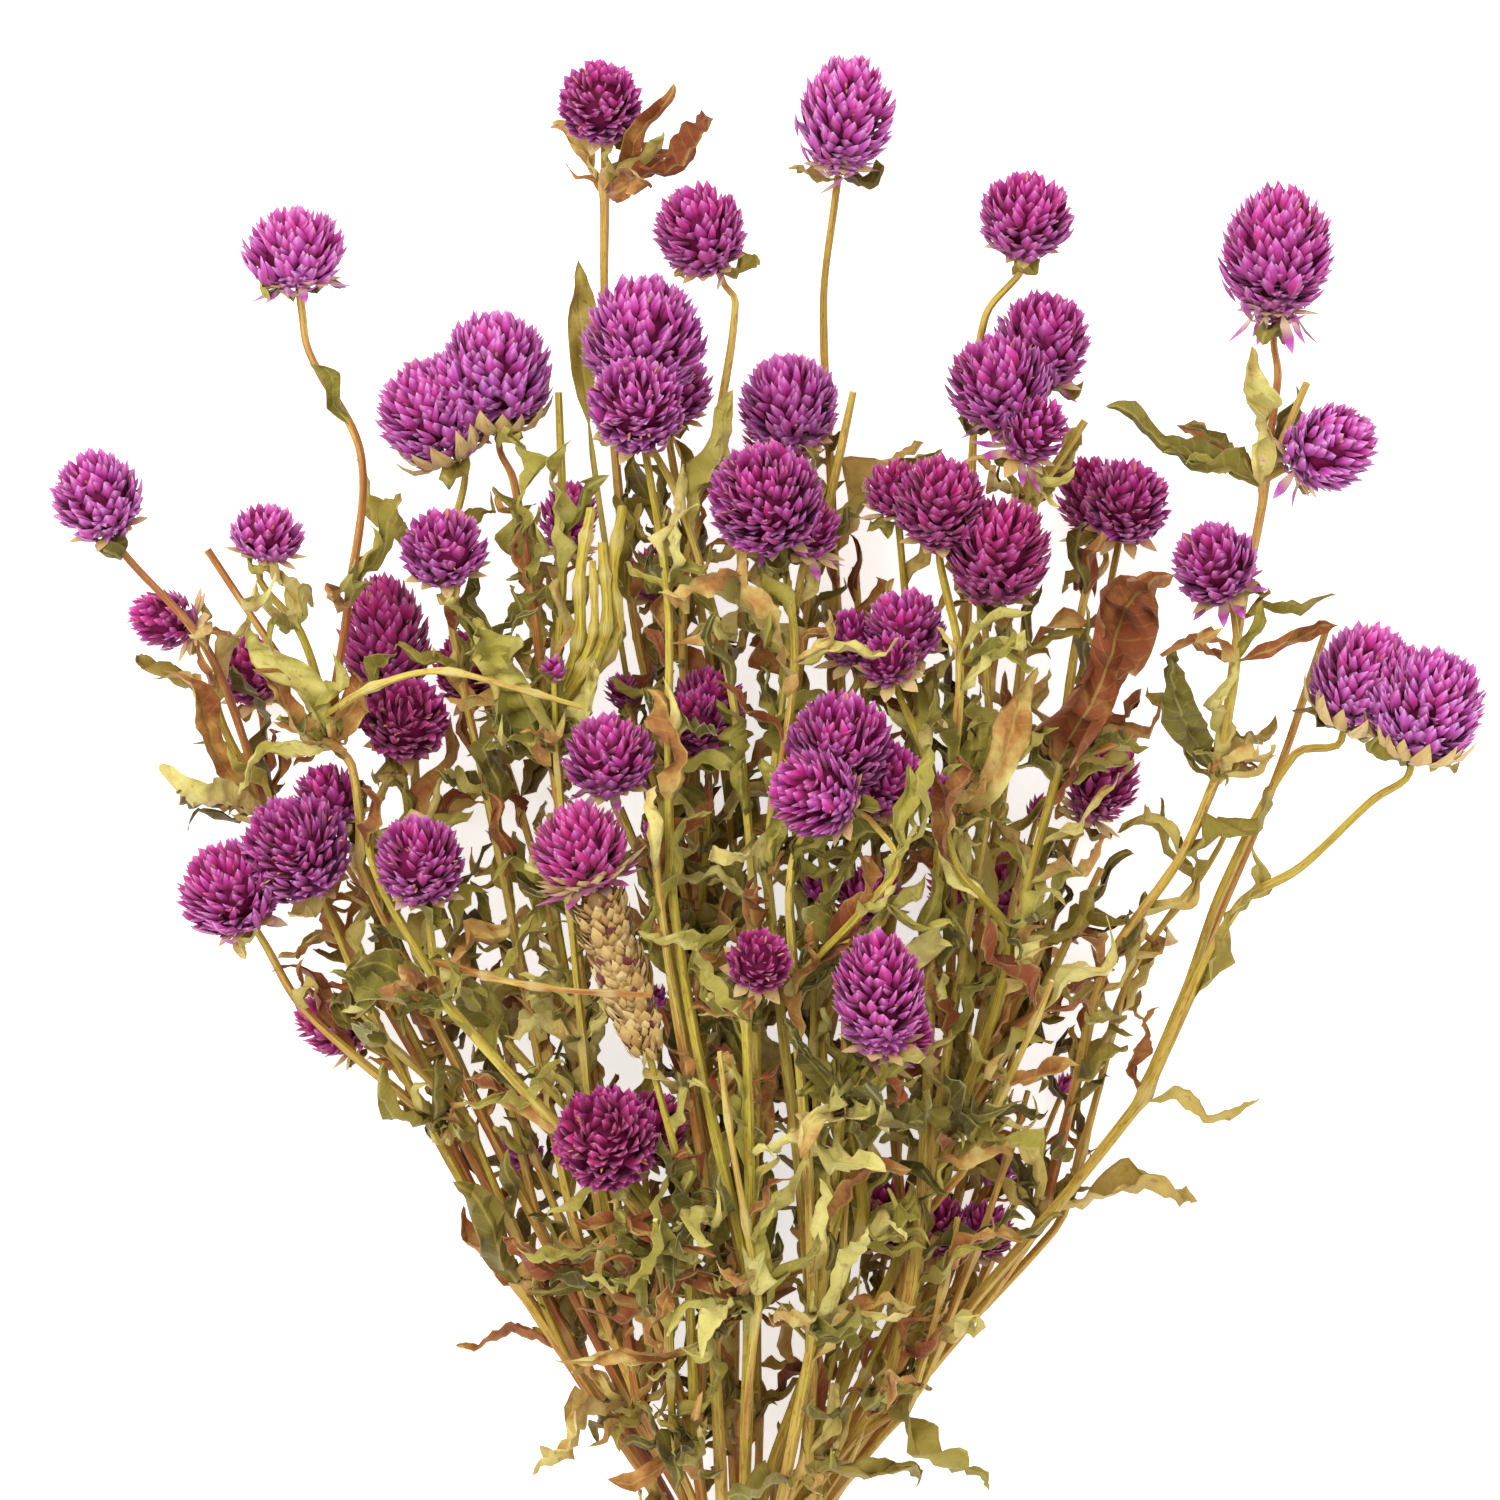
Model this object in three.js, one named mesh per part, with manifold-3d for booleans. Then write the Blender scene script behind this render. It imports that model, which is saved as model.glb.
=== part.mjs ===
// A bunch of dried globe amaranth, tied with an elastic band and lying on its back.
// Lengths are millimetres. +Z is up, the heads lie towards +Y, and the cut ends towards -Y.
// Each cut plant is one stem with its branches, leaves, buds and small leaves under the heads.
// Each flower head is a node of its own, and heads that are pressed together are one node.
import * as THREE from "three";
import { ConvexGeometry } from "three/addons/geometries/ConvexGeometry.js";
import { mergeVertices } from "three/addons/utils/BufferGeometryUtils.js";
import Module from "manifold-3d";

const wasm = await Module();
wasm.setup();

// Driving sizes
const STEM_RADIUS = 1.5;
const TIE_PITCH = 3.45;
const TIE_ROWS = [3, 4, 3, 4, 3];
const BAND_CLEARANCE = 0.3;
const BAND_THICKNESS = 1.5;
const BAND_SLEEVE = 0.8;
const BAND_TURN_PITCH = 2.6;
const BAND_GROOVE = 0.6;
const BAND_TURNS = 3;
const BAND_SIDES = 16;
const CUT_END_Y = -74;
const CUT_END_SPREAD = 1.9;
const CUT_END_STAGGER = 16;
const CUT_END_LIFT = 0.4;
const BELOW_TIE_Y = -26;
const BELOW_TIE_SPREAD = 1.2;
const BELOW_TIE_DROP = 0.9;
const PINNED_LENGTH = 8;
const BRANCH_RADII = [1.5, 1.3, 1.1, 1.0];
const HEAD_STALK_RADIUS = 0.85;
const JOINT_SWELLING = 1.75;
const BRANCH_FOOT_SWELLING = 1.3;
const JOINT_LENGTH = 5;
const PATH_STEP = 32;
const LEAVES_ALONG = 0.55;
const LEAVES_TOWARDS = 0.6;
const NECK_LENGTH = 5;
const SEAT_GAP = 0.3;
const CLEARANCE = 0.8;
const LEAF_THICKNESS = 0.9;
const LEAF_FOOT_THICKNESS = 0.7;
const LEAF_FOOT_HALF_WIDTH = 0.5;
const STALK_CORNERS = 4;
const FOOT_OFFSET = 1.1;
const SPREAD_THICKNESS = 0.7;
const SPREAD_WAIST = 2.2;
const SPREAD_TAPER = 0.96;
const SPREAD_DIP = 0.15;
const SPREAD_NECK = 1.6;
const SPIKE_TOP_RADIUS = 6.6;
const SPIKE_FOOT_RADIUS = 2.6;

// Colours. Heads whose middle lies lower than the shaded depth are darker.
const SHADED_DEPTH = 30;
const MAGENTA = 0xa02a92;
const DARK_MAGENTA = 0x741b5e;
const STEM_OLIVE = 0x9c9440;
const SPIKE_TAN = 0xc9b684;
const BAND_TAN = 0xc79a5b;

// The plan of the bunch. A place is [x, y, z], a head's size is [width, height],
// and its aim runs from its stalk to its crown. A path runs through its via points.
const fork = (at, branches, via = []) => ({ kind: "fork", at, branches, via });
const bloom = (node, at, size, aim, via = []) => ({ kind: "bloom", node, at, size, aim, via });
const spent = (node, at, size, foot, via = []) => ({ kind: "spent", node, at, size, foot, via });
const bud = (at, width, via = []) => ({ kind: "bud", at, width, via });
const twig = (at, via = []) => ({ kind: "twig", at, via });
const blade = (tip, width, bends, turn = 0) => ({ kind: "blade", tip, width, bends, turn });

const PLANTS = {
  stem_left_low:
    fork([-49, 86, 20], [
      fork([-65, 119, 24], [
        bloom("blooms_left_trio", [-115, 172, 40], [24, 21], [-0.45, 0.75, 0.5], [[-97, 145, 28]]),
        bloom("bloom_left_shy", [-91, 143, 6], [15, 18], [-0.8, 0.5, 0.2]),
      ]),
      bloom("blooms_left_trio", [-96, 181, 48], [25, 24], [-0.3, 0.6, 0.75], [[-81, 147, 34]]),
      blade([-5, 87, 30], 7, [[-38, 84, 27], [-20, 88, 31]], 0.3),
    ]),
  stem_left_far:
    fork([-40, 74, 11], [
      fork([-106, 191, 24], [
        bloom("bloom_far_left", [-143, 260, 40], [21, 21], [-0.35, 0.8, 0.5], [[-119, 226, 32]]),
        bloom("bloom_left_side", [-129, 233, 24], [14, 17], [-0.9, 0.25, 0.35], [[-117, 213, 24]]),
        bloom("bloom_left_back", [-111, 222, 1], [16, 17.5], [-0.2, 0.8, 0.5]),
        blade([-129, 226, 34], 8, [[-114, 200, 30], [-122, 214, 36]], 0.4),
      ], [[-72, 132, 18]]),
      bud([-81, 155, 26], 9, [[-63, 119, 18]]),
    ]),
  stem_left_high:
    fork([-29, 62, 18], [
      fork([-96, 187, 36], [
        fork([-99, 210, 44], [
          bloom("bloom_lone_left", [-104, 317, 52], [24, 18.5], [-0.1, 0.95, 0.3],
            [[-94, 238, 52], [-90, 271, 53], [-101, 294, 52]]),
          bloom("bloom_left_flat", [-112, 255, 47], [17, 13], [0.15, 0.9, 0.4], [[-105, 233, 47]]),
          twig([-125, 251, 52], [[-112, 231, 49]]),
          blade([-118, 238, 56], 11, [[-106, 220, 52], [-113, 230, 58]], 0.2),
          blade([-90, 226, 54], 10, [[-97, 217, 52], [-93, 223, 57]], -0.3),
        ]),
        bloom("blooms_left_trio", [-101, 199, 34], [16.5, 16], [-0.3, 0.8, 0.4]),
        blade([-112, 198, 44], 7, [[-101, 189, 42], [-108, 192, 46]], 0.5),
      ]),
    ]),
  stem_left_front:
    fork([-7, 77, 44], [
      fork([-66, 149, 56], [
        bloom("bloom_left_front", [-70, 178, 62], [20.5, 21], [-0.1, 0.7, 0.7]),
        bloom("blooms_left_dark", [-73, 207, 44], [20, 19.5], [0.1, 0.45, 0.85], [[-81, 179, 50]]),
        blade([-92, 152, 62], 9, [[-74, 148, 61], [-84, 151, 66]], 0.3),
      ]),
      bloom("blooms_left_dark", [-83, 231, 34], [21, 32], [-0.12, 0.95, 0.25],
        [[-60, 147, 42], [-76, 187, 34]]),
      blade([-41, 74, 52], 6, [[-18, 72, 52], [-33, 66, 56]], -0.4),
    ]),
  stem_left_double:
    fork([-22, 60, 26], [
      fork([-43, 205, 54], [
        bloom("blooms_double_left", [-55, 288, 46], [26, 28], [-0.05, 0.9, 0.4],
          [[-47, 240, 54], [-51, 264, 44]]),
        bloom("bloom_left_fan", [-66, 249, 62], [20, 16.5], [-0.05, 0.7, 0.6], [[-54, 227, 60]]),
        bloom("bloom_half_hidden", [-39, 256, 24], [14, 18], [0.1, 0.9, 0.3], [[-42, 228, 36]]),
        twig([-41, 283, 50], [[-40, 246, 54]]),
        blade([-58, 236, 66], 19, [[-50, 213, 64], [-56, 224, 69]], 0.1),
        blade([-28, 232, 60], 10, [[-38, 214, 60], [-30, 223, 64]], -0.2),
      ]),
      bloom("blooms_double_left", [-66, 280, 42], [25, 25], [-0.4, 0.8, 0.4],
        [[-53, 194, 36], [-63, 246, 36]]),
      bloom("bloom_leaf_shaded", [-60, 223, 10], [19, 18.5], [-0.2, 0.6, 0.7], [[-44, 172, 22]]),
    ]),
  stem_spent_spike:
    fork([-12, 53, 30], [
      fork([-10, 102, 52], [
        bud([-22, 187, 72], 5.5, [[-18, 154, 66]]),
        bloom("bloom_centre_left", [-32, 202, 68], [21, 18], [-0.1, 0.75, 0.6], [[-22, 172, 62]]),
      ]),
      fork([-22, 90, 46], [
        bloom("blooms_low_pair", [-28, 121, 66], [24, 24], [-0.1, 0.35, 0.9]),
        bloom("blooms_low_pair", [-12, 125, 50], [17, 18], [0.3, 0.7, 0.5]),
        bud([-47, 117, 20], 10.5, [[-32, 103, 32]]),
      ]),
      spent("bloom_on_spike", [-43, 184, 74], [22, 20], [-29, 141, 64], [[-19, 106, 56]]),
    ]),
  stem_front_middle:
    fork([0, 85, 52], [
      bloom("blooms_upper_trio", [-27, 274, 64], [22, 23], [-0.1, 0.5, 0.8],
        [[-10, 123, 60], [-19, 172, 68], [-20, 233, 66]]),
      fork([-1, 147, 66], [
        bloom("bloom_small_front", [2, 158, 74], [15, 15], [0.15, 0.45, 0.85]),
        blade([12, 172, 74], 8, [[4, 154, 74], [13, 162, 79]], 0.3),
      ]),
      bloom("blooms_upper_trio", [-24, 298, 48], [28, 30], [0.05, 0.85, 0.45],
        [[1, 172, 54], [-6, 227, 54], [-16, 262, 46]]),
      bud([-21, 150, 40], 6, [[-9, 117, 42]]),
      blade([-24, 74, 60], 7, [[-8, 90, 60], [-24, 90, 66]], 0.2),
    ]),
  stem_back_tall:
    fork([-2, 52, 14], [
      fork([-9, 165, 26], [
        fork([-30, 330, 32], [
          bloom("bloom_top_left", [-31, 348, 36], [19.5, 18.5], [-0.05, 0.5, 0.85]),
          blade([-17, 355, 40], 7, [[-25, 334, 40], [-17, 342, 44]], 0.5),
          blade([-19, 325, 38], 9, [[-25, 331, 38], [-20, 331, 42]], -0.4),
        ], [[-24, 238, 24], [-30, 304, 26]]),
        bloom("bloom_top_middle", [-9, 320, 42], [21, 22], [-0.35, 0.75, 0.55],
          [[-12, 244, 34], [-4, 282, 38], [-1, 304, 38]]),
        bloom("blooms_mid_pair", [-10, 210, 54], [14, 17], [-0.2, 0.7, 0.6], [[-7, 187, 42]]),
        bloom("blooms_mid_pair", [-6, 218, 40], [17, 15], [0.2, 0.8, 0.4]),
        bud([-26, 219, 34], 8.5),
      ]),
      bloom("bloom_deep_left", [-19, 244, 14], [14, 13], [0, 0.8, 0.5], [[-11, 128, 12], [-16, 194, 12]]),
      bloom("blooms_upper_trio", [-13, 283, 34], [17, 18], [0.1, 0.85, 0.4], [[1, 150, 20], [-5, 216, 24]]),
      blade([-38, 316, 40], 8, [[-30, 282, 34], [-38, 296, 40]], 0.2),
    ]),
  stem_centre_tall:
    fork([13, 46, 33], [
      fork([4, 179, 56], [
        bloom("blooms_centre_pair", [3, 262, 68], [26, 26], [-0.2, 0.6, 0.75], [[10, 224, 66]]),
        bloom("blooms_centre_pair", [16, 250, 52], [13, 14], [0.2, 0.8, 0.4]),
        blade([1, 214, 68], 10, [[8, 190, 64], [9, 204, 70]], 0.2),
      ]),
      fork([18, 258, 34], [
        bloom("blooms_top_pair", [11, 290, 32], [23, 23], [-0.2, 0.8, 0.5]),
        bloom("blooms_top_pair", [10, 276, 2.5], [19, 17], [-0.3, 0.8, 0.2]),
        twig([25, 288, 40]),
      ], [[15, 150, 34], [11, 211, 30]]),
      bloom("bloom_top_tall", [18, 345, 30], [22, 28], [0.12, 0.93, 0.3],
        [[23, 117, 26], [20, 194, 22], [15, 264, 18], [13, 304, 22]]),
    ]),
  stem_centre_front:
    fork([16, 77, 44], [
      fork([13, 147, 58], [
        bloom("blooms_centre_trio", [16, 186, 81], [20, 21], [-0.75, 0.35, 0.5],
          [[28, 163, 74], [35, 172, 79]]),
        bloom("blooms_centre_trio", [23, 203, 68], [24, 24], [0.05, 0.6, 0.75], [[13, 176, 62]]),
        bloom("blooms_centre_trio", [34, 192, 56], [18, 18], [0.3, 0.6, 0.5]),
      ]),
      bloom("blooms_right_trio", [24, 262, 48], [15, 14], [-0.1, 0.9, 0.3], [[28, 150, 40], [31, 211, 32]]),
      bloom("blooms_small_trio", [16, 227, 44], [13, 14], [-0.1, 0.8, 0.5], [[23, 150, 44], [11, 202, 46]]),
    ]),
  stem_right_front:
    fork([25, 99, 42], [
      fork([23, 127, 56], [
        bloom("blooms_front_pair", [29, 156, 76], [21, 31], [-0.05, 0.85, 0.5]),
        bloom("blooms_front_pair", [35, 136, 60], [14, 18], [0.6, 0.6, 0.4]),
        blade([44, 131, 72], 10, [[28, 122, 68], [40, 121, 76]], 0.2),
        blade([10, 150, 66], 8, [[17, 128, 66], [10, 140, 70]], -0.2),
      ]),
      bloom("bloom_behind_front", [24, 172, 48], [16, 13], [-0.1, 0.8, 0.5], [[15, 141, 44]]),
    ]),
  stem_centre_right:
    fork([30, 60, 25], [
      fork([40, 184, 46], [
        bloom("blooms_right_trio", [37, 254, 59], [21, 22], [0, 0.75, 0.6], [[40, 218, 60]]),
        bloom("blooms_small_trio", [33, 229, 50], [19, 17], [-0.15, 0.8, 0.5]),
        bloom("blooms_small_trio", [26, 219, 60], [13, 12], [-0.2, 0.6, 0.7], [[34, 200, 56]]),
        blade([60, 221, 56], 10, [[47, 194, 56], [58, 206, 62]], 0.2),
      ]),
      bloom("blooms_right_trio", [53, 244, 46], [24, 25], [0.15, 0.8, 0.5], [[44, 139, 36], [52, 196, 38]]),
      twig([24, 245, 20], [[30, 150, 22]]),
    ]),
  stem_right_leafy:
    fork([49, 121, 36], [
      fork([73, 202, 44], [
        bloom("blooms_right_pair", [92, 261, 28], [20, 19], [0.1, 0.6, 0.7], [[81, 218, 42]]),
        bloom("blooms_right_pair", [79, 260, 2], [17, 20], [-0.2, 0.9, 0.25], [[78, 238, 22]]),
        twig([86, 206, 54]),
        blade([97, 244, 58], 24, [[78, 216, 52], [88, 240, 62]], 0.1),
        blade([58, 220, 56], 11, [[68, 208, 54], [60, 212, 60]], -0.2),
      ]),
      bud([44, 196, 66], 8, [[60, 162, 52], [48, 179, 64]]),
      bloom("bloom_right_shaded", [82, 197, 6], [16, 21], [0.4, 0.8, 0.3], [[68, 161, 24]]),
      twig([81, 178, 24], [[66, 147, 28]]),
      blade([36, 122, 44], 10, [[46, 126, 46], [38, 128, 50]], 0.4),
    ]),
  stem_right_high:
    fork([35, 81, 17], [
      fork([66, 256, 44], [
        bloom("blooms_upper_right", [56, 281, 52], [23.5, 21], [-0.2, 0.8, 0.5]),
        bloom("blooms_upper_right", [70, 293, 38], [22.5, 23], [0.1, 0.8, 0.5]),
        bloom("blooms_upper_right", [69, 268, 56], [15, 17], [0.4, 0.6, 0.6]),
        twig([78, 273, 44]),
        blade([54, 300, 44], 7, [[58, 264, 52], [52, 284, 56]], 0.1),
      ], [[53, 169, 30], [63, 224, 40]]),
      bloom("bloom_upper_right", [68, 319, 48], [22, 19], [0.05, 0.8, 0.6],
        [[46, 172, 20], [53, 246, 26], [59, 297, 40]]),
    ]),
  stem_far_right:
    fork([64, 106, 20], [
      fork([106, 202, 38], [
        fork([118, 264, 44], [
          bloom("bloom_big_right", [121, 314, 40], [26, 31], [0.03, 0.95, 0.25], [[121, 286, 42]]),
          bloom("bloom_right_side", [132, 271, 48], [20, 22], [0.85, 0.4, 0.35]),
          twig([128, 285, 38]),
          blade([112, 294, 58], 11, [[113, 274, 54], [119, 284, 60]], 0.1),
        ], [[111, 233, 42]]),
        bloom("bloom_right_fan", [104, 246, 56], [20, 18], [-0.3, 0.7, 0.6], [[109, 224, 54]]),
        blade([100, 228, 60], 11, [[96, 208, 54], [92, 222, 62]], 0.4),
      ], [[79, 158, 30], [96, 182, 35]]),
    ]),
  stem_outer_right:
    fork([89, 129, 26], [
      bloom("blooms_double_right", [151, 215, 46], [25, 27], [0.25, 0.85, 0.4],
        [[109, 170, 32], [123, 179, 34], [139, 194, 38]]),
      bloom("blooms_double_right", [137, 221, 38], [24, 26], [0.3, 0.8, 0.45],
        [[106, 174, 26], [122, 204, 30]]),
      twig([129, 231, 22], [[101, 158, 20], [118, 198, 16]]),
    ]),
  stem_right_low:
    fork([36, 77, 13], [
      fork([53, 143, 18], [
        bloom("blooms_deep_pair", [58, 175, 9], [17, 17], [0.2, 0.9, 0.3]),
        bloom("blooms_deep_pair", [44, 174, 8], [15, 16], [-0.3, 0.9, 0.2]),
        blade([70, 156, 14], 9, [[58, 142, 20], [66, 147, 20]], 0.2),
      ]),
      bloom("blooms_low_trio", [42, 99, 26], [13.5, 15], [0, 0.7, 0.7]),
      bloom("blooms_low_trio", [53, 98, 20], [14.5, 14], [0.3, 0.8, 0.4]),
      bloom("blooms_low_trio", [28, 101, 16], [17, 19], [-0.3, 0.8, 0.4]),
      bud([54, 112, 12], 10),
      bud([28, 70, 7], 9),
    ]),
};

// Small vector sums on plain [x, y, z] lists
const plus = (a, b, scale = 1) => [a[0] + b[0] * scale, a[1] + b[1] * scale, a[2] + b[2] * scale];
const minus = (a, b) => [a[0] - b[0], a[1] - b[1], a[2] - b[2]];
const times = (a, scale) => [a[0] * scale, a[1] * scale, a[2] * scale];
const dot = (a, b) => a[0] * b[0] + a[1] * b[1] + a[2] * b[2];
const size = (a) => Math.sqrt(dot(a, a));
const unit = (a) => times(a, 1 / (size(a) || 1));
const cross = (a, b) => [a[1] * b[2] - a[2] * b[1], a[2] * b[0] - a[0] * b[2], a[0] * b[1] - a[1] * b[0]];
const across = (v, axis) => minus(v, times(axis, dot(v, axis)));
const clamp = (value, low, high) => Math.min(high, Math.max(low, value));

// A seeded source of numbers from 0 to 1
function randomSource(seed) {
  let state = seed >>> 0;
  return () => {
    state = (state + 0x6d2b79f5) >>> 0;
    let mixed = Math.imul(state ^ (state >>> 15), state | 1);
    mixed ^= mixed + Math.imul(mixed ^ (mixed >>> 7), mixed | 61);
    return ((mixed ^ (mixed >>> 14)) >>> 0) / 4294967296;
  };
}

// A smooth path through its points, leaving the first one along a given direction
function smoothPath(points, startDirection, endLength) {
  const spans = points.slice(1).map((point, i) => size(minus(point, points[i])));
  const slopes = points.map((point, i) => {
    if (i === 0) return startDirection;
    if (i === points.length - 1) return unit(minus(point, points[i - 1]));
    return times(minus(points[i + 1], points[i - 1]), 1 / (spans[i - 1] + spans[i]));
  });
  const path = [];
  spans.forEach((span, i) => {
    const steps = Math.max(1, Math.round(span / PATH_STEP));
    for (let k = 1; k <= steps; k += 1) {
      const last = i === spans.length - 1 && k === steps;
      if (last && endLength > 0 && span > 2 * endLength) {
        path.push(hermite(points[i], points[i + 1], slopes[i], slopes[i + 1], span, 1 - endLength / span));
      }
      path.push(hermite(points[i], points[i + 1], slopes[i], slopes[i + 1], span, k / steps));
    }
  });
  return path;
}

function hermite(a, b, slopeA, slopeB, span, t) {
  const t2 = t * t;
  const t3 = t2 * t;
  const start = times(a, 2 * t3 - 3 * t2 + 1);
  const end = times(b, 3 * t2 - 2 * t3);
  const leave = times(slopeA, span * (t3 - 2 * t2 + t));
  const arrive = times(slopeB, span * (t3 - t2));
  return plus(plus(plus(start, end), leave), arrive);
}

// The bunch as points on chains. Every chain is a stalk of one plant.
// A point's carrier is the point whose shift it takes, so a head moves as one piece with its neck.
function planBunch() {
  const bunch = { points: [], stalks: [], heads: [], buds: [], joints: [], blades: [], capsules: [] };
  const slots = tieSlots();
  Object.entries(PLANTS).forEach(([name, root], index) => {
    growPlant(bunch, name, root, slots[name], index);
  });
  return bunch;
}

// Where each stem passes the tie: rows from the surface upwards, and left to right in a row
function tieSlots() {
  const byHeight = Object.entries(PLANTS).sort((a, b) => a[1].at[2] - b[1].at[2]);
  const slots = {};
  let taken = 0;
  TIE_ROWS.forEach((count, row) => {
    const members = byHeight.slice(taken, taken + count).sort((a, b) => slope(a[1].at) - slope(b[1].at));
    taken += count;
    members.forEach(([name], column) => {
      const x = (column - (count - 1) / 2) * TIE_PITCH;
      const rise = row * TIE_PITCH * Math.sqrt(0.75);
      slots[name] = { x, z: BAND_THICKNESS + BAND_CLEARANCE + STEM_RADIUS + rise, row };
    });
  });
  return slots;
}

const slope = (at) => at[0] / at[1];

function addPoint(bunch, at, radius, plant, before, pinned = false) {
  const index = bunch.points.length;
  bunch.points.push({ home: at, shift: [0, 0, 0], radius, plant, before, pinned, carrier: index });
  return index;
}

function growPlant(bunch, name, root, slot, index) {
  const random = randomSource(700 + index);
  const endY = CUT_END_Y - CUT_END_STAGGER * random();
  const endZ = STEM_RADIUS + CUT_END_LIFT + slot.row * TIE_PITCH;
  const belowAt = [slot.x * BELOW_TIE_SPREAD, BELOW_TIE_Y, slot.z * BELOW_TIE_DROP + BAND_CLEARANCE];
  const cutEnd = addPoint(bunch, [slot.x * CUT_END_SPREAD, endY, endZ], STEM_RADIUS, name, -1, true);
  const below = addPoint(bunch, belowAt, STEM_RADIUS, name, cutEnd, true);
  const under = addPoint(bunch, [slot.x, -PINNED_LENGTH, slot.z], STEM_RADIUS, name, below, true);
  const over = addPoint(bunch, [slot.x, PINNED_LENGTH, slot.z], STEM_RADIUS, name, under, true);
  const stalk = newStalk(bunch, name, [cutEnd, below, under, over], 1);
  growBranch(bunch, name, root, over, [0, 1, 0], 0, stalk);
}

// A stretch of stalk from a point to a fork, head, bud or cut end, and what grows from there.
// The first branch of a fork carries its stalk on, and the others start stalks of their own.
function growBranch(bunch, plant, part, from, direction, depth, chain) {
  if (part.kind === "blade") {
    bunch.blades.push({ plant, from, tip: part.tip, width: part.width, bends: part.bends, turn: part.turn });
    return;
  }
  const start = bunch.points[from].home;
  const end = stalkEnd(part);
  const stops = [start, ...part.via, end];
  const chord = unit(minus(stops[1], start));
  const leave = unit(plus(times(direction, LEAVES_ALONG), chord, LEAVES_TOWARDS));
  const endLength = part.kind === "fork" ? JOINT_LENGTH : 0;
  const path = smoothPath(stops, leave, endLength);
  const thick = branchRadius(depth);
  const thin = part.kind === "fork" ? branchRadius(depth + 1) : HEAD_STALK_RADIUS;
  const stalk = chain ?? newStalk(bunch, plant, [from], BRANCH_FOOT_SWELLING);
  path.forEach((at, i) => {
    const share = (i + 1) / path.length;
    const radius = thick + (thin - thick) * share;
    stalk.points.push(addPoint(bunch, at, radius, plant, stalk.points.at(-1)));
  });
  finishStalk(bunch, plant, part, stalk, stalk.points.at(-1), depth);
}

const branchRadius = (depth) => BRANCH_RADII[Math.min(depth, BRANCH_RADII.length - 1)];

function newStalk(bunch, plant, points, foot) {
  const stalk = { plant, points, foot, spread: null };
  bunch.stalks.push(stalk);
  return stalk;
}

function stalkEnd(part) {
  if (part.kind === "bloom") {
    return plus(part.at, unit(part.aim), -(part.size[1] / 2 + SEAT_GAP + NECK_LENGTH));
  }
  if (part.kind === "spent") {
    const axis = unit(minus(part.at, part.foot));
    return plus(part.foot, axis, -(SEAT_GAP + NECK_LENGTH));
  }
  return part.at;
}

function finishStalk(bunch, plant, part, stalk, last, depth) {
  if (part.kind === "fork") {
    const before = bunch.points[bunch.points[last].before].home;
    const direction = unit(minus(bunch.points[last].home, before));
    bunch.joints.push({ plant, point: last });
    bunch.points[last].radius *= JOINT_SWELLING;
    part.branches.forEach((branch, i) => {
      growBranch(bunch, plant, branch, last, direction, depth + 1, i === 0 ? stalk : null);
    });
  }
  if (part.kind === "bloom") {
    seatHead(bunch, plant, stalk, last, part.at, unit(part.aim), part);
  }
  if (part.kind === "spent") {
    const axis = unit(minus(part.at, part.foot));
    seatHead(bunch, plant, stalk, last, part.at, axis, part);
  }
  if (part.kind === "bud") {
    const before = bunch.points[bunch.points[last].before].home;
    const aim = unit(minus(part.at, before));
    bunch.buds.push({ plant, point: last, width: part.width, aim });
  }
}

// The neck of the stalk runs straight into the middle of the head's underside
function seatHead(bunch, plant, stalk, neck, centre, aim, part) {
  const seatAt = plus(bunch.points[neck].home, aim, NECK_LENGTH);
  const seat = addPoint(bunch, seatAt, HEAD_STALK_RADIUS, plant, neck);
  const middle = addPoint(bunch, centre, 0, plant, seat);
  bunch.points[seat].carrier = neck;
  bunch.points[middle].carrier = neck;
  stalk.points.push(seat);
  const [width, height] = part.size;
  const head = { node: part.node, plant, point: middle, neck, seat, aim, width, height };
  head.spikeLength = part.kind === "spent" ? size(minus(part.at, part.foot)) - part.size[1] / 2 : 0;
  bunch.heads.push(head);
}

const placeOf = (bunch, index) => {
  const point = bunch.points[index];
  return plus(point.home, bunch.points[point.carrier].shift);
};

const SPIKE_FOOT_ROUNDING = 4;

// Round-ended rods that stand for stalks, heads, buds and the spent spike while the bunch settles
function makeCapsules(bunch) {
  const capsules = [];
  bunch.stalks.forEach((stalk) => {
    for (let i = 1; i < stalk.points.length; i += 1) {
      const ends = [stalk.points[i - 1], stalk.points[i]];
      const radius = Math.max(...ends.map((index) => Math.min(bunch.points[index].radius, STEM_RADIUS)));
      capsules.push({ ends, offsets: [[0, 0, 0], [0, 0, 0]], radius, node: stalk.plant, head: -1 });
    }
  });
  bunch.heads.forEach((head, index) => {
    const reach = Math.max(0, (head.height - head.width) / 2);
    const offsets = [times(head.aim, -reach), times(head.aim, reach)];
    const ends = [head.point, head.point];
    capsules.push({ ends, offsets, radius: head.width / 2, node: head.node, head: index });
    if (head.spikeLength > 0) {
      const low = times(head.aim, -head.height / 2 - head.spikeLength + SPIKE_FOOT_ROUNDING);
      const high = times(head.aim, -head.height / 2);
      const offsetsOnSpike = [low, high];
      const node = "spent_spike";
      capsules.push({ ends, offsets: offsetsOnSpike, radius: SPIKE_TOP_RADIUS, node, head: index });
    }
  });
  bunch.buds.forEach((item) => {
    const ends = [item.point, item.point];
    const offsets = [[0, 0, 0], [0, 0, 0]];
    capsules.push({ ends, offsets, radius: item.width / 2, node: item.plant, head: -1 });
  });
  return capsules;
}

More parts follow.
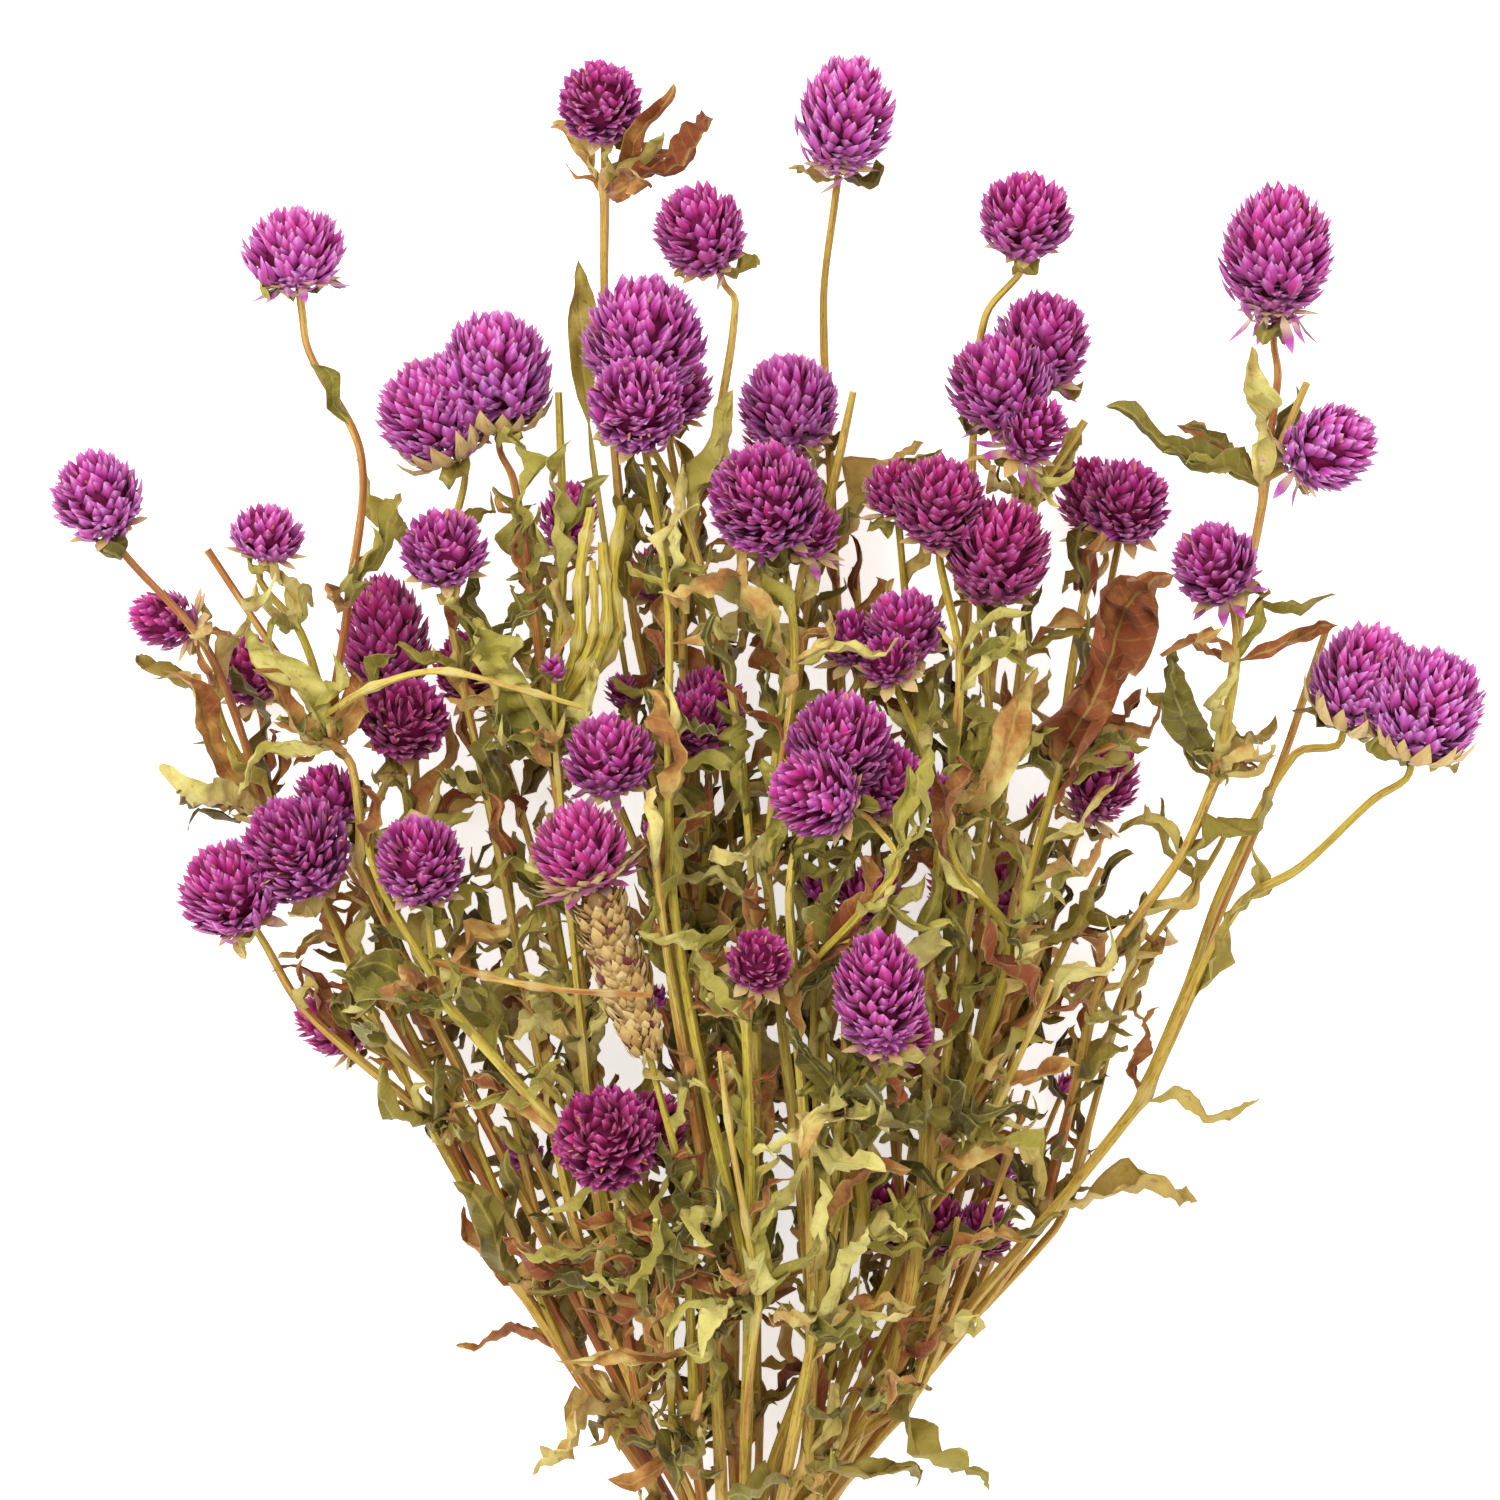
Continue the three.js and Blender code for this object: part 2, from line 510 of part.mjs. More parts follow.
// The nearest points of two straight rods, as shares of their lengths, and the line between them
function nearest(a0, a1, b0, b1) {
  const d1 = minus(a1, a0);
  const d2 = minus(b1, b0);
  const r = minus(a0, b0);
  const a = dot(d1, d1);
  const e = dot(d2, d2);
  const f = dot(d2, r);
  const c = dot(d1, r);
  const b = dot(d1, d2);
  const denom = a * e - b * b;
  const first = denom > 1e-9 ? clamp((b * f - c * e) / denom, 0, 1) : 0.5;
  const t = e > 1e-9 ? clamp((b * first + f) / e, 0, 1) : 0;
  const s = a > 1e-9 ? clamp((b * t - c) / a, 0, 1) : 0;
  const line = minus(plus(a0, d1, s), plus(b0, d2, t));
  return { s, t, line };
}

const sharesHead = (bunch, a, b) => {
  const neckOf = (capsule) => bunch.heads[capsule.head].neck;
  if (a.head >= 0 && b.head >= 0) return a.head === b.head;
  if (a.head >= 0) return b.ends.includes(neckOf(a));
  if (b.head >= 0) return a.ends.includes(neckOf(b));
  return false;
};

// Settling pushes the pieces of different nodes clear of each other and of the surface,
// and draws the heads of one node together until they are pressed into each other.
const ROUNDS = 420;
const LAST_ROUNDS = 200;
const HOMING = 0.004;
const SMOOTHING = 0.3;
const LAST_SMOOTHING = 0.03;
const PRESSED = 0.72;
const MOST_PRESSED = 0.55;
const PAIR_REACH = 9;
const ROUNDS_PER_SEARCH = 8;
const HEAD_FLOOR_GAP = -0.35;
const STALK_FLOOR_GAP = 0.15;

function settle(bunch) {
  bunch.capsules = makeCapsules(bunch);
  let pairs = [];
  for (let round = 0; round < ROUNDS; round += 1) {
    const late = round >= ROUNDS - LAST_ROUNDS;
    if (round % ROUNDS_PER_SEARCH === 0) pairs = closePairs(bunch);
    const push = bunch.points.map(() => [0, 0, 0, 0]);
    pairs.forEach(([a, b]) => separate(bunch, a, b, push));
    bunch.capsules.forEach((capsule) => liftOffSurface(bunch, capsule, push));
    applyPush(bunch, push);
    if (!late) bunch.points.forEach((point) => { point.shift = times(point.shift, 1 - HOMING); });
    smoothShifts(bunch, late ? LAST_SMOOTHING : SMOOTHING);
  }
}

const endOf = (bunch, capsule, k) => plus(placeOf(bunch, capsule.ends[k]), capsule.offsets[k]);

function closePairs(bunch) {
  const spots = bunch.capsules.map((capsule) => {
    const a = endOf(bunch, capsule, 0);
    const b = endOf(bunch, capsule, 1);
    return { middle: times(plus(a, b), 0.5), reach: size(minus(a, b)) / 2 + capsule.radius };
  });
  const pairs = [];
  for (let i = 0; i < bunch.capsules.length; i += 1) {
    for (let j = i + 1; j < bunch.capsules.length; j += 1) {
      const a = bunch.capsules[i];
      const b = bunch.capsules[j];
      const pressed = a.node === b.node && a.head >= 0 && b.head >= 0 && a.head !== b.head;
      if (a.node === b.node && !pressed) continue;
      if (sharesHead(bunch, a, b)) continue;
      const apart = size(minus(spots[i].middle, spots[j].middle));
      if (!pressed && apart > spots[i].reach + spots[j].reach + PAIR_REACH) continue;
      pairs.push([a, b]);
    }
  }
  return pairs;
}

function separate(bunch, a, b, push) {
  const hit = nearest(endOf(bunch, a, 0), endOf(bunch, a, 1), endOf(bunch, b, 0), endOf(bunch, b, 1));
  const apart = size(hit.line);
  const both = a.radius + b.radius;
  const pressed = a.node === b.node;
  let change = 0;
  if (!pressed && apart < both + CLEARANCE) change = both + CLEARANCE - apart;
  if (pressed && apart > both * PRESSED && isNeighbour(bunch, a, b)) change = both * PRESSED - apart;
  if (pressed && apart < both * MOST_PRESSED) change = both * MOST_PRESSED - apart;
  if (change === 0) return;
  const way = apart > 1e-6 ? times(hit.line, 1 / apart) : [0, 0, 1];
  addPush(bunch, push, a, hit.s, times(way, change / 2));
  addPush(bunch, push, b, hit.t, times(way, -change / 2));
}

// Each head of a node is drawn to the nearest of those before it in the plan
function isNeighbour(bunch, a, b) {
  const [first, second] = a.head < b.head ? [a, b] : [b, a];
  const homeOf = (index) => bunch.points[bunch.heads[index].point].home;
  const reach = (index) => size(minus(homeOf(index), homeOf(second.head)));
  const siblings = bunch.heads.map((head, i) => i).filter((i) => bunch.heads[i].node === a.node);
  const earlier = siblings.filter((i) => i < second.head);
  const closest = earlier.reduce((best, i) => (reach(i) < reach(best) ? i : best));
  return closest === first.head;
}

function addPush(bunch, push, capsule, share, move) {
  [1 - share, share].forEach((weight, k) => {
    const carrier = bunch.points[capsule.ends[k]].carrier;
    push[carrier][0] += move[0] * weight;
    push[carrier][1] += move[1] * weight;
    push[carrier][2] += move[2] * weight;
    push[carrier][3] += weight;
  });
}

function liftOffSurface(bunch, capsule, push) {
  const floorGap = capsule.head >= 0 ? HEAD_FLOOR_GAP : STALK_FLOOR_GAP;
  [0, 1].forEach((k) => {
    const low = endOf(bunch, capsule, k)[2] - capsule.radius - floorGap;
    if (low < 0) addPush(bunch, push, capsule, k, [0, 0, -low]);
  });
}

function applyPush(bunch, push) {
  bunch.points.forEach((point, i) => {
    if (point.pinned || point.carrier !== i) return;
    const share = 1 / Math.max(1, push[i][3]);
    point.shift = plus(point.shift, push[i], share);
  });
}

// Each point's shift leans towards its neighbours', so the stalks bend in long curves
function smoothShifts(bunch, amount) {
  const sums = bunch.points.map(() => [0, 0, 0, 0]);
  const share = (from, to) => {
    const shift = bunch.points[from].shift;
    sums[to][0] += shift[0];
    sums[to][1] += shift[1];
    sums[to][2] += shift[2];
    sums[to][3] += 1;
  };
  bunch.points.forEach((point, i) => {
    if (point.before < 0 || point.carrier !== i) return;
    share(point.before, i);
    share(i, point.before);
  });
  bunch.points.forEach((point, i) => {
    if (point.pinned || point.carrier !== i || sums[i][3] === 0) return;
    const mean = times(sums[i], 1 / sums[i][3]);
    point.shift = plus(point.shift, minus(mean, point.shift), amount);
  });
}

// Solids

// Closed skin over rings of equal count, with flat ends, or pointed where a ring is one point.
// A folded skin's two sides are split along the same lines, so that they don't pass through each other.
function skin(rings, folded = false) {
  const positions = rings.flat(2);
  const starts = [];
  let total = 0;
  rings.forEach((ring) => {
    starts.push(total);
    total += ring.length;
  });
  const faces = [];
  for (let k = 1; k < rings.length; k += 1) {
    joinRings(faces, rings[k - 1].length, starts[k - 1], rings[k].length, starts[k], folded);
  }
  capRing(faces, rings[0].length, starts[0], true);
  capRing(faces, rings[rings.length - 1].length, starts[rings.length - 1], false);
  const geometry = new THREE.BufferGeometry();
  geometry.setAttribute("position", new THREE.Float32BufferAttribute(positions, 3));
  geometry.setIndex(faces);
  return geometry;
}

function joinRings(faces, countA, startA, countB, startB, folded = false) {
  const count = Math.max(countA, countB);
  for (let i = 0; i < count; i += 1) {
    const next = (i + 1) % count;
    const a = startA + (countA === 1 ? 0 : i);
    const b = startA + (countA === 1 ? 0 : next);
    const c = startB + (countB === 1 ? 0 : i);
    const d = startB + (countB === 1 ? 0 : next);
    if (countB === 1) {
      faces.push(a, b, c);
    } else if (countA === 1) {
      faces.push(a, d, c);
    } else if (folded && i >= count / 2) {
      faces.push(a, b, c, b, d, c);
    } else {
      faces.push(a, b, d, a, d, c);
    }
  }
}

// The last ring's cap fans out from its second corner, so the two small leaves under a head
// fold across their stalk and the stalk meets the head
function capRing(faces, count, start, first) {
  for (let i = 1; i < count - 1; i += 1) {
    if (first) faces.push(start, start + i + 1, start + i);
    else faces.push(start + 1, start + 1 + i, start + ((2 + i) % count));
  }
}

// A closed geometry as a manifold solid, turned right side out
function solidFrom(geometry) {
  const plain = geometry.clone();
  plain.deleteAttribute("normal");
  plain.deleteAttribute("uv");
  const merged = mergeVertices(plain, 1e-4);
  const vertProperties = new Float32Array(merged.attributes.position.array);
  const triVerts = new Uint32Array(merged.index.array);
  if (signedVolume(vertProperties, triVerts) < 0) flipFaces(triVerts);
  return new wasm.Manifold(new wasm.Mesh({ numProp: 3, vertProperties, triVerts }));
}

function signedVolume(vertices, faces) {
  const at = (i) => [vertices[3 * i], vertices[3 * i + 1], vertices[3 * i + 2]];
  let sum = 0;
  for (let f = 0; f < faces.length; f += 3) {
    sum += dot(at(faces[f]), cross(at(faces[f + 1]), at(faces[f + 2]))) / 6;
  }
  return sum;
}

function flipFaces(faces) {
  for (let f = 0; f < faces.length; f += 3) {
    const second = faces[f + 1];
    faces[f + 1] = faces[f + 2];
    faces[f + 2] = second;
  }
}

const fuse = (solids) => solids.reduce((sum, solid) => sum.add(solid));

// Which way the first corner of a bare stalk points
const SIDE_HINT = [0.31, 0.11, 0.94];

// A stalk with swollen joints: a ring of corners round each of its points.
// Under a head it spreads into the head's two small leaves.
function stalkSolid(bunch, stalk) {
  const places = stalk.points.map((index) => placeOf(bunch, index));
  const sideStart = stalk.spread ? stalk.spread.side : SIDE_HINT;
  const headed = [...places].reverse();
  const sides = carriedSides(headed, sideStart).reverse();
  if (stalk.foot > 1) places[0] = footPlace(places, bunch, stalk);
  const rings = places.map((place, i) => {
    const along = alongAt(places, i);
    const side = unit(across(sides[i], along));
    const other = cross(along, side);
    const radius = i === 0 ? footRadius(bunch, stalk) : bunch.points[stalk.points[i]].radius;
    return ringOf(place, side, other, radius, STALK_CORNERS);
  });
  if (stalk.spread) rings.splice(rings.length - 1, 1, ...spreadRings(places.at(-1), stalk.spread));
  return solidFrom(skin(rings));
}

const footRadius = (bunch, stalk) => {
  const radius = bunch.points[stalk.points[0]].radius;
  return stalk.foot > 1 ? (radius / JOINT_SWELLING) * stalk.foot : radius;
};

const alongAt = (places, i) => {
  const before = places[Math.max(0, i - 1)];
  const after = places[Math.min(places.length - 1, i + 1)];
  return unit(minus(after, before));
};

// One crosswise direction carried along a path with the least turning
function carriedSides(places, start) {
  let side = start;
  return places.map((place, i) => {
    side = unit(across(side, alongAt(places, i)));
    return side;
  });
}

// A branch starts at the side of its joint
function footPlace(places, bunch, stalk) {
  const before = bunch.points[stalk.points[0]].before;
  const stem = unit(minus(places[0], placeOf(bunch, before)));
  const out = across(unit(minus(places[1], places[0])), stem);
  return plus(places[0], unit(out), size(out) > 0.05 ? FOOT_OFFSET : 0);
}

// The two small leaves under a head: a thin diamond across the end of the stalk
function spreadRings(seat, spread) {
  const ring = (drop, grow) => [
    plus(plus(seat, spread.side, spread.length * grow), spread.aim, -drop - spread.dip),
    plus(plus(seat, spread.other, spread.waist * grow), spread.aim, -drop),
    plus(plus(seat, spread.side, -spread.length * grow), spread.aim, -drop - spread.dip),
    plus(plus(seat, spread.other, -spread.waist * grow), spread.aim, -drop),
  ];
  const below = plus(seat, spread.aim, -SPREAD_NECK);
  const neck = ringOf(below, spread.side, spread.other, HEAD_STALK_RADIUS, STALK_CORNERS);
  return [neck, ring(SPREAD_THICKNESS, SPREAD_TAPER), ring(0, 1)];
}

function ringOf(centre, side, other, radius, corners) {
  return Array.from({ length: corners }, (_, k) => {
    const angle = (2 * Math.PI * k) / corners;
    return plus(plus(centre, side, radius * Math.cos(angle)), other, radius * Math.sin(angle));
  });
}

// Bracts as raised points: every face of a rounded body carries a peak that leans to the crown
function bractedSolid(points, crown, centre, relief, lean) {
  const hull = new ConvexGeometry(points.map((point) => new THREE.Vector3(...point)));
  const corner = hull.attributes.position;
  const positions = [];
  for (let f = 0; f < corner.count; f += 3) {
    const face = [0, 1, 2].map((k) => [corner.getX(f + k), corner.getY(f + k), corner.getZ(f + k)]);
    const heights = face.map((point) => dot(point, crown));
    const top = heights.indexOf(Math.max(...heights));
    const weights = [0, 1, 2].map((k) => (k === top ? lean : (1 - lean) / 2));
    let peak = [0, 0, 0];
    face.forEach((point, k) => { peak = plus(peak, point, weights[k]); });
    peak = plus(centre, minus(peak, centre), relief(peak));
    for (let k = 0; k < 3; k += 1) {
      positions.push(...face[k], ...face[(k + 1) % 3], ...peak);
    }
  }
  const geometry = new THREE.BufferGeometry();
  geometry.setAttribute("position", new THREE.Float32BufferAttribute(positions, 3));
  return solidFrom(geometry);
}

// Points spread evenly over a rounded body by the golden angle
const GOLDEN_ANGLE = Math.PI * (3 - Math.sqrt(5));
const HEAD_BASE_SHARE = 0.86;
const HEAD_REACH = 0.985;
const HEAD_LEAN = 0.6;
const LARGE_HEAD = 18;
const LARGE_HEAD_POINTS = 21;
const SMALL_HEAD_POINTS = 15;
const BUD_POINTS = 9;
const BUD_BASE_SHARE = 0.82;
const BUD_BASE_HEIGHT = 0.9;
const BUD_RELIEF = 1.18;
const SPIKE_POINTS = 30;
const SPIKE_RELIEF = 1.02;
const SPIKE_LEAN = 0.5;

function frameOf(aim) {
  const side = unit(across(Math.abs(aim[2]) > 0.9 ? [1, 0, 0] : [0, 0, 1], aim));
  return { side, other: cross(aim, side) };
}

function headSolid(bunch, head) {
  const centre = placeOf(bunch, head.point);
  const { side, other } = frameOf(head.aim);
  const count = head.width > LARGE_HEAD ? LARGE_HEAD_POINTS : SMALL_HEAD_POINTS;
  const points = Array.from({ length: count }, (_, k) => {
    const height = 1 - (2 * (k + 0.5)) / count;
    const ring = Math.sqrt(1 - height * height) * (head.width / 2) * HEAD_BASE_SHARE;
    const angle = GOLDEN_ANGLE * k + head.width;
    const level = plus(centre, head.aim, height * (head.height / 2) * HEAD_BASE_SHARE);
    return plus(plus(level, side, ring * Math.cos(angle)), other, ring * Math.sin(angle));
  });
  const underside = plus(centre, head.aim, -head.height / 2);
  points.push(underside);
  const reach = (point) => {
    const from = minus(point, centre);
    const up = dot(from, head.aim) / (head.height / 2);
    const out = size(across(from, head.aim)) / (head.width / 2);
    return HEAD_REACH / Math.sqrt(up * up + out * out);
  };
  return bractedSolid(points, head.aim, centre, reach, HEAD_LEAN);
}

function budSolid(bunch, item) {
  const centre = placeOf(bunch, item.point);
  const { side, other } = frameOf(item.aim);
  const points = Array.from({ length: BUD_POINTS }, (_, k) => {
    const height = 1 - (2 * (k + 0.5)) / BUD_POINTS;
    const ring = Math.sqrt(1 - height * height) * (item.width / 2) * BUD_BASE_SHARE;
    const angle = GOLDEN_ANGLE * k;
    const level = plus(centre, item.aim, height * (item.width / 2) * BUD_BASE_HEIGHT);
    return plus(plus(level, side, ring * Math.cos(angle)), other, ring * Math.sin(angle));
  });
  return bractedSolid(points, item.aim, centre, () => BUD_RELIEF, HEAD_LEAN);
}

// The bare spike below the old head, where bracts have dropped: papery scales that point down
function spikeSolid(bunch, head) {
  const top = plus(placeOf(bunch, head.point), head.aim, -head.height / 2 - SEAT_GAP);
  const length = head.spikeLength - SEAT_GAP;
  const foot = plus(top, head.aim, -length);
  const { side, other } = frameOf(head.aim);
  const widening = SPIKE_TOP_RADIUS - SPIKE_FOOT_RADIUS;
  const radiusAt = (share) => SPIKE_FOOT_RADIUS + widening * Math.sqrt(share);
  const points = Array.from({ length: SPIKE_POINTS }, (_, k) => {
    const share = (k + 0.5) / SPIKE_POINTS;
    const ring = radiusAt(share) * BUD_BASE_SHARE;
    const level = plus(foot, head.aim, length * share);
    const angle = GOLDEN_ANGLE * k;
    return plus(plus(level, side, ring * Math.cos(angle)), other, ring * Math.sin(angle));
  });
  points.push(foot, top);
  const middle = plus(foot, head.aim, length / 2);
  return bractedSolid(points, times(head.aim, -1), middle, () => SPIKE_RELIEF, SPIKE_LEAN);
}

// Leaves

// A leaf runs along a bent line and is widest below its middle. Its two halves fold up from
// the midrib, and its edges wave. Stations run from 0 at its foot to 1 at its tip.
function leafPlace(leaf, station) {
  const rest = 1 - station;
  const terms = [rest ** 3, 3 * rest * rest * station, 3 * rest * station * station, station ** 3];
  return leaf.bends.reduce((sum, bend, k) => plus(sum, bend, terms[k]), [0, 0, 0]);
}

const LEAF_STEPS = 24;
const LEAF_STATIONS = [0, 3, 9, 16];
const LEAF_WAVES = 2.3;
const LEAF_WAVE_HEIGHT = 0.3;
const LEAF_LOOK_AHEAD = 0.02;
const LEAF_BARE_FOOT = 0.06;
const LEAF_WIDEST_LOW = 0.8;

function leafFrames(leaf) {
  const frames = [];
  let face = leaf.face;
  for (let step = 0; step <= LEAF_STEPS; step += 1) {
    const station = step / LEAF_STEPS;
    const ahead = leafPlace(leaf, Math.min(1, station + LEAF_LOOK_AHEAD));
    const behind = leafPlace(leaf, Math.max(0, station - LEAF_LOOK_AHEAD));
    const along = unit(minus(ahead, behind));
    face = unit(across(face, along));
    const side = cross(along, face);
    const turn = leaf.turn * station;
    const turned = plus(times(face, Math.cos(turn)), side, Math.sin(turn));
    const place = leafPlace(leaf, station);
    frames.push({ place, along, face: turned, side: cross(along, turned), station });
  }
  return frames;
}

const leafHalfWidth = (leaf, station) => {
  const grown = Math.max(0, station * (1 + LEAF_BARE_FOOT) - LEAF_BARE_FOOT);
  const body = Math.sin(Math.PI * grown ** LEAF_WIDEST_LOW);
  return Math.max(LEAF_FOOT_HALF_WIDTH, (leaf.width / 2) * body);
};

function leafEdge(leaf, frame, hand) {
  const half = leafHalfWidth(leaf, frame.station);
  const turns = 2 * Math.PI * LEAF_WAVES * frame.station;
  const wave = LEAF_WAVE_HEIGHT * half * Math.sin(turns + leaf.phase * hand);
  const rise = leaf.fold * half + wave;
  return plus(plus(frame.place, frame.side, half * hand), frame.face, rise);
}

function leafSolid(leaf) {
  const frames = leafFrames(leaf);
  const rings = LEAF_STATIONS.map((step) => {
    const frame = frames[step];
    const thick = (step === 0 ? LEAF_FOOT_THICKNESS : LEAF_THICKNESS) / 2;
    const under = plus(frame.place, frame.face, -thick);
    const over = plus(frame.place, frame.face, thick);
    return [leafEdge(leaf, frame, 1), over, leafEdge(leaf, frame, -1), under];
  });
  rings.push([frames[LEAF_STEPS].place]);
  return solidFrom(skin(rings, true));
}

// Points all over a leaf, to test what it would touch
function leafTouchPoints(leaf) {
  const frames = leafFrames(leaf);
  const points = [];
  for (let step = 4; step <= LEAF_STEPS; step += 2) {
    const frame = frames[step];
    const left = leafEdge(leaf, frame, 1);
    const right = leafEdge(leaf, frame, -1);
    points.push(left, right, frame.place);
    points.push(times(plus(left, frame.place), 0.5), times(plus(right, frame.place), 0.5));
  }
  return points;
}

const LEAF_DROP = 2.6;
const LEAF_GAP = 0.9;
const LEAF_TO_LEAF = 3;
const LEAF_FLOOR_GAP = 0.6;
const LEAF_TIE_GAP = 4;
const PLANNED_ATTEMPTS = 14;
const PLANNED_LIFTS = 7;
const PLANNED_LIFT = 1.6;
const PLANNED_SHRINK = 0.8;
const DRAWN_ATTEMPTS = 10;
const DRAWN_SWING = 0.5;
const DRAWN_SHRINK = 0.04;
const FULL_TURN = 6.28;

function pointsAreClear(bunch, points, plant, placed, ownHead) {
  if (points.some((point) => point[2] < LEAF_FLOOR_GAP)) return false;
  if (points.some((point) => point[1] < PINNED_LENGTH + LEAF_TIE_GAP)) return false;
  const rodHit = bunch.capsules.some((capsule) => {
    if (capsule.node === plant || (capsule.head >= 0 && capsule.node !== "spent_spike")) return false;
    const a = endOf(bunch, capsule, 0);
    const b = endOf(bunch, capsule, 1);
    return points.some((point) => size(nearest(point, point, a, b).line) < capsule.radius + LEAF_GAP);
  });
  if (rodHit) return false;
  const others = bunch.heads.filter((head) => head !== ownHead);
  if (others.some((head) => points.some((point) => insideHead(bunch, head, point)))) return false;
  return !placed.some((other) => {
    if (other.plant === plant) return false;
    return other.points.some((a) => points.some((b) => size(minus(a, b)) < LEAF_TO_LEAF));
  });
}

function insideHead(bunch, head, point) {
  const from = minus(point, placeOf(bunch, head.point));
  const up = dot(from, head.aim) / (head.height / 2 + LEAF_GAP);
  const out = size(across(from, head.aim)) / (head.width / 2 + LEAF_GAP);
  return up * up + out * out < 1;
}

function addLeafIfClear(bunch, leaf, placed) {
  const points = leafTouchPoints(leaf);
  if (!pointsAreClear(bunch, points, leaf.plant, placed, null)) return false;
  placed.push({ ...leaf, points });
  return true;
}

// A leaf grows from the stalk a little below its joint
function leafFoot(bunch, joint) {
  const place = placeOf(bunch, joint);
  const before = placeOf(bunch, bunch.points[joint].before);
  return plus(place, unit(minus(before, place)), LEAF_DROP);
}

// The leaves that the plan names, made smaller or lifted until they fit
function plannedLeaves(bunch, placed) {
  const random = randomSource(41);
  bunch.blades.forEach((item) => {
    const foot = leafFoot(bunch, item.from);
    const drift = bunch.points[item.from].shift;
    const phase = FULL_TURN * random();
    const fold = 0.1 + 0.3 * random();
    for (let attempt = 0; attempt < PLANNED_ATTEMPTS; attempt += 1) {
      const lift = [0, 0, PLANNED_LIFT * (attempt % PLANNED_LIFTS)];
      const shrink = attempt < PLANNED_LIFTS ? 1 : PLANNED_SHRINK;
      const moved = [...item.bends, item.tip].map((at) => plus(plus(at, drift), lift));
      const small = [foot, ...moved].map((at) => plus(foot, minus(at, foot), shrink));
      const leaf = {
        plant: item.plant, bends: small, width: item.width * shrink, face: [0, 0, 1],
        turn: item.turn, fold, phase,
      };
      if (addLeafIfClear(bunch, leaf, placed)) return;
    }
  });
}

// Opposite leaves at every joint, drawn with seeded angles, kept where they clear the rest
function jointLeaves(bunch, placed) {
  bunch.joints.forEach((joint, index) => {
    const random = randomSource(9000 + index);
    const before = bunch.points[joint.point].before;
    const foot = leafFoot(bunch, joint.point);
    const stem = unit(minus(foot, placeOf(bunch, before)));
    const { side, other } = frameOf(stem);
    const start = FULL_TURN * random();
    for (let pair = 0; pair < 2; pair += 1) {
      for (let attempt = 0; attempt < DRAWN_ATTEMPTS; attempt += 1) {
        const angle = start + Math.PI * pair + (random() - 0.5) * DRAWN_SWING * attempt;
        const out = plus(times(side, Math.cos(angle)), other, Math.sin(angle));
        const leaf = drawnLeaf(joint.plant, foot, stem, out, random, 1 - DRAWN_SHRINK * attempt);
        if (addLeafIfClear(bunch, leaf, placed)) break;
      }
    }
  });
}

// A dried leaf bends over or curls up along its length
function drawnLeaf(plant, foot, stem, out, random, scale) {
  const SAG = [0, 0, -0.4];
  const between = (low, high) => low + (high - low) * random();
  const length = between(24, 44) * scale;
  const pitch = between(0.65, 1.15);
  const bend = between(-0.77, 1.43);
  const first = plus(times(stem, Math.cos(pitch)), out, Math.sin(pitch));
  const down = unit(across(plus(out, SAG), first));
  const last = unit(plus(times(first, Math.cos(bend)), down, Math.sin(bend)));
  const second = unit(plus(first, last));
  const bends = [foot, plus(foot, first, length / 3)];
  bends.push(plus(bends[1], second, length / 3));
  bends.push(plus(bends[2], last, length / 3));
  const width = length * between(0.2, 0.32);
  const turn = between(-1, 1);
  const fold = between(0.15, 0.65);
  const phase = FULL_TURN * random();
  return { plant, bends, width, face: unit(across(stem, first)), turn, fold, phase };
}

const SPREAD_ATTEMPTS = 16;
const SPREAD_TURNS = 4;
const SPREAD_SWING = 0.8;
const SPREAD_SHRINK = 0.22;
const SPREAD_SHARE = 0.42;
const SPREAD_SHARE_RANGE = 0.12;

// The direction and length of the two small leaves under each head, where they clear the rest
function spreadUnderHeads(bunch, placed) {
  bunch.heads.forEach((head, index) => {
    const random = randomSource(300 + index);
    const { side, other } = frameOf(head.aim);
    const start = (FULL_TURN / 2) * random();
    const wide = SPREAD_SHARE + SPREAD_SHARE_RANGE * random();
    const stalk = bunch.stalks.find((item) => item.points.includes(head.seat));
    for (let attempt = 0; attempt <= SPREAD_ATTEMPTS; attempt += 1) {
      const angle = start + (attempt % SPREAD_TURNS) * SPREAD_SWING;
      const out = plus(times(side, Math.cos(angle)), other, Math.sin(angle));
      const bare = attempt === SPREAD_ATTEMPTS;
      const shrink = 1 - SPREAD_SHRINK * Math.floor(attempt / SPREAD_TURNS);
      const length = bare ? HEAD_STALK_RADIUS : head.width * wide * shrink;
      const waist = bare ? HEAD_STALK_RADIUS : SPREAD_WAIST;
      const dip = length * SPREAD_DIP;
      const spread = { side: out, other: cross(head.aim, out), aim: head.aim, length, waist, dip };
      if (bare || spreadIsClear(bunch, head, spread, placed)) {
        stalk.spread = spread;
        placed.push({ plant: head.plant, points: spreadTouchPoints(bunch, head, spread), spread: true });
        return;
      }
    }
  });
}

function spreadTouchPoints(bunch, head, spread) {
  const seat = placeOf(bunch, head.seat);
  return [-1, -0.75, -0.5, -0.25, 0.25, 0.5, 0.75, 1].map((share) => {
    const out = plus(seat, spread.side, spread.length * share);
    return plus(out, spread.aim, -SPREAD_THICKNESS / 2 - spread.dip * Math.abs(share));
  });
}

function spreadIsClear(bunch, head, spread, placed) {
  const points = spreadTouchPoints(bunch, head, spread);
  return pointsAreClear(bunch, points, head.plant, placed, head);
}

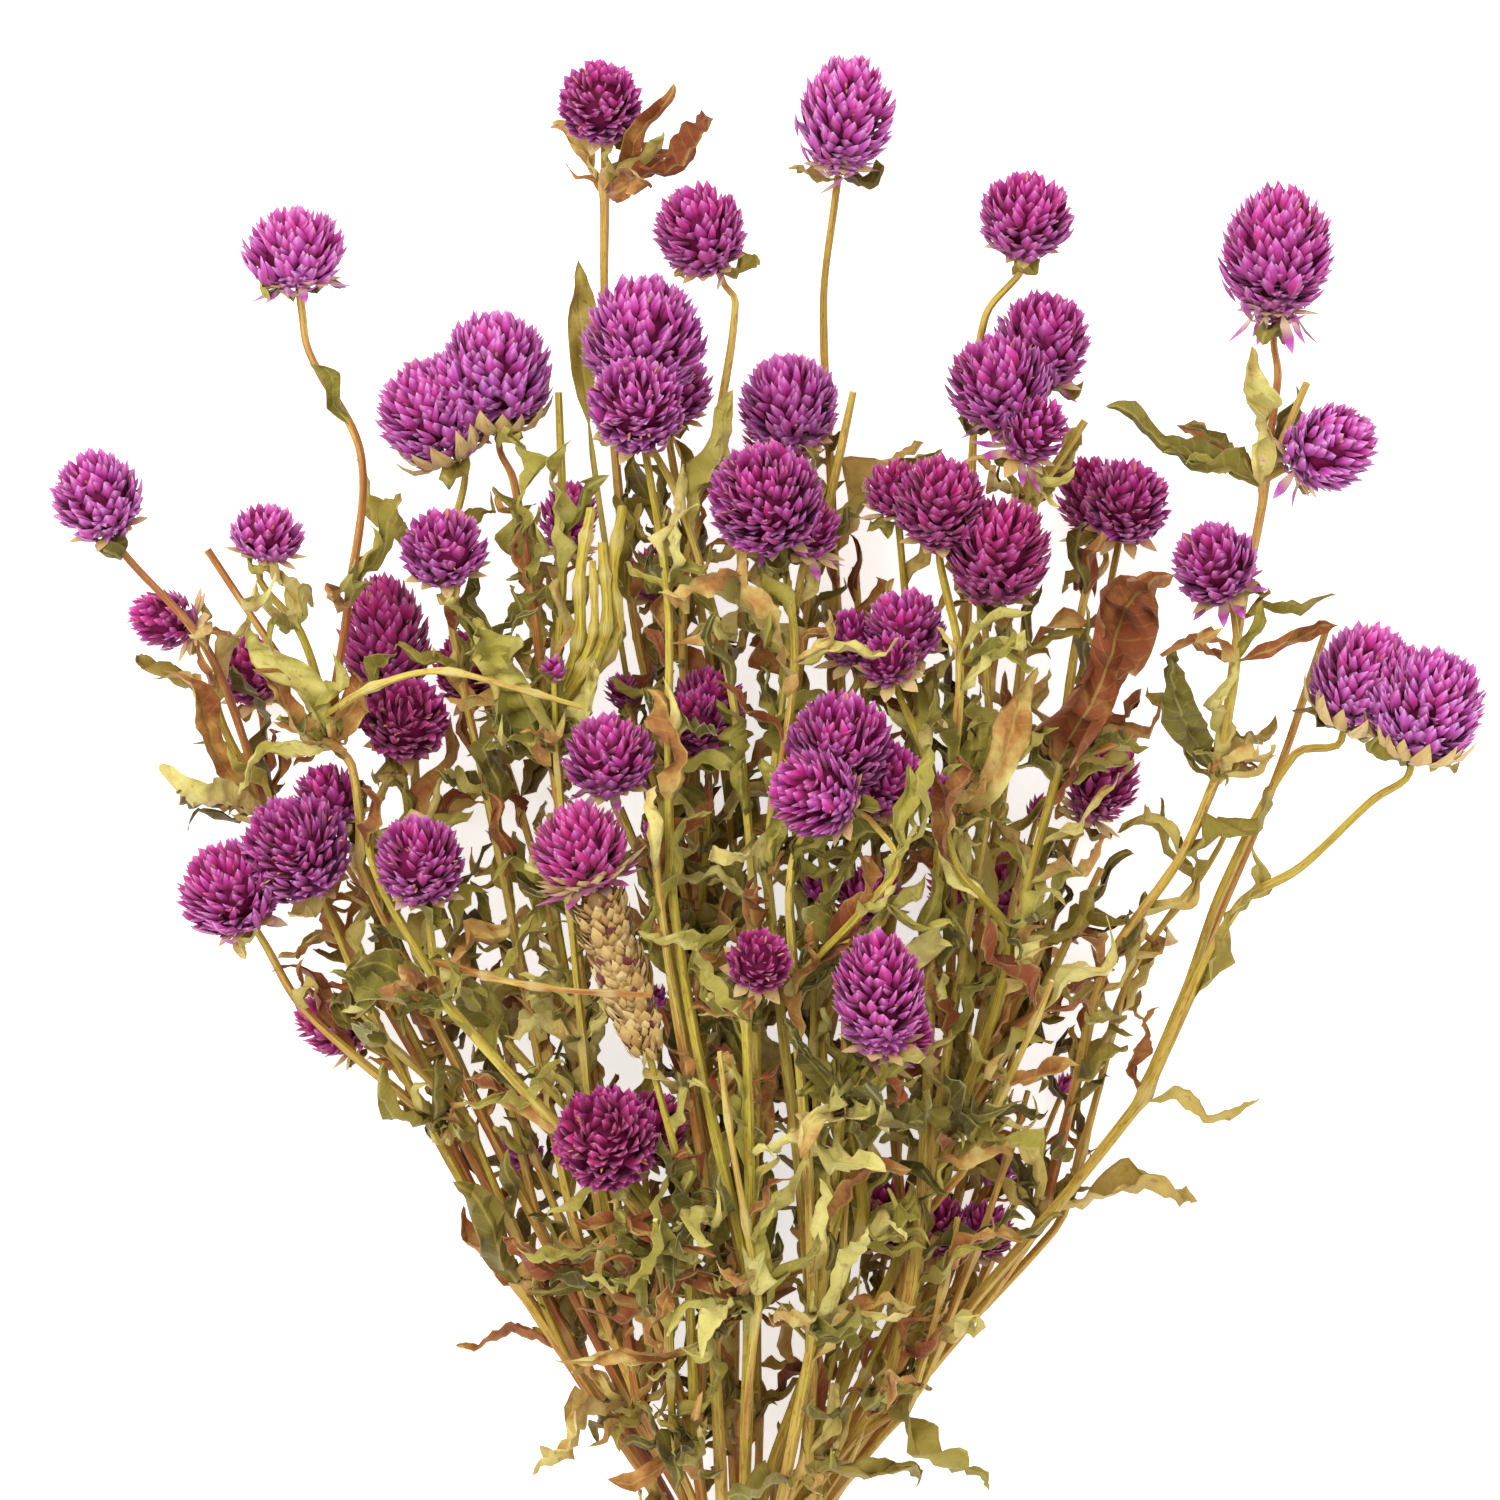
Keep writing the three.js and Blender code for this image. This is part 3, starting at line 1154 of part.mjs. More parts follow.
// The elastic band: one closed ring, with a groove between each two of its turns
function bandSolid() {
  const half = (BAND_TURNS * BAND_TURN_PITCH) / 2;
  const profile = [[-half, 0]];
  for (let turn = 0; turn < BAND_TURNS; turn += 1) {
    const start = -half + turn * BAND_TURN_PITCH;
    const end = start + BAND_TURN_PITCH;
    profile.push([start + (turn === 0 ? 0 : BAND_GROOVE / 2), BAND_THICKNESS]);
    profile.push([end - (turn === BAND_TURNS - 1 ? 0 : BAND_GROOVE / 2), BAND_THICKNESS]);
    if (turn < BAND_TURNS - 1) profile.push([end, BAND_SLEEVE]);
  }
  profile.push([half, 0]);
  const slots = Object.values(tieSlots());
  const inside = STEM_RADIUS + BAND_CLEARANCE;
  const rings = profile.map(([y, thickness]) => bandLoop(slots, y, inside + thickness));
  return solidFrom(loft(rings));
}

// A loop drawn tight round the stems at a distance from their middles
function bandLoop(slots, y, radius) {
  return Array.from({ length: BAND_SIDES }, (_, k) => {
    const angle = (2 * Math.PI * (k + 0.5)) / BAND_SIDES - Math.PI / 2;
    const way = [Math.cos(angle), Math.sin(angle)];
    const reach = (slot) => slot.x * way[0] + slot.z * way[1];
    const outer = slots.reduce((best, slot) => (reach(slot) > reach(best) + 1e-6 ? slot : best));
    const corner = radius / Math.cos(Math.PI / BAND_SIDES);
    return [outer.x + corner * way[0], y, outer.z + corner * way[1]];
  });
}

// A skin over rings that follow each other and close on themselves
function loft(rings) {
  const count = rings[0].length;
  const faces = [];
  rings.forEach((ring, k) => joinRings(faces, count, k * count, count, ((k + 1) % rings.length) * count));
  const geometry = new THREE.BufferGeometry();
  geometry.setAttribute("position", new THREE.Float32BufferAttribute(rings.flat(2), 3));
  geometry.setIndex(faces);
  return geometry;
}

// How far joined skins may be thinned out
const THIN_REACH = 4;
const THIN_DRIFT = 0.08;
const SHORT_EDGE = 0.25;
const TINY_AREA = 1e-3;
const MOST_TURNED = 0.5;

// Everything below the surface is cut off, which leaves small flats where the bunch rests
function cutAtSurface(solid) {
  if (solid.boundingBox().min[2] >= 0) return solid;
  const WIDE = 1200;
  const DEEP = 40;
  const slab = new THREE.BoxGeometry(WIDE, WIDE, DEEP);
  slab.translate(0, 0, -DEEP / 2);
  return solid.subtract(solidFrom(slab));
}

// A joined solid's faces as lists of corner numbers, with the places of the corners
function cornersAndFaces(solid) {
  const mesh = solid.getMesh();
  const count = mesh.vertProperties.length / mesh.numProp;
  const corners = Array.from({ length: count }, (_, i) => {
    const start = i * mesh.numProp;
    return [0, 1, 2].map((k) => mesh.vertProperties[start + k]);
  });
  const twins = Array.from(mesh.mergeFromVert ?? [], (from, k) => [from, mesh.mergeToVert[k]]);
  const rootOf = groupPairs(count, twins);
  const faces = [];
  for (let f = 0; f < mesh.triVerts.length; f += 3) {
    faces.push([0, 1, 2].map((k) => rootOf(mesh.triVerts[f + k])));
  }
  return { corners, faces };
}

// Groups of numbers that are joined by pairs: each number leads to its group's lowest
function groupPairs(count, pairs) {
  const owner = Array.from({ length: count }, (_, i) => i);
  const rootOf = (i) => {
    let root = i;
    while (owner[root] !== root) root = owner[root];
    owner[i] = root;
    return root;
  };
  pairs.forEach(([a, b]) => {
    const [first, second] = [rootOf(a), rootOf(b)].sort((x, y) => x - y);
    owner[second] = first;
  });
  return rootOf;
}

const edgesOf = (face) => [[face[0], face[1]], [face[1], face[2]], [face[2], face[0]]];

// The shell with the most faces: loose scraps are dropped and sealed hollows are filled
function largestShell({ corners, faces }) {
  const rootOf = groupPairs(corners.length, faces.flatMap((face) => edgesOf(face).slice(0, 2)));
  const shells = new Map();
  faces.forEach((face) => {
    const key = rootOf(face[0]);
    if (!shells.has(key)) shells.set(key, []);
    shells.get(key).push(face);
  });
  const ranked = [...shells.values()].sort((a, b) => b.length - a.length);
  return { corners, faces: ranked[0] };
}

// Corners that joining has crowded together close up along their edges, shortest first.
// An edge closes only where the skin stays whole, no face turns over and the skin hardly moves.
function thinOut({ corners, faces }, reach, drift) {
  const around = corners.map(() => new Set());
  faces.forEach((face) => face.forEach((corner) => around[corner].add(face)));
  const alive = new Set(faces);
  let closed = 1;
  while (closed > 0) {
    closed = 0;
    shortEdges(corners, alive, reach).forEach(([a, b]) => {
      const isClosed = closeEdge(corners, around, alive, a, b, drift)
        || closeEdge(corners, around, alive, b, a, drift);
      if (isClosed) closed += 1;
    });
  }
  return { corners, faces: [...alive] };
}

function shortEdges(corners, faces, reach) {
  const list = [];
  faces.forEach((face) => edgesOf(face).forEach(([a, b]) => {
    const length = size(minus(corners[a], corners[b]));
    if (a < b && length < reach) list.push([a, b, length]);
  }));
  return list.sort((x, y) => x[2] - y[2] || x[0] - y[0] || x[1] - y[1]);
}

// Corner b moves to corner a
function closeEdge(corners, around, alive, a, b, drift) {
  const shared = [...around[b]].filter((face) => around[a].has(face));
  if (shared.length !== 2) return false;
  const friends = (corner) => new Set([...around[corner]].flat());
  const nearA = friends(a);
  const common = [...friends(b)].filter((corner) => nearA.has(corner));
  if (common.length !== 4) return false;
  const length = size(minus(corners[a], corners[b]));
  const moving = [...around[b]].filter((face) => !shared.includes(face));
  const allowed = Math.max(drift, Math.min(length, SHORT_EDGE));
  if (!moving.every((face) => staysTurned(corners, face, b, a, allowed))) return false;
  shared.forEach((face) => {
    face.forEach((corner) => around[corner].delete(face));
    alive.delete(face);
  });
  moving.forEach((face) => {
    around[b].delete(face);
    face[face.indexOf(b)] = a;
    around[a].add(face);
  });
  return true;
}

function faceNormal(corners, face) {
  const [a, b, c] = face.map((corner) => corners[corner]);
  return cross(minus(b, a), minus(c, a));
}

function staysTurned(corners, face, from, to, allowed) {
  const before = faceNormal(corners, face);
  const after = faceNormal(corners, face.map((corner) => (corner === from ? to : corner)));
  if (size(after) < TINY_AREA) return false;
  if (size(before) < TINY_AREA) return true;
  if (dot(unit(before), unit(after)) < MOST_TURNED) return false;
  const drop = dot(unit(before), minus(corners[to], corners[from]));
  return Math.abs(drop) < allowed;
}

function tidyShell(solid) {
  const tidy = thinOut(largestShell(cornersAndFaces(solid)), THIN_REACH, THIN_DRIFT);
  return tidy.faces.flatMap((face) => face.flatMap((corner) => tidy.corners[corner]));
}

// A piece that is one skin from the start is kept as it is
function wholeShell(solid) {
  const { corners, faces } = cornersAndFaces(solid);
  return faces.flatMap((face) => face.flatMap((corner) => corners[corner]));
}

function meshNode(name, positions, colour, roughness) {
  const geometry = new THREE.BufferGeometry();
  geometry.setAttribute("position", new THREE.Float32BufferAttribute(positions, 3));
  geometry.computeVertexNormals();
  const look = { color: colour, roughness, metalness: 0, flatShading: true };
  const material = new THREE.MeshStandardMaterial(look);
  const mesh = new THREE.Mesh(geometry, material);
  mesh.name = name;
  return mesh;
}

// The whole bunch
function buildBunch() {
  const bunch = planBunch();
  settle(bunch);
  const leaves = [];
  spreadUnderHeads(bunch, leaves);
  plannedLeaves(bunch, leaves);
  jointLeaves(bunch, leaves);
  const group = new THREE.Group();
  Object.keys(PLANTS).forEach((name) => {
    const own = (item) => item.plant === name && item.spread !== true;
    const solids = bunch.stalks.filter(own).map((stalk) => stalkSolid(bunch, stalk));
    bunch.buds.filter(own).forEach((item) => solids.push(budSolid(bunch, item)));
    leaves.filter(own).forEach((leaf) => solids.push(leafSolid(leaf)));
    group.add(meshNode(name, tidyShell(cutAtSurface(fuse(solids))), STEM_OLIVE, 0.8));
  });
  const nodes = [...new Set(bunch.heads.map((head) => head.node))];
  nodes.forEach((node) => {
    const members = bunch.heads.filter((head) => head.node === node);
    const dark = placeOf(bunch, members[0].point)[2] < SHADED_DEPTH;
    const solid = fuse(members.map((head) => headSolid(bunch, head)));
    group.add(meshNode(node, tidyShell(cutAtSurface(solid)), dark ? DARK_MAGENTA : MAGENTA, 0.75));
  });
  const spentHead = bunch.heads.find((head) => head.spikeLength > 0);
  group.add(meshNode("spent_spike", wholeShell(spikeSolid(bunch, spentHead)), SPIKE_TAN, 0.85));
  group.add(meshNode("elastic_band", wholeShell(bandSolid()), BAND_TAN, 0.6));
  return group;
}

const bunchGroup = buildBunch();
const bounds = new THREE.Box3().setFromObject(bunchGroup);
const middle = bounds.getCenter(new THREE.Vector3());
bunchGroup.position.set(-middle.x, -middle.y, -bounds.min.z);
bunchGroup.updateMatrixWorld(true);

export default bunchGroup;
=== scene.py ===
import math

import bpy
import numpy as np
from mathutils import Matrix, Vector


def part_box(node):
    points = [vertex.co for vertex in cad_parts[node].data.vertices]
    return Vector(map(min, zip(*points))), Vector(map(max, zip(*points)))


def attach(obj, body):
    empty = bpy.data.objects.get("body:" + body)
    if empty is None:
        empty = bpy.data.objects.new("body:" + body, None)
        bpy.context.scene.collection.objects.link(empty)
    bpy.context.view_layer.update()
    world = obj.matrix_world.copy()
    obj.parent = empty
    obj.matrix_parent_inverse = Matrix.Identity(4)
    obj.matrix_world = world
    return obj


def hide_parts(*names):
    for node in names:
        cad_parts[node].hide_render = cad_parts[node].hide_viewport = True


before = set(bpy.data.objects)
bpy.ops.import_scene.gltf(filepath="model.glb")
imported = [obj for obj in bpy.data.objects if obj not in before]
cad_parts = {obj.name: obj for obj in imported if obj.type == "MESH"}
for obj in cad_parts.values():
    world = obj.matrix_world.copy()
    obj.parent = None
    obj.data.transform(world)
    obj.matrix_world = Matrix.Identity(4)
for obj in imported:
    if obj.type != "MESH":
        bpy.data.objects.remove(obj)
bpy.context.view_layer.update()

# Driving sizes of the plan
STEM_RADIUS = 1.5
TIE_PITCH = 3.45
TIE_ROWS = [3, 4, 3, 4, 3]
BAND_CLEARANCE = 0.3
BAND_THICKNESS = 1.5
BAND_TURN_PITCH = 2.6
BAND_TURNS = 3
CUT_END_Y = -74
CUT_END_SPREAD = 1.9
CUT_END_STAGGER = 16
CUT_END_LIFT = 0.4
BELOW_TIE_Y = -26
BELOW_TIE_SPREAD = 1.2
BELOW_TIE_DROP = 0.9
PINNED_LENGTH = 8
BRANCH_RADII = [1.5, 1.3, 1.1, 1.0]
HEAD_STALK_RADIUS = 0.85
JOINT_SWELLING = 1.75
BRANCH_FOOT_SWELLING = 1.3
JOINT_LENGTH = 5
PATH_STEP = 32
LEAVES_ALONG = 0.55
LEAVES_TOWARDS = 0.6
NECK_LENGTH = 5
SEAT_GAP = 0.3
CLEARANCE = 0.8
FOOT_OFFSET = 1.1
SPREAD_THICKNESS = 0.7
SPREAD_DIP = 0.15
SPIKE_TOP_RADIUS = 6.6
SPIKE_FOOT_RADIUS = 2.6
SPIKE_FOOT_ROUNDING = 4


# The plan of the bunch. A place is [x, y, z], a head's size is [width, height],
# and its aim runs from its stalk to its crown. A path runs through its via points.
def fork(at, branches, via=()):
    return {"kind": "fork", "at": at, "branches": branches, "via": via}


def bloom(node, at, size, aim, via=()):
    return {"kind": "bloom", "node": node, "at": at, "size": size, "aim": aim, "via": via}


def spent(node, at, size, foot, via=()):
    return {"kind": "spent", "node": node, "at": at, "size": size, "foot": foot, "via": via}


def bud(at, width, via=()):
    return {"kind": "bud", "at": at, "width": width, "via": via}


def twig(at, via=()):
    return {"kind": "twig", "at": at, "via": via}


def blade(tip, width, bends, turn=0, tone=None):
    return {"kind": "blade", "tip": tip, "width": width, "bends": bends, "turn": turn, "tone": tone}


PLANTS = {
    "stem_left_low": fork([-49, 86, 20], [
      fork([-65, 119, 24], [
        bloom("blooms_left_trio", [-115, 172, 40], [24, 21], [-0.45, 0.75, 0.5], [[-97, 145, 28]]),
        bloom("bloom_left_shy", [-91, 143, 6], [15, 18], [-0.8, 0.5, 0.2]),
      ]),
      bloom("blooms_left_trio", [-96, 181, 48], [25, 24], [-0.3, 0.6, 0.75], [[-81, 147, 34]]),
      blade([-5, 87, 30], 7, [[-38, 84, 27], [-20, 88, 31]], 0.3),
    ]),
    "stem_left_far": fork([-40, 74, 11], [
      fork([-106, 191, 24], [
        bloom("bloom_far_left", [-143, 260, 40], [21, 21], [-0.35, 0.8, 0.5], [[-119, 226, 32]]),
        bloom("bloom_left_side", [-129, 233, 24], [14, 17], [-0.9, 0.25, 0.35], [[-117, 213, 24]]),
        bloom("bloom_left_back", [-111, 222, 1], [16, 17.5], [-0.2, 0.8, 0.5]),
        blade([-129, 226, 34], 8, [[-114, 200, 30], [-122, 214, 36]], 0.4),
      ], [[-72, 132, 18]]),
      bud([-81, 155, 26], 9, [[-63, 119, 18]]),
    ]),
    "stem_left_high": fork([-29, 62, 18], [
      fork([-96, 187, 36], [
        fork([-99, 210, 44], [
          bloom("bloom_lone_left", [-104, 317, 52], [24, 18.5], [-0.1, 0.95, 0.3],
            [[-94, 238, 52], [-90, 271, 53], [-101, 294, 52]]),
          bloom("bloom_left_flat", [-112, 255, 47], [17, 13], [0.15, 0.9, 0.4], [[-105, 233, 47]]),
          twig([-125, 251, 52], [[-112, 231, 49]]),
          blade([-118, 238, 56], 11, [[-106, 220, 52], [-113, 230, 58]], 0.2),
          blade([-90, 226, 54], 10, [[-97, 217, 52], [-93, 223, 57]], -0.3),
        ]),
        bloom("blooms_left_trio", [-101, 199, 34], [16.5, 16], [-0.3, 0.8, 0.4]),
        blade([-112, 198, 44], 7, [[-101, 189, 42], [-108, 192, 46]], 0.5),
      ]),
    ]),
    "stem_left_front": fork([-7, 77, 44], [
      fork([-66, 149, 56], [
        bloom("bloom_left_front", [-70, 178, 62], [20.5, 21], [-0.1, 0.7, 0.7]),
        bloom("blooms_left_dark", [-73, 207, 44], [20, 19.5], [0.1, 0.45, 0.85], [[-81, 179, 50]]),
        blade([-92, 152, 62], 9, [[-74, 148, 61], [-84, 151, 66]], 0.3),
      ]),
      bloom("blooms_left_dark", [-83, 231, 34], [21, 32], [-0.12, 0.95, 0.25],
        [[-60, 147, 42], [-76, 187, 34]]),
      blade([-41, 74, 52], 6, [[-18, 72, 52], [-33, 66, 56]], -0.4),
    ]),
    "stem_left_double": fork([-22, 60, 26], [
      fork([-43, 205, 54], [
        bloom("blooms_double_left", [-55, 288, 46], [26, 28], [-0.05, 0.9, 0.4],
          [[-47, 240, 54], [-51, 264, 44]]),
        bloom("bloom_left_fan", [-66, 249, 62], [20, 16.5], [-0.05, 0.7, 0.6], [[-54, 227, 60]]),
        bloom("bloom_half_hidden", [-39, 256, 24], [14, 18], [0.1, 0.9, 0.3], [[-42, 228, 36]]),
        twig([-41, 283, 50], [[-40, 246, 54]]),
        blade([-58, 236, 66], 19, [[-50, 213, 64], [-56, 224, 69]], 0.1, 0.5),
        blade([-28, 232, 60], 10, [[-38, 214, 60], [-30, 223, 64]], -0.2),
      ]),
      bloom("blooms_double_left", [-66, 280, 42], [25, 25], [-0.4, 0.8, 0.4],
        [[-53, 194, 36], [-63, 246, 36]]),
      bloom("bloom_leaf_shaded", [-60, 223, 10], [19, 18.5], [-0.2, 0.6, 0.7], [[-44, 172, 22]]),
    ]),
    "stem_spent_spike": fork([-12, 53, 30], [
      fork([-10, 102, 52], [
        bud([-22, 187, 72], 5.5, [[-18, 154, 66]]),
        bloom("bloom_centre_left", [-32, 202, 68], [21, 18], [-0.1, 0.75, 0.6], [[-22, 172, 62]]),
      ]),
      fork([-22, 90, 46], [
        bloom("blooms_low_pair", [-28, 121, 66], [24, 24], [-0.1, 0.35, 0.9]),
        bloom("blooms_low_pair", [-12, 125, 50], [17, 18], [0.3, 0.7, 0.5]),
        bud([-47, 117, 20], 10.5, [[-32, 103, 32]]),
      ]),
      spent("bloom_on_spike", [-43, 184, 74], [22, 20], [-29, 141, 64], [[-19, 106, 56]]),
    ]),
    "stem_front_middle": fork([0, 85, 52], [
      bloom("blooms_upper_trio", [-27, 274, 64], [22, 23], [-0.1, 0.5, 0.8],
        [[-10, 123, 60], [-19, 172, 68], [-20, 233, 66]]),
      fork([-1, 147, 66], [
        bloom("bloom_small_front", [2, 158, 74], [15, 15], [0.15, 0.45, 0.85]),
        blade([12, 172, 74], 8, [[4, 154, 74], [13, 162, 79]], 0.3),
      ]),
      bloom("blooms_upper_trio", [-24, 298, 48], [28, 30], [0.05, 0.85, 0.45],
        [[1, 172, 54], [-6, 227, 54], [-16, 262, 46]]),
      bud([-21, 150, 40], 6, [[-9, 117, 42]]),
      blade([-24, 74, 60], 7, [[-8, 90, 60], [-24, 90, 66]], 0.2),
    ]),
    "stem_back_tall": fork([-2, 52, 14], [
      fork([-9, 165, 26], [
        fork([-30, 330, 32], [
          bloom("bloom_top_left", [-31, 348, 36], [19.5, 18.5], [-0.05, 0.5, 0.85]),
          blade([-17, 355, 40], 7, [[-25, 334, 40], [-17, 342, 44]], 0.5, 0.95),
          blade([-19, 325, 38], 9, [[-25, 331, 38], [-20, 331, 42]], -0.4, 0.9),
        ], [[-24, 238, 24], [-30, 304, 26]]),
        bloom("bloom_top_middle", [-9, 320, 42], [21, 22], [-0.35, 0.75, 0.55],
          [[-12, 244, 34], [-4, 282, 38], [-1, 304, 38]]),
        bloom("blooms_mid_pair", [-10, 210, 54], [14, 17], [-0.2, 0.7, 0.6], [[-7, 187, 42]]),
        bloom("blooms_mid_pair", [-6, 218, 40], [17, 15], [0.2, 0.8, 0.4]),
        bud([-26, 219, 34], 8.5),
      ]),
      bloom("bloom_deep_left", [-19, 244, 14], [14, 13], [0, 0.8, 0.5], [[-11, 128, 12], [-16, 194, 12]]),
      bloom("blooms_upper_trio", [-13, 283, 34], [17, 18], [0.1, 0.85, 0.4], [[1, 150, 20], [-5, 216, 24]]),
      blade([-38, 316, 40], 8, [[-30, 282, 34], [-38, 296, 40]], 0.2, 0.5),
    ]),
    "stem_centre_tall": fork([13, 46, 33], [
      fork([4, 179, 56], [
        bloom("blooms_centre_pair", [3, 262, 68], [26, 26], [-0.2, 0.6, 0.75], [[10, 224, 66]]),
        bloom("blooms_centre_pair", [16, 250, 52], [13, 14], [0.2, 0.8, 0.4]),
        blade([1, 214, 68], 10, [[8, 190, 64], [9, 204, 70]], 0.2),
      ]),
      fork([18, 258, 34], [
        bloom("blooms_top_pair", [11, 290, 32], [23, 23], [-0.2, 0.8, 0.5]),
        bloom("blooms_top_pair", [10, 276, 2.5], [19, 17], [-0.3, 0.8, 0.2]),
        twig([25, 288, 40]),
      ], [[15, 150, 34], [11, 211, 30]]),
      bloom("bloom_top_tall", [18, 345, 30], [22, 28], [0.12, 0.93, 0.3],
        [[23, 117, 26], [20, 194, 22], [15, 264, 18], [13, 304, 22]]),
    ]),
    "stem_centre_front": fork([16, 77, 44], [
      fork([13, 147, 58], [
        bloom("blooms_centre_trio", [16, 186, 81], [20, 21], [-0.75, 0.35, 0.5],
          [[28, 163, 74], [35, 172, 79]]),
        bloom("blooms_centre_trio", [23, 203, 68], [24, 24], [0.05, 0.6, 0.75], [[13, 176, 62]]),
        bloom("blooms_centre_trio", [34, 192, 56], [18, 18], [0.3, 0.6, 0.5]),
      ]),
      bloom("blooms_right_trio", [24, 262, 48], [15, 14], [-0.1, 0.9, 0.3], [[28, 150, 40], [31, 211, 32]]),
      bloom("blooms_small_trio", [16, 227, 44], [13, 14], [-0.1, 0.8, 0.5], [[23, 150, 44], [11, 202, 46]]),
    ]),
    "stem_right_front": fork([25, 99, 42], [
      fork([23, 127, 56], [
        bloom("blooms_front_pair", [29, 156, 76], [21, 31], [-0.05, 0.85, 0.5]),
        bloom("blooms_front_pair", [35, 136, 60], [14, 18], [0.6, 0.6, 0.4]),
        blade([44, 131, 72], 10, [[28, 122, 68], [40, 121, 76]], 0.2),
        blade([10, 150, 66], 8, [[17, 128, 66], [10, 140, 70]], -0.2),
      ]),
      bloom("bloom_behind_front", [24, 172, 48], [16, 13], [-0.1, 0.8, 0.5], [[15, 141, 44]]),
    ]),
    "stem_centre_right": fork([30, 60, 25], [
      fork([40, 184, 46], [
        bloom("blooms_right_trio", [37, 254, 59], [21, 22], [0, 0.75, 0.6], [[40, 218, 60]]),
        bloom("blooms_small_trio", [33, 229, 50], [19, 17], [-0.15, 0.8, 0.5]),
        bloom("blooms_small_trio", [26, 219, 60], [13, 12], [-0.2, 0.6, 0.7], [[34, 200, 56]]),
        blade([60, 221, 56], 10, [[47, 194, 56], [58, 206, 62]], 0.2),
      ]),
      bloom("blooms_right_trio", [53, 244, 46], [24, 25], [0.15, 0.8, 0.5], [[44, 139, 36], [52, 196, 38]]),
      twig([24, 245, 20], [[30, 150, 22]]),
    ]),
    "stem_right_leafy": fork([49, 121, 36], [
      fork([73, 202, 44], [
        bloom("blooms_right_pair", [92, 261, 28], [20, 19], [0.1, 0.6, 0.7], [[81, 218, 42]]),
        bloom("blooms_right_pair", [79, 260, 2], [17, 20], [-0.2, 0.9, 0.25], [[78, 238, 22]]),
        twig([86, 206, 54]),
        blade([97, 244, 58], 24, [[78, 216, 52], [88, 240, 62]], 0.1, 0.97),
        blade([58, 220, 56], 11, [[68, 208, 54], [60, 212, 60]], -0.2),
      ]),
      bud([44, 196, 66], 8, [[60, 162, 52], [48, 179, 64]]),
      bloom("bloom_right_shaded", [82, 197, 6], [16, 21], [0.4, 0.8, 0.3], [[68, 161, 24]]),
      twig([81, 178, 24], [[66, 147, 28]]),
      blade([36, 122, 44], 10, [[46, 126, 46], [38, 128, 50]], 0.4),
    ]),
    "stem_right_high": fork([35, 81, 17], [
      fork([66, 256, 44], [
        bloom("blooms_upper_right", [56, 281, 52], [23.5, 21], [-0.2, 0.8, 0.5]),
        bloom("blooms_upper_right", [70, 293, 38], [22.5, 23], [0.1, 0.8, 0.5]),
        bloom("blooms_upper_right", [69, 268, 56], [15, 17], [0.4, 0.6, 0.6]),
        twig([78, 273, 44]),
        blade([54, 300, 44], 7, [[58, 264, 52], [52, 284, 56]], 0.1),
      ], [[53, 169, 30], [63, 224, 40]]),
      bloom("bloom_upper_right", [68, 319, 48], [22, 19], [0.05, 0.8, 0.6],
        [[46, 172, 20], [53, 246, 26], [59, 297, 40]]),
    ]),
    "stem_far_right": fork([64, 106, 20], [
      fork([106, 202, 38], [
        fork([118, 264, 44], [
          bloom("bloom_big_right", [121, 314, 40], [26, 31], [0.03, 0.95, 0.25], [[121, 286, 42]]),
          bloom("bloom_right_side", [132, 271, 48], [20, 22], [0.85, 0.4, 0.35]),
          twig([128, 285, 38]),
          blade([112, 294, 58], 11, [[113, 274, 54], [119, 284, 60]], 0.1, 0.68),
        ], [[111, 233, 42]]),
        bloom("bloom_right_fan", [104, 246, 56], [20, 18], [-0.3, 0.7, 0.6], [[109, 224, 54]]),
        blade([100, 228, 60], 11, [[96, 208, 54], [92, 222, 62]], 0.4),
      ], [[79, 158, 30], [96, 182, 35]]),
    ]),
    "stem_outer_right": fork([89, 129, 26], [
      bloom("blooms_double_right", [151, 215, 46], [25, 27], [0.25, 0.85, 0.4],
        [[109, 170, 32], [123, 179, 34], [139, 194, 38]]),
      bloom("blooms_double_right", [137, 221, 38], [24, 26], [0.3, 0.8, 0.45],
        [[106, 174, 26], [122, 204, 30]]),
      twig([129, 231, 22], [[101, 158, 20], [118, 198, 16]]),
    ]),
    "stem_right_low": fork([36, 77, 13], [
      fork([53, 143, 18], [
        bloom("blooms_deep_pair", [58, 175, 9], [17, 17], [0.2, 0.9, 0.3]),
        bloom("blooms_deep_pair", [44, 174, 8], [15, 16], [-0.3, 0.9, 0.2]),
        blade([70, 156, 14], 9, [[58, 142, 20], [66, 147, 20]], 0.2),
      ]),
      bloom("blooms_low_trio", [42, 99, 26], [13.5, 15], [0, 0.7, 0.7]),
      bloom("blooms_low_trio", [53, 98, 20], [14.5, 14], [0.3, 0.8, 0.4]),
      bloom("blooms_low_trio", [28, 101, 16], [17, 19], [-0.3, 0.8, 0.4]),
      bud([54, 112, 12], 10),
      bud([28, 70, 7], 9),
    ]),
}


# Small vector sums on arrays of [x, y, z]
def size(a):
    return np.linalg.norm(a, axis=-1)


def unit(a):
    a = np.asarray(a, float)
    length = np.linalg.norm(a, axis=-1, keepdims=True)
    return a / np.where(length == 0, 1, length)


def dots(a, b):
    return np.sum(np.asarray(a) * np.asarray(b), axis=-1)


def across(v, axis):
    return np.asarray(v, float) - np.asarray(axis) * dots(v, axis)[..., None]


def frame_of(aim):
    hint = [1, 0, 0] if abs(aim[2]) > 0.9 else [0, 0, 1]
    side = unit(across(hint, aim))
    return side, np.cross(aim, side)


# The direction at one angle round an axis, and those at many angles
def around(side, other, angle):
    return side * math.cos(angle) + other * math.sin(angle)


def all_around(side, other, angles):
    return np.cos(angles)[:, None] * side + np.sin(angles)[:, None] * other


def distances_along(line):
    return np.concatenate([[0], np.cumsum(size(np.diff(line, axis=0)))])


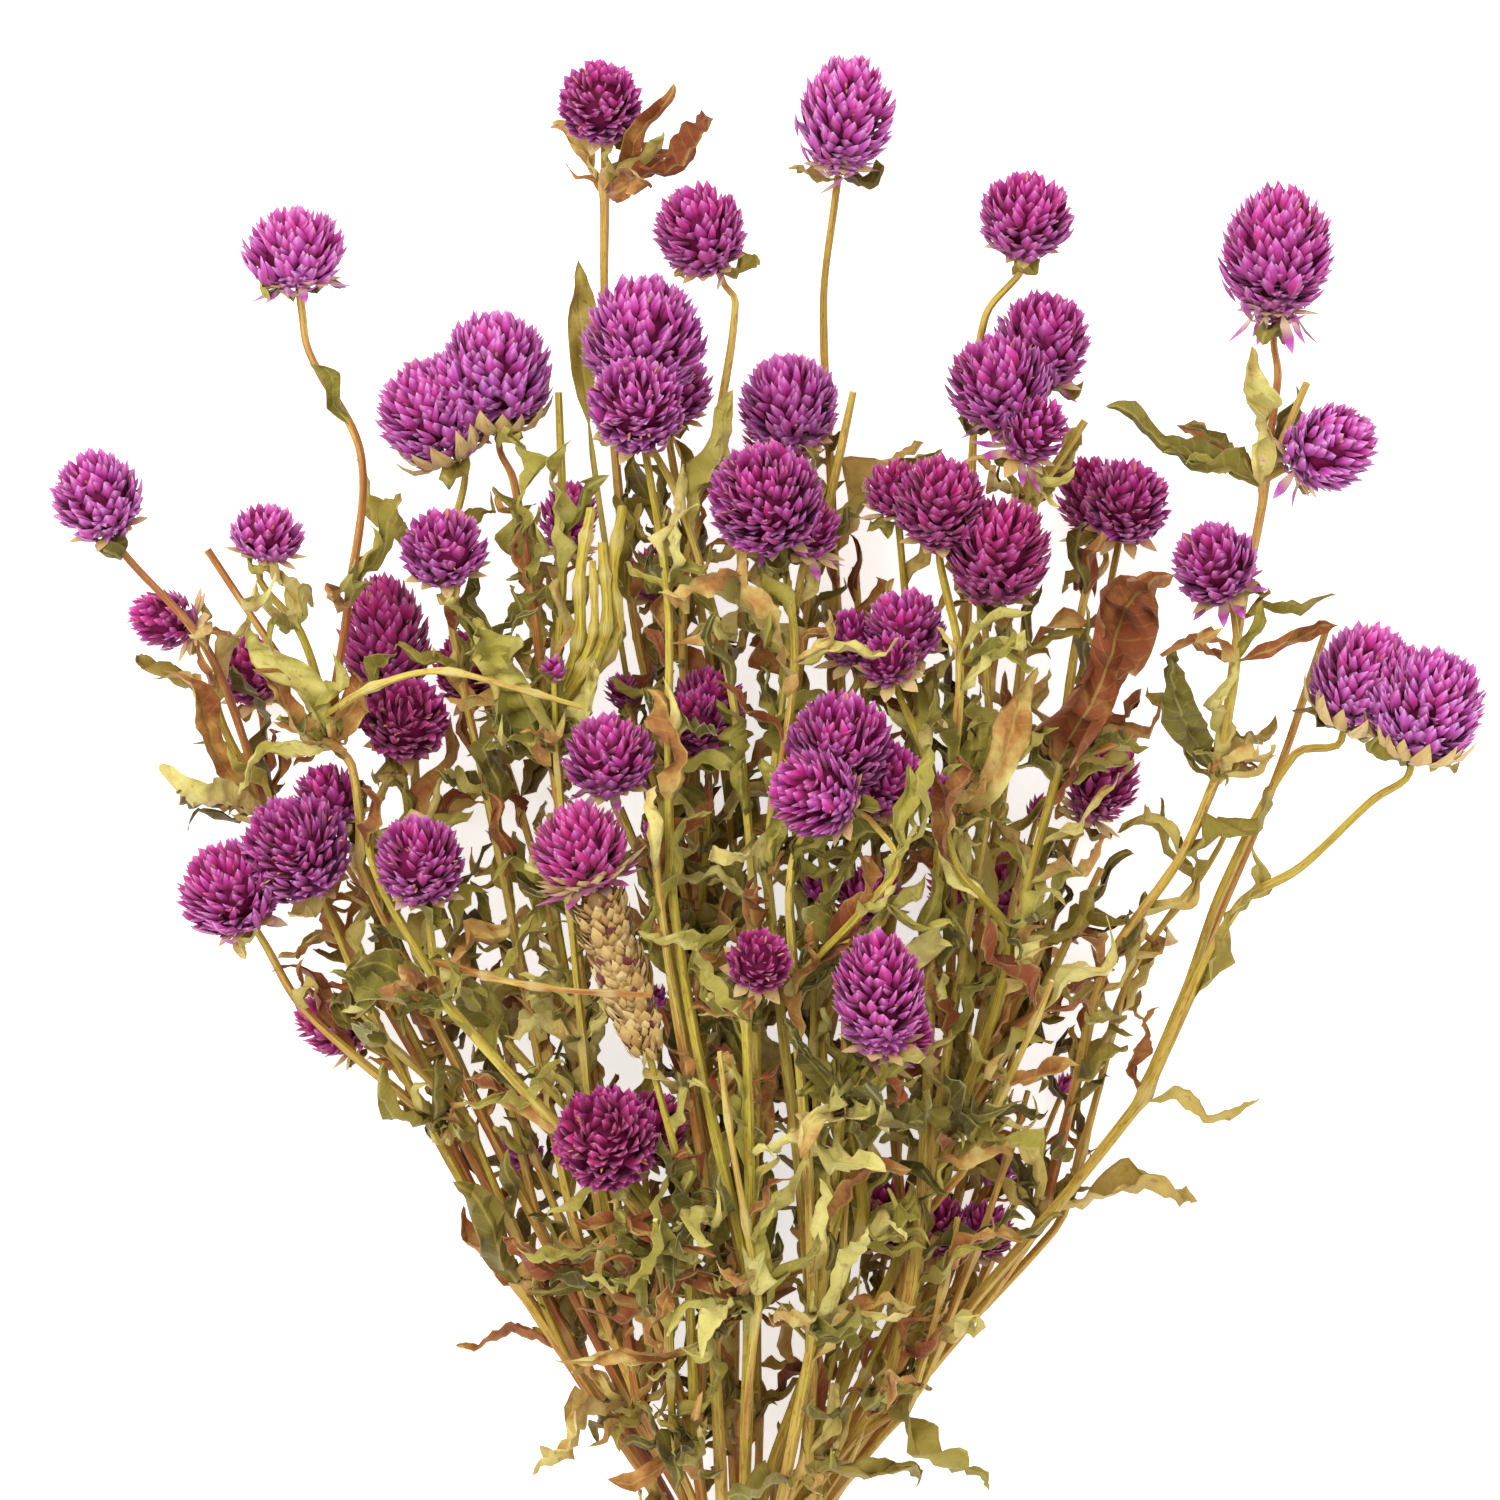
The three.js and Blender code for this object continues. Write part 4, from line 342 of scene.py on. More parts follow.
# A seeded source of numbers from 0 to 1, the same as in the CAD part
WORD = 0xFFFFFFFF
PLANT_SEED = 700
PLANNED_SEED = 41
JOINT_SEED = 9000
SPREAD_SEED = 300

# Seeds for what only this finer bunch has
HEAD_SEED = 100
BRIDGE_SEED = 41
SPIKE_SEED = 7
STEM_SEED = 900
LONE_LEAF_SEED = 400
AXIL_SEED = 5000
KNOT_SEED = 7000
FILLING_SEED = 6000
SHOOT_PATH_SEED = 600
SHOOT_LEAF_SEED = 8000


def random_source(seed):
    state = seed & WORD

    def draw():
        nonlocal state
        state = (state + 0x6D2B79F5) & WORD
        mixed = ((state ^ (state >> 15)) * (state | 1)) & WORD
        mixed ^= (mixed + (((mixed ^ (mixed >> 7)) * (mixed | 61)) & WORD)) & WORD
        return ((mixed ^ (mixed >> 14)) & WORD) / 4294967296

    return draw


# A smooth path through its points, leaving the first one along a given direction
def hermite(a, b, slope_a, slope_b, span, t):
    t2 = t * t
    t3 = t2 * t
    ends = a * (2 * t3 - 3 * t2 + 1) + b * (3 * t2 - 2 * t3)
    return ends + slope_a * span * (t3 - 2 * t2 + t) + slope_b * span * (t3 - t2)


def path_slopes(points, spans, start_direction):
    slopes = []
    for i, point in enumerate(points):
        if i == 0:
            slopes.append(start_direction)
        elif i == len(points) - 1:
            slopes.append(unit(point - points[i - 1]))
        else:
            slopes.append((points[i + 1] - points[i - 1]) / (spans[i - 1] + spans[i]))
    return slopes


def smooth_path(points, start_direction, end_length):
    points = [np.array(point, float) for point in points]
    spans = [size(b - a) for a, b in zip(points, points[1:])]
    slopes = path_slopes(points, spans, start_direction)
    path = []
    for i, span in enumerate(spans):
        steps = max(1, math.floor(span / PATH_STEP + 0.5))
        for k in range(1, steps + 1):
            last = i == len(spans) - 1 and k == steps
            ends = (points[i], points[i + 1], slopes[i], slopes[i + 1], span)
            if last and end_length > 0 and span > 2 * end_length:
                path.append(hermite(*ends, 1 - end_length / span))
            path.append(hermite(*ends, k / steps))
    return path


# The bunch as points on chains. Every chain is a stalk of one plant.
# A point's carrier is the point whose shift it takes, so a head moves as one piece with its neck.
POINT_FIELDS = ("home", "radius", "before", "pinned", "carrier")
BUNCH_PARTS = ("stalks", "heads", "buds", "joints", "blades")


class Bunch:
    def __init__(self):
        for name in (*POINT_FIELDS, *BUNCH_PARTS):
            setattr(self, name, [])

    def add_point(self, at, radius, before, pinned=False):
        index = len(self.home)
        values = (np.array(at, float), radius, before, pinned, index)
        for name, value in zip(POINT_FIELDS, values):
            getattr(self, name).append(value)
        return index

    def add_stalk(self, plant, points, foot):
        stalk = {"plant": plant, "points": points, "foot": foot, "spread": None}
        self.stalks.append(stalk)
        return stalk

    def freeze(self):
        for name in POINT_FIELDS:
            setattr(self, name, np.array(getattr(self, name)))
        self.shift = np.zeros_like(self.home)

    def place(self, index):
        return self.home[index] + self.shift[self.carrier[index]]


def plan_bunch():
    bunch = Bunch()
    slots = tie_slots()
    for index, (name, root) in enumerate(PLANTS.items()):
        grow_plant(bunch, name, root, slots[name], index)
    bunch.freeze()
    return bunch


# Where each stem passes the tie: rows from the surface upwards, and left to right in a row
def tie_slots():
    by_height = sorted(PLANTS.items(), key=lambda item: item[1]["at"][2])
    slots = {}
    taken = 0
    for row, count in enumerate(TIE_ROWS):
        members = by_height[taken:taken + count]
        members.sort(key=lambda item: item[1]["at"][0] / item[1]["at"][1])
        taken += count
        for column, (name, _) in enumerate(members):
            x = (column - (count - 1) / 2) * TIE_PITCH
            rise = row * TIE_PITCH * math.sqrt(0.75)
            z = BAND_THICKNESS + BAND_CLEARANCE + STEM_RADIUS + rise
            slots[name] = {"x": x, "z": z, "row": row}
    return slots


def grow_plant(bunch, name, root, slot, index):
    random = random_source(PLANT_SEED + index)
    end_y = CUT_END_Y - CUT_END_STAGGER * random()
    end_z = STEM_RADIUS + CUT_END_LIFT + slot["row"] * TIE_PITCH
    below_z = slot["z"] * BELOW_TIE_DROP + BAND_CLEARANCE
    below_at = [slot["x"] * BELOW_TIE_SPREAD, BELOW_TIE_Y, below_z]
    cut_end = bunch.add_point([slot["x"] * CUT_END_SPREAD, end_y, end_z], STEM_RADIUS, -1, True)
    below = bunch.add_point(below_at, STEM_RADIUS, cut_end, True)
    under = bunch.add_point([slot["x"], -PINNED_LENGTH, slot["z"]], STEM_RADIUS, below, True)
    over = bunch.add_point([slot["x"], PINNED_LENGTH, slot["z"]], STEM_RADIUS, under, True)
    stalk = bunch.add_stalk(name, [cut_end, below, under, over], 1)
    grow_branch(bunch, name, root, over, np.array([0.0, 1.0, 0.0]), 0, stalk)


# A stretch of stalk from a point to a fork, head, bud or cut end, and what grows from there.
# The first branch of a fork carries its stalk on, and the others start stalks of their own.
def grow_branch(bunch, plant, part, start, direction, depth, chain):
    if part["kind"] == "blade":
        bunch.blades.append({**part, "plant": plant, "start": start})
        return
    stops = [bunch.home[start], *part["via"], stalk_end(part)]
    chord = unit(np.array(stops[1], float) - stops[0])
    leave = unit(direction * LEAVES_ALONG + chord * LEAVES_TOWARDS)
    path = smooth_path(stops, leave, JOINT_LENGTH if part["kind"] == "fork" else 0)
    thick = branch_radius(depth)
    thin = branch_radius(depth + 1) if part["kind"] == "fork" else HEAD_STALK_RADIUS
    stalk = chain or bunch.add_stalk(plant, [start], BRANCH_FOOT_SWELLING)
    for i, at in enumerate(path):
        radius = thick + (thin - thick) * (i + 1) / len(path)
        stalk["points"].append(bunch.add_point(at, radius, stalk["points"][-1]))
    finish_stalk(bunch, plant, part, stalk, stalk["points"][-1], depth)


def branch_radius(depth):
    return BRANCH_RADII[min(depth, len(BRANCH_RADII) - 1)]


def stalk_end(part):
    at = np.array(part["at"], float)
    if part["kind"] == "bloom":
        return at - unit(part["aim"]) * (part["size"][1] / 2 + SEAT_GAP + NECK_LENGTH)
    if part["kind"] == "spent":
        foot = np.array(part["foot"], float)
        return foot - unit(at - foot) * (SEAT_GAP + NECK_LENGTH)
    return at


def finish_stalk(bunch, plant, part, stalk, last, depth):
    end = bunch.home[last]
    before = bunch.home[bunch.before[last]]
    if part["kind"] == "fork":
        bunch.joints.append({"plant": plant, "point": last})
        bunch.radius[last] *= JOINT_SWELLING
        for i, branch in enumerate(part["branches"]):
            chain = stalk if i == 0 else None
            grow_branch(bunch, plant, branch, last, unit(end - before), depth + 1, chain)
    if part["kind"] == "bloom":
        seat_head(bunch, plant, stalk, last, unit(part["aim"]), part)
    if part["kind"] == "spent":
        axis = unit(np.array(part["at"], float) - part["foot"])
        seat_head(bunch, plant, stalk, last, axis, part)
    if part["kind"] == "bud":
        aim = unit(np.array(part["at"], float) - before)
        bunch.buds.append({"plant": plant, "point": last, "width": part["width"], "aim": aim})


# The neck of the stalk runs straight into the middle of the head's underside
def seat_head(bunch, plant, stalk, neck, aim, part):
    seat = bunch.add_point(bunch.home[neck] + aim * NECK_LENGTH, HEAD_STALK_RADIUS, neck)
    middle = bunch.add_point(part["at"], 0, seat)
    bunch.carrier[seat] = neck
    bunch.carrier[middle] = neck
    stalk["points"].append(seat)
    width, height = part["size"]
    spike_length = 0
    if part["kind"] == "spent":
        spike_length = size(np.array(part["at"], float) - part["foot"]) - height / 2
    bunch.heads.append({
        "node": part["node"], "plant": plant, "point": middle, "neck": neck, "seat": seat,
        "aim": aim, "width": width, "height": height, "spike_length": spike_length,
    })


# Round-ended rods that stand for stalks, heads, buds and the spent spike while the bunch settles
class Rods:
    def __init__(self, bunch):
        self.rows = []
        self.add_stalks(bunch)
        self.add_heads(bunch)
        for item in bunch.buds:
            self.add([item["point"]] * 2, np.zeros((2, 3)), item["width"] / 2, item["plant"], -1)
        self.ends, self.offsets, self.radius, self.node, self.head = map(np.array, zip(*self.rows))

    def add(self, ends, offsets, radius, node, head):
        self.rows.append((ends, offsets, radius, node, head))

    def add_stalks(self, bunch):
        for stalk in bunch.stalks:
            for ends in zip(stalk["points"], stalk["points"][1:]):
                radius = max(min(bunch.radius[index], STEM_RADIUS) for index in ends)
                self.add(list(ends), np.zeros((2, 3)), radius, stalk["plant"], -1)

    def add_heads(self, bunch):
        for index, head in enumerate(bunch.heads):
            ends = [head["point"]] * 2
            reach = max(0, (head["height"] - head["width"]) / 2)
            offsets = [head["aim"] * -reach, head["aim"] * reach]
            self.add(ends, offsets, head["width"] / 2, head["node"], index)
            if head["spike_length"] > 0:
                foot = -head["height"] / 2 - head["spike_length"] + SPIKE_FOOT_ROUNDING
                offsets = [head["aim"] * foot, head["aim"] * (-head["height"] / 2)]
                self.add(ends, offsets, SPIKE_TOP_RADIUS, "spent_spike", index)

    def spots(self, bunch):
        return bunch.home[self.ends] + bunch.shift[bunch.carrier[self.ends]] + self.offsets


# The nearest points of pairs of straight rods, as shares of their lengths, and the line between them
def nearest(a0, a1, b0, b1):
    d1 = a1 - a0
    d2 = b1 - b0
    r = a0 - b0
    a = dots(d1, d1)
    e = dots(d2, d2)
    f = dots(d2, r)
    c = dots(d1, r)
    b = dots(d1, d2)
    denom = a * e - b * b
    tiny = 1e-9
    steep = denom > tiny
    first = np.where(steep, np.clip((b * f - c * e) / np.where(steep, denom, 1), 0, 1), 0.5)
    long_b = e > tiny
    t = np.where(long_b, np.clip((b * first + f) / np.where(long_b, e, 1), 0, 1), 0)
    long_a = a > tiny
    s = np.where(long_a, np.clip((b * t - c) / np.where(long_a, a, 1), 0, 1), 0)
    line = a0 + d1 * s[:, None] - b0 - d2 * t[:, None]
    return s, t, line


# Settling pushes the pieces of different nodes clear of each other and of the surface,
# and draws the heads of one node together until they are pressed into each other.
ROUNDS = 420
LAST_ROUNDS = 200
HOMING = 0.004
SMOOTHING = 0.3
LAST_SMOOTHING = 0.03
PRESSED = 0.72
MOST_PRESSED = 0.55
PAIR_REACH = 9
ROUNDS_PER_SEARCH = 8
HEAD_FLOOR_GAP = -0.35
STALK_FLOOR_GAP = 0.15


def settle(bunch):
    rods = Rods(bunch)
    bunch.rods = rods
    allowed, pressed = pair_rules(bunch, rods)
    neighbours = neighbour_table(bunch, rods)
    pairs = None
    for number in range(ROUNDS):
        late = number >= ROUNDS - LAST_ROUNDS
        spots = rods.spots(bunch)
        if number % ROUNDS_PER_SEARCH == 0:
            pairs = close_pairs(rods, spots, allowed, pressed)
        push = np.zeros((len(bunch.home), 4))
        separate(bunch, rods, spots, pairs, pressed, neighbours, push)
        lift_off_surface(bunch, rods, spots, push)
        apply_push(bunch, push)
        if not late:
            bunch.shift *= 1 - HOMING
        smooth_shifts(bunch, LAST_SMOOTHING if late else SMOOTHING)


# Which rods may touch, and which are heads of one node that press into each other
def pair_rules(bunch, rods):
    same = rods.node[:, None] == rods.node[None, :]
    is_head = rods.head >= 0
    both_heads = is_head[:, None] & is_head[None, :]
    same_head = both_heads & (rods.head[:, None] == rods.head[None, :])
    pressed = same & both_heads & ~same_head
    necks = np.array([head["neck"] for head in bunch.heads])
    neck = np.where(is_head, necks[rods.head], -1)
    at_neck = (rods.ends[None, :, :] == neck[:, None, None]).any(axis=2) & is_head[:, None]
    shares = same_head | ((at_neck | at_neck.T) & ~both_heads)
    return (~same | pressed) & ~shares, pressed


# Each head of a node is drawn to the nearest of those before it in the plan
def neighbour_table(bunch, rods):
    table = np.zeros((len(rods.head), len(rods.head)), bool)
    home = np.array([bunch.home[head["point"]] for head in bunch.heads])
    nodes = [head["node"] for head in bunch.heads]
    main = [int(np.argmax(rods.head == index)) for index in range(len(nodes))]
    for second, node in enumerate(nodes):
        earlier = [i for i in range(second) if nodes[i] == node]
        if earlier:
            closest = min(earlier, key=lambda i: size(home[i] - home[second]))
            table[main[closest], main[second]] = True
    return table | table.T


def close_pairs(rods, spots, allowed, pressed):
    middle = spots.mean(axis=1)
    reach = size(spots[:, 0] - spots[:, 1]) / 2 + rods.radius
    apart = size(middle[:, None] - middle[None, :])
    near = apart <= reach[:, None] + reach[None, :] + PAIR_REACH
    return np.argwhere(np.triu(allowed & (near | pressed), 1))


def separate(bunch, rods, spots, pairs, pressed_table, neighbours, push):
    a, b = pairs.T
    s, t, line = nearest(spots[a, 0], spots[a, 1], spots[b, 0], spots[b, 1])
    apart = size(line)
    both = rods.radius[a] + rods.radius[b]
    pressed = pressed_table[a, b]
    change = np.where(~pressed & (apart < both + CLEARANCE), both + CLEARANCE - apart, 0)
    loose = pressed & (apart > both * PRESSED) & neighbours[a, b]
    change = np.where(loose, both * PRESSED - apart, change)
    tight = pressed & (apart < both * MOST_PRESSED)
    change = np.where(tight, both * MOST_PRESSED - apart, change)
    moved = change != 0
    way = np.where(apart[:, None] > 1e-6, line / np.maximum(apart, 1e-6)[:, None], [0, 0, 1])
    move = way * change[:, None] / 2
    add_push(bunch, rods, push, a[moved], s[moved], move[moved])
    add_push(bunch, rods, push, b[moved], t[moved], -move[moved])


def add_push(bunch, rods, push, index, share, move):
    for k, weight in enumerate([1 - share, share]):
        carrier = bunch.carrier[rods.ends[index, k]]
        amount = np.concatenate([move, np.ones((len(move), 1))], axis=1) * weight[:, None]
        np.add.at(push, carrier, amount)


def lift_off_surface(bunch, rods, spots, push):
    floor_gap = np.where(rods.head >= 0, HEAD_FLOOR_GAP, STALK_FLOOR_GAP)
    for k in (0, 1):
        low = spots[:, k, 2] - rods.radius - floor_gap
        index = np.flatnonzero(low < 0)
        move = np.zeros((len(index), 3))
        move[:, 2] = -low[index]
        add_push(bunch, rods, push, index, np.full(len(index), float(k)), move)


def moving_points(bunch):
    return ~bunch.pinned & (bunch.carrier == np.arange(len(bunch.home)))


def apply_push(bunch, push):
    share = 1 / np.maximum(1, push[:, 3:])
    bunch.shift += np.where(moving_points(bunch)[:, None], push[:, :3] * share, 0)


# Each point's shift leans towards its neighbours', so the stalks bend in long curves
def smooth_shifts(bunch, amount):
    own = bunch.carrier == np.arange(len(bunch.home))
    index = np.flatnonzero(own & (bunch.before >= 0))
    before = bunch.before[index]
    total = np.zeros_like(bunch.shift)
    count = np.zeros(len(bunch.home))
    np.add.at(total, index, bunch.shift[before])
    np.add.at(total, before, bunch.shift[index])
    np.add.at(count, index, 1)
    np.add.at(count, before, 1)
    mean = total / np.maximum(count, 1)[:, None]
    moves = moving_points(bunch) & (count > 0)
    bunch.shift += np.where(moves[:, None], (mean - bunch.shift) * amount, 0)


# A leaf runs along a bent line and is widest below its middle. Its two halves fold up from
# the midrib, and its edges wave. Stations run from 0 at its foot to 1 at its tip.
LEAF_STEPS = 24
LEAF_WAVES = 2.3
LEAF_WAVE_HEIGHT = 0.3
LEAF_LOOK_AHEAD = 0.02
LEAF_BARE_FOOT = 0.06
LEAF_WIDEST_LOW = 0.8
LEAF_FOOT_HALF_WIDTH = 0.5
LEAF_FIELDS = ("plant", "bends", "width", "face", "turn", "fold", "phase", "tone")


def leaf_of(*values):
    return dict(zip(LEAF_FIELDS, values))


def leaf_places(leaf, stations):
    rest = 1 - stations
    terms = [rest ** 3, 3 * rest ** 2 * stations, 3 * rest * stations ** 2, stations ** 3]
    return sum(term[:, None] * bend for term, bend in zip(terms, leaf["bends"]))


def leaf_frames(leaf, steps):
    stations = np.linspace(0, 1, steps + 1)
    ahead = leaf_places(leaf, np.minimum(1, stations + LEAF_LOOK_AHEAD))
    behind = leaf_places(leaf, np.maximum(0, stations - LEAF_LOOK_AHEAD))
    along = unit(ahead - behind)
    faces = []
    face = leaf["face"]
    for way in along:
        face = unit(across(face, way))
        faces.append(face)
    faces = np.array(faces)
    sides = np.cross(along, faces)
    turn = (leaf["turn"] * stations)[:, None]
    turned = faces * np.cos(turn) + sides * np.sin(turn)
    return stations, leaf_places(leaf, stations), turned, np.cross(along, turned)


def leaf_body(leaf, stations):
    grown = np.maximum(0, stations * (1 + LEAF_BARE_FOOT) - LEAF_BARE_FOOT)
    return (leaf["width"] / 2) * np.sin(math.pi * np.minimum(grown, 1) ** LEAF_WIDEST_LOW)


def leaf_wave(leaf, stations, hand):
    return LEAF_WAVE_HEIGHT * np.sin(2 * math.pi * LEAF_WAVES * stations + leaf["phase"] * hand)


# Points all over a leaf, to test what it would touch
def leaf_touch_points(leaf):
    stations, places, faces, sides = leaf_frames(leaf, LEAF_STEPS)
    half = np.maximum(LEAF_FOOT_HALF_WIDTH, leaf_body(leaf, stations))
    pick = slice(4, None, 2)
    edges = []
    for hand in (1, -1):
        rise = leaf["fold"] * half + half * leaf_wave(leaf, stations, hand)
        edge = places + sides * (half * hand)[:, None] + faces * rise[:, None]
        edges.append(edge[pick])
    middle = places[pick]
    return np.concatenate([*edges, middle, (edges[0] + middle) / 2, (edges[1] + middle) / 2])


LEAF_DROP = 2.6
LEAF_GAP = 0.9
LEAF_TO_LEAF = 3
SMALL_LEAF_APART = 1.5
LEAF_CEILING = 84
LEAF_FLOOR_GAP = 0.6
LEAF_TIE_GAP = 4
PLANNED_ATTEMPTS = 14
PLANNED_LIFTS = 7
PLANNED_LIFT = 1.6
PLANNED_SHRINK = 0.8
DRAWN_ATTEMPTS = 10
DRAWN_SWING = 0.5
DRAWN_SHRINK = 0.04
FULL_TURN = 6.28


def points_are_clear(bunch, points, plant, placed, own_head=None, apart=LEAF_TO_LEAF):
    if points[:, 2].min() < LEAF_FLOOR_GAP:
        return False
    if points[:, 1].min() < PINNED_LENGTH + LEAF_TIE_GAP:
        return False
    if near_rods(bunch, points, plant) or near_heads(bunch, points, own_head):
        return False
    others = [item["points"] for item in placed if item["plant"] != plant]
    if not others:
        return True
    others = np.concatenate(others)
    low = points.min(axis=0) - apart
    high = points.max(axis=0) + apart
    others = others[((others > low) & (others < high)).all(axis=1)]
    return not (size(points[:, None] - others[None, :]) < apart).any()


def near_rods(bunch, points, plant):
    rods = bunch.rods
    spots = bunch.rod_spots
    tested = (rods.node != plant) & ((rods.head < 0) | (rods.node == "spent_spike"))
    far = rods.radius[:, None] + LEAF_GAP
    tested &= (spots.max(axis=1) + far > points.min(axis=0)).all(axis=1)
    tested &= (spots.min(axis=1) - far < points.max(axis=0)).all(axis=1)
    a = spots[tested, 0][None, :]
    line = spots[tested, 1][None, :] - a
    share = dots(points[:, None] - a, line) / np.maximum(dots(line, line), 1e-9)
    share = np.clip(share, 0, 1)[..., None]
    apart = size(points[:, None] - a - line * share)
    return (apart < rods.radius[tested] + LEAF_GAP).any()


def near_heads(bunch, points, own_head):
    for head in bunch.heads:
        if head is own_head:
            continue
        away = points - bunch.place(head["point"])
        up = dots(away, head["aim"]) / (head["height"] / 2 + LEAF_GAP)
        out = size(across(away, head["aim"])) / (head["width"] / 2 + LEAF_GAP)
        if (up * up + out * out < 1).any():
            return True
    return False


def add_leaf_if_clear(bunch, leaf, placed):
    points = leaf_touch_points(leaf)
    if not points_are_clear(bunch, points, leaf["plant"], placed):
        return False
    placed.append({**leaf, "points": points, "spread": False})
    return True


# How far left and right the leaves reach at each height of the lower bunch
FAN_HEIGHTS = [40, 50, 72, 105, 128, 150, 172]
FAN_LEFT = [-33, -40, -46, -56, -80, -100, -125]
FAN_RIGHT = [26, 38, 50, 78, 90, 100, 110]


def outside_fan(points):
    low = points[points[:, 1] < FAN_HEIGHTS[-1]]
    left = np.interp(low[:, 1], FAN_HEIGHTS, FAN_LEFT)
    right = np.interp(low[:, 1], FAN_HEIGHTS, FAN_RIGHT)
    return ((low[:, 0] < left) | (low[:, 0] > right)).any()


def add_small_leaf(bunch, leaf, placed):
    points = leaf_touch_points(leaf)
    if points[:, 2].max() > LEAF_CEILING or outside_fan(points):
        return False
    if not points_are_clear(bunch, points, leaf["plant"], placed, apart=SMALL_LEAF_APART):
        return False
    placed.append({**leaf, "points": points, "spread": False, "small": True})
    return True


# A leaf grows from the stalk a little below its joint
def leaf_foot(bunch, joint):
    place = bunch.place(joint)
    return place + unit(bunch.place(bunch.before[joint]) - place) * LEAF_DROP


# The leaves that the plan names, made smaller or lifted until they fit
def planned_leaves(bunch, placed):
    random = random_source(PLANNED_SEED)
    for item in bunch.blades:
        foot = leaf_foot(bunch, item["start"])
        drift = bunch.shift[item["start"]]
        phase = FULL_TURN * random()
        fold = 0.1 + 0.3 * random()
        for attempt in range(PLANNED_ATTEMPTS):
            lift = np.array([0, 0, PLANNED_LIFT * (attempt % PLANNED_LIFTS)])
            shrink = 1 if attempt < PLANNED_LIFTS else PLANNED_SHRINK
            moved = [np.array(at) + drift + lift for at in [*item["bends"], item["tip"]]]
            bends = [foot + (at - foot) * shrink for at in [foot, *moved]]
            shape = (item["width"] * shrink, np.array([0.0, 0.0, 1.0]), item["turn"], fold, phase)
            leaf = leaf_of(item["plant"], bends, *shape, item["tone"])
            if add_leaf_if_clear(bunch, leaf, placed):
                break


# Opposite leaves at every joint, drawn with seeded angles, kept where they clear the rest
def joint_leaves(bunch, placed):
    for index, joint in enumerate(bunch.joints):
        random = random_source(JOINT_SEED + index)
        foot = leaf_foot(bunch, joint["point"])
        stem = unit(foot - bunch.place(bunch.before[joint["point"]]))
        side, other = frame_of(stem)
        start = FULL_TURN * random()
        for pair in range(2):
            for attempt in range(DRAWN_ATTEMPTS):
                angle = start + math.pi * pair + (random() - 0.5) * DRAWN_SWING * attempt
                out = around(side, other, angle)
                scale = 1 - DRAWN_SHRINK * attempt
                leaf = drawn_leaf(joint["plant"], foot, stem, out, random, scale)
                if add_leaf_if_clear(bunch, leaf, placed):
                    break


# A dried leaf bends over or curls up along its length. Angles are in radians
DRAWN_LENGTHS = (24, 44)
DRAWN_LEAN = (0.65, 1.15)
DRAWN_BENDS = (-0.77, 1.43)
DRAWN_PROPORTIONS = (0.2, 0.32)
DRAWN_FOLDS = (0.15, 0.65)
DRAWN_DROOP = [0, 0, -0.4]


def drawn_leaf(plant, foot, stem, out, random, scale, lean=DRAWN_LEAN):
    def between(low, high):
        return low + (high - low) * random()

    length = between(*DRAWN_LENGTHS) * scale
    pitch = between(*lean)
    bend = between(*DRAWN_BENDS)
    first = around(stem, out, pitch)
    down = unit(across(out + DRAWN_DROOP, first))
    last = unit(around(first, down, bend))
    second = unit(first + last)
    bends = [foot, foot + first * length / 3]
    bends.append(bends[1] + second * length / 3)
    bends.append(bends[2] + last * length / 3)
    width = length * between(*DRAWN_PROPORTIONS)
    turn = between(-1, 1)
    fold = between(*DRAWN_FOLDS)
    phase = FULL_TURN * random()
    return leaf_of(plant, bends, width, unit(across(stem, first)), turn, fold, phase, None)


SPREAD_ATTEMPTS = 16
SPREAD_TURNS = 4
SPREAD_SWING = 0.8
SPREAD_SHRINK = 0.22
SPREAD_SHARE = 0.42
SPREAD_SHARE_RANGE = 0.12


# The direction and length of the two small leaves under each head, where they clear the rest
def spread_under_heads(bunch, placed):
    for index, head in enumerate(bunch.heads):
        random = random_source(SPREAD_SEED + index)
        side, other = frame_of(head["aim"])
        start = (FULL_TURN / 2) * random()
        wide = SPREAD_SHARE + SPREAD_SHARE_RANGE * random()
        stalk = next(item for item in bunch.stalks if head["seat"] in item["points"])
        for attempt in range(SPREAD_ATTEMPTS + 1):
            angle = start + (attempt % SPREAD_TURNS) * SPREAD_SWING
            out = around(side, other, angle)
            bare = attempt == SPREAD_ATTEMPTS
            shrink = 1 - SPREAD_SHRINK * (attempt // SPREAD_TURNS)
            length = HEAD_STALK_RADIUS if bare else head["width"] * wide * shrink
            spread = {"side": out, "aim": head["aim"], "length": length}
            points = spread_touch_points(bunch, head, spread)
            if bare or points_are_clear(bunch, points, head["plant"], placed, head):
                stalk["spread"] = {**spread, "seat": bunch.place(head["seat"])}
                placed.append({"plant": head["plant"], "points": points, "spread": True})
                break


def spread_touch_points(bunch, head, spread):
    seat = bunch.place(head["seat"])
    shares = np.array([-1, -0.75, -0.5, -0.25, 0.25, 0.5, 0.75, 1])[:, None]
    drop = SPREAD_THICKNESS / 2 + spread["length"] * SPREAD_DIP * np.abs(shares)
    return seat + spread["side"] * spread["length"] * shares - spread["aim"] * drop


# Meshes. A skin gathers the triangles of one piece, with these values at each of its points:
# grain is a place on the part (crosswise, lengthwise, and a number of its own), tone picks
# its colour from 0 to 1, and level says how high it sits or how near a joint it is.
STEM, LEAF, BRACT, CRIMSON, LAVENDER, SCALE, CORE = range(7)
SKIN_FIELDS = ("points", "faces", "grain", "tone", "level", "material")
SMOOTH_ANGLE = math.radians(48)
MM_PER_METRE = 1000


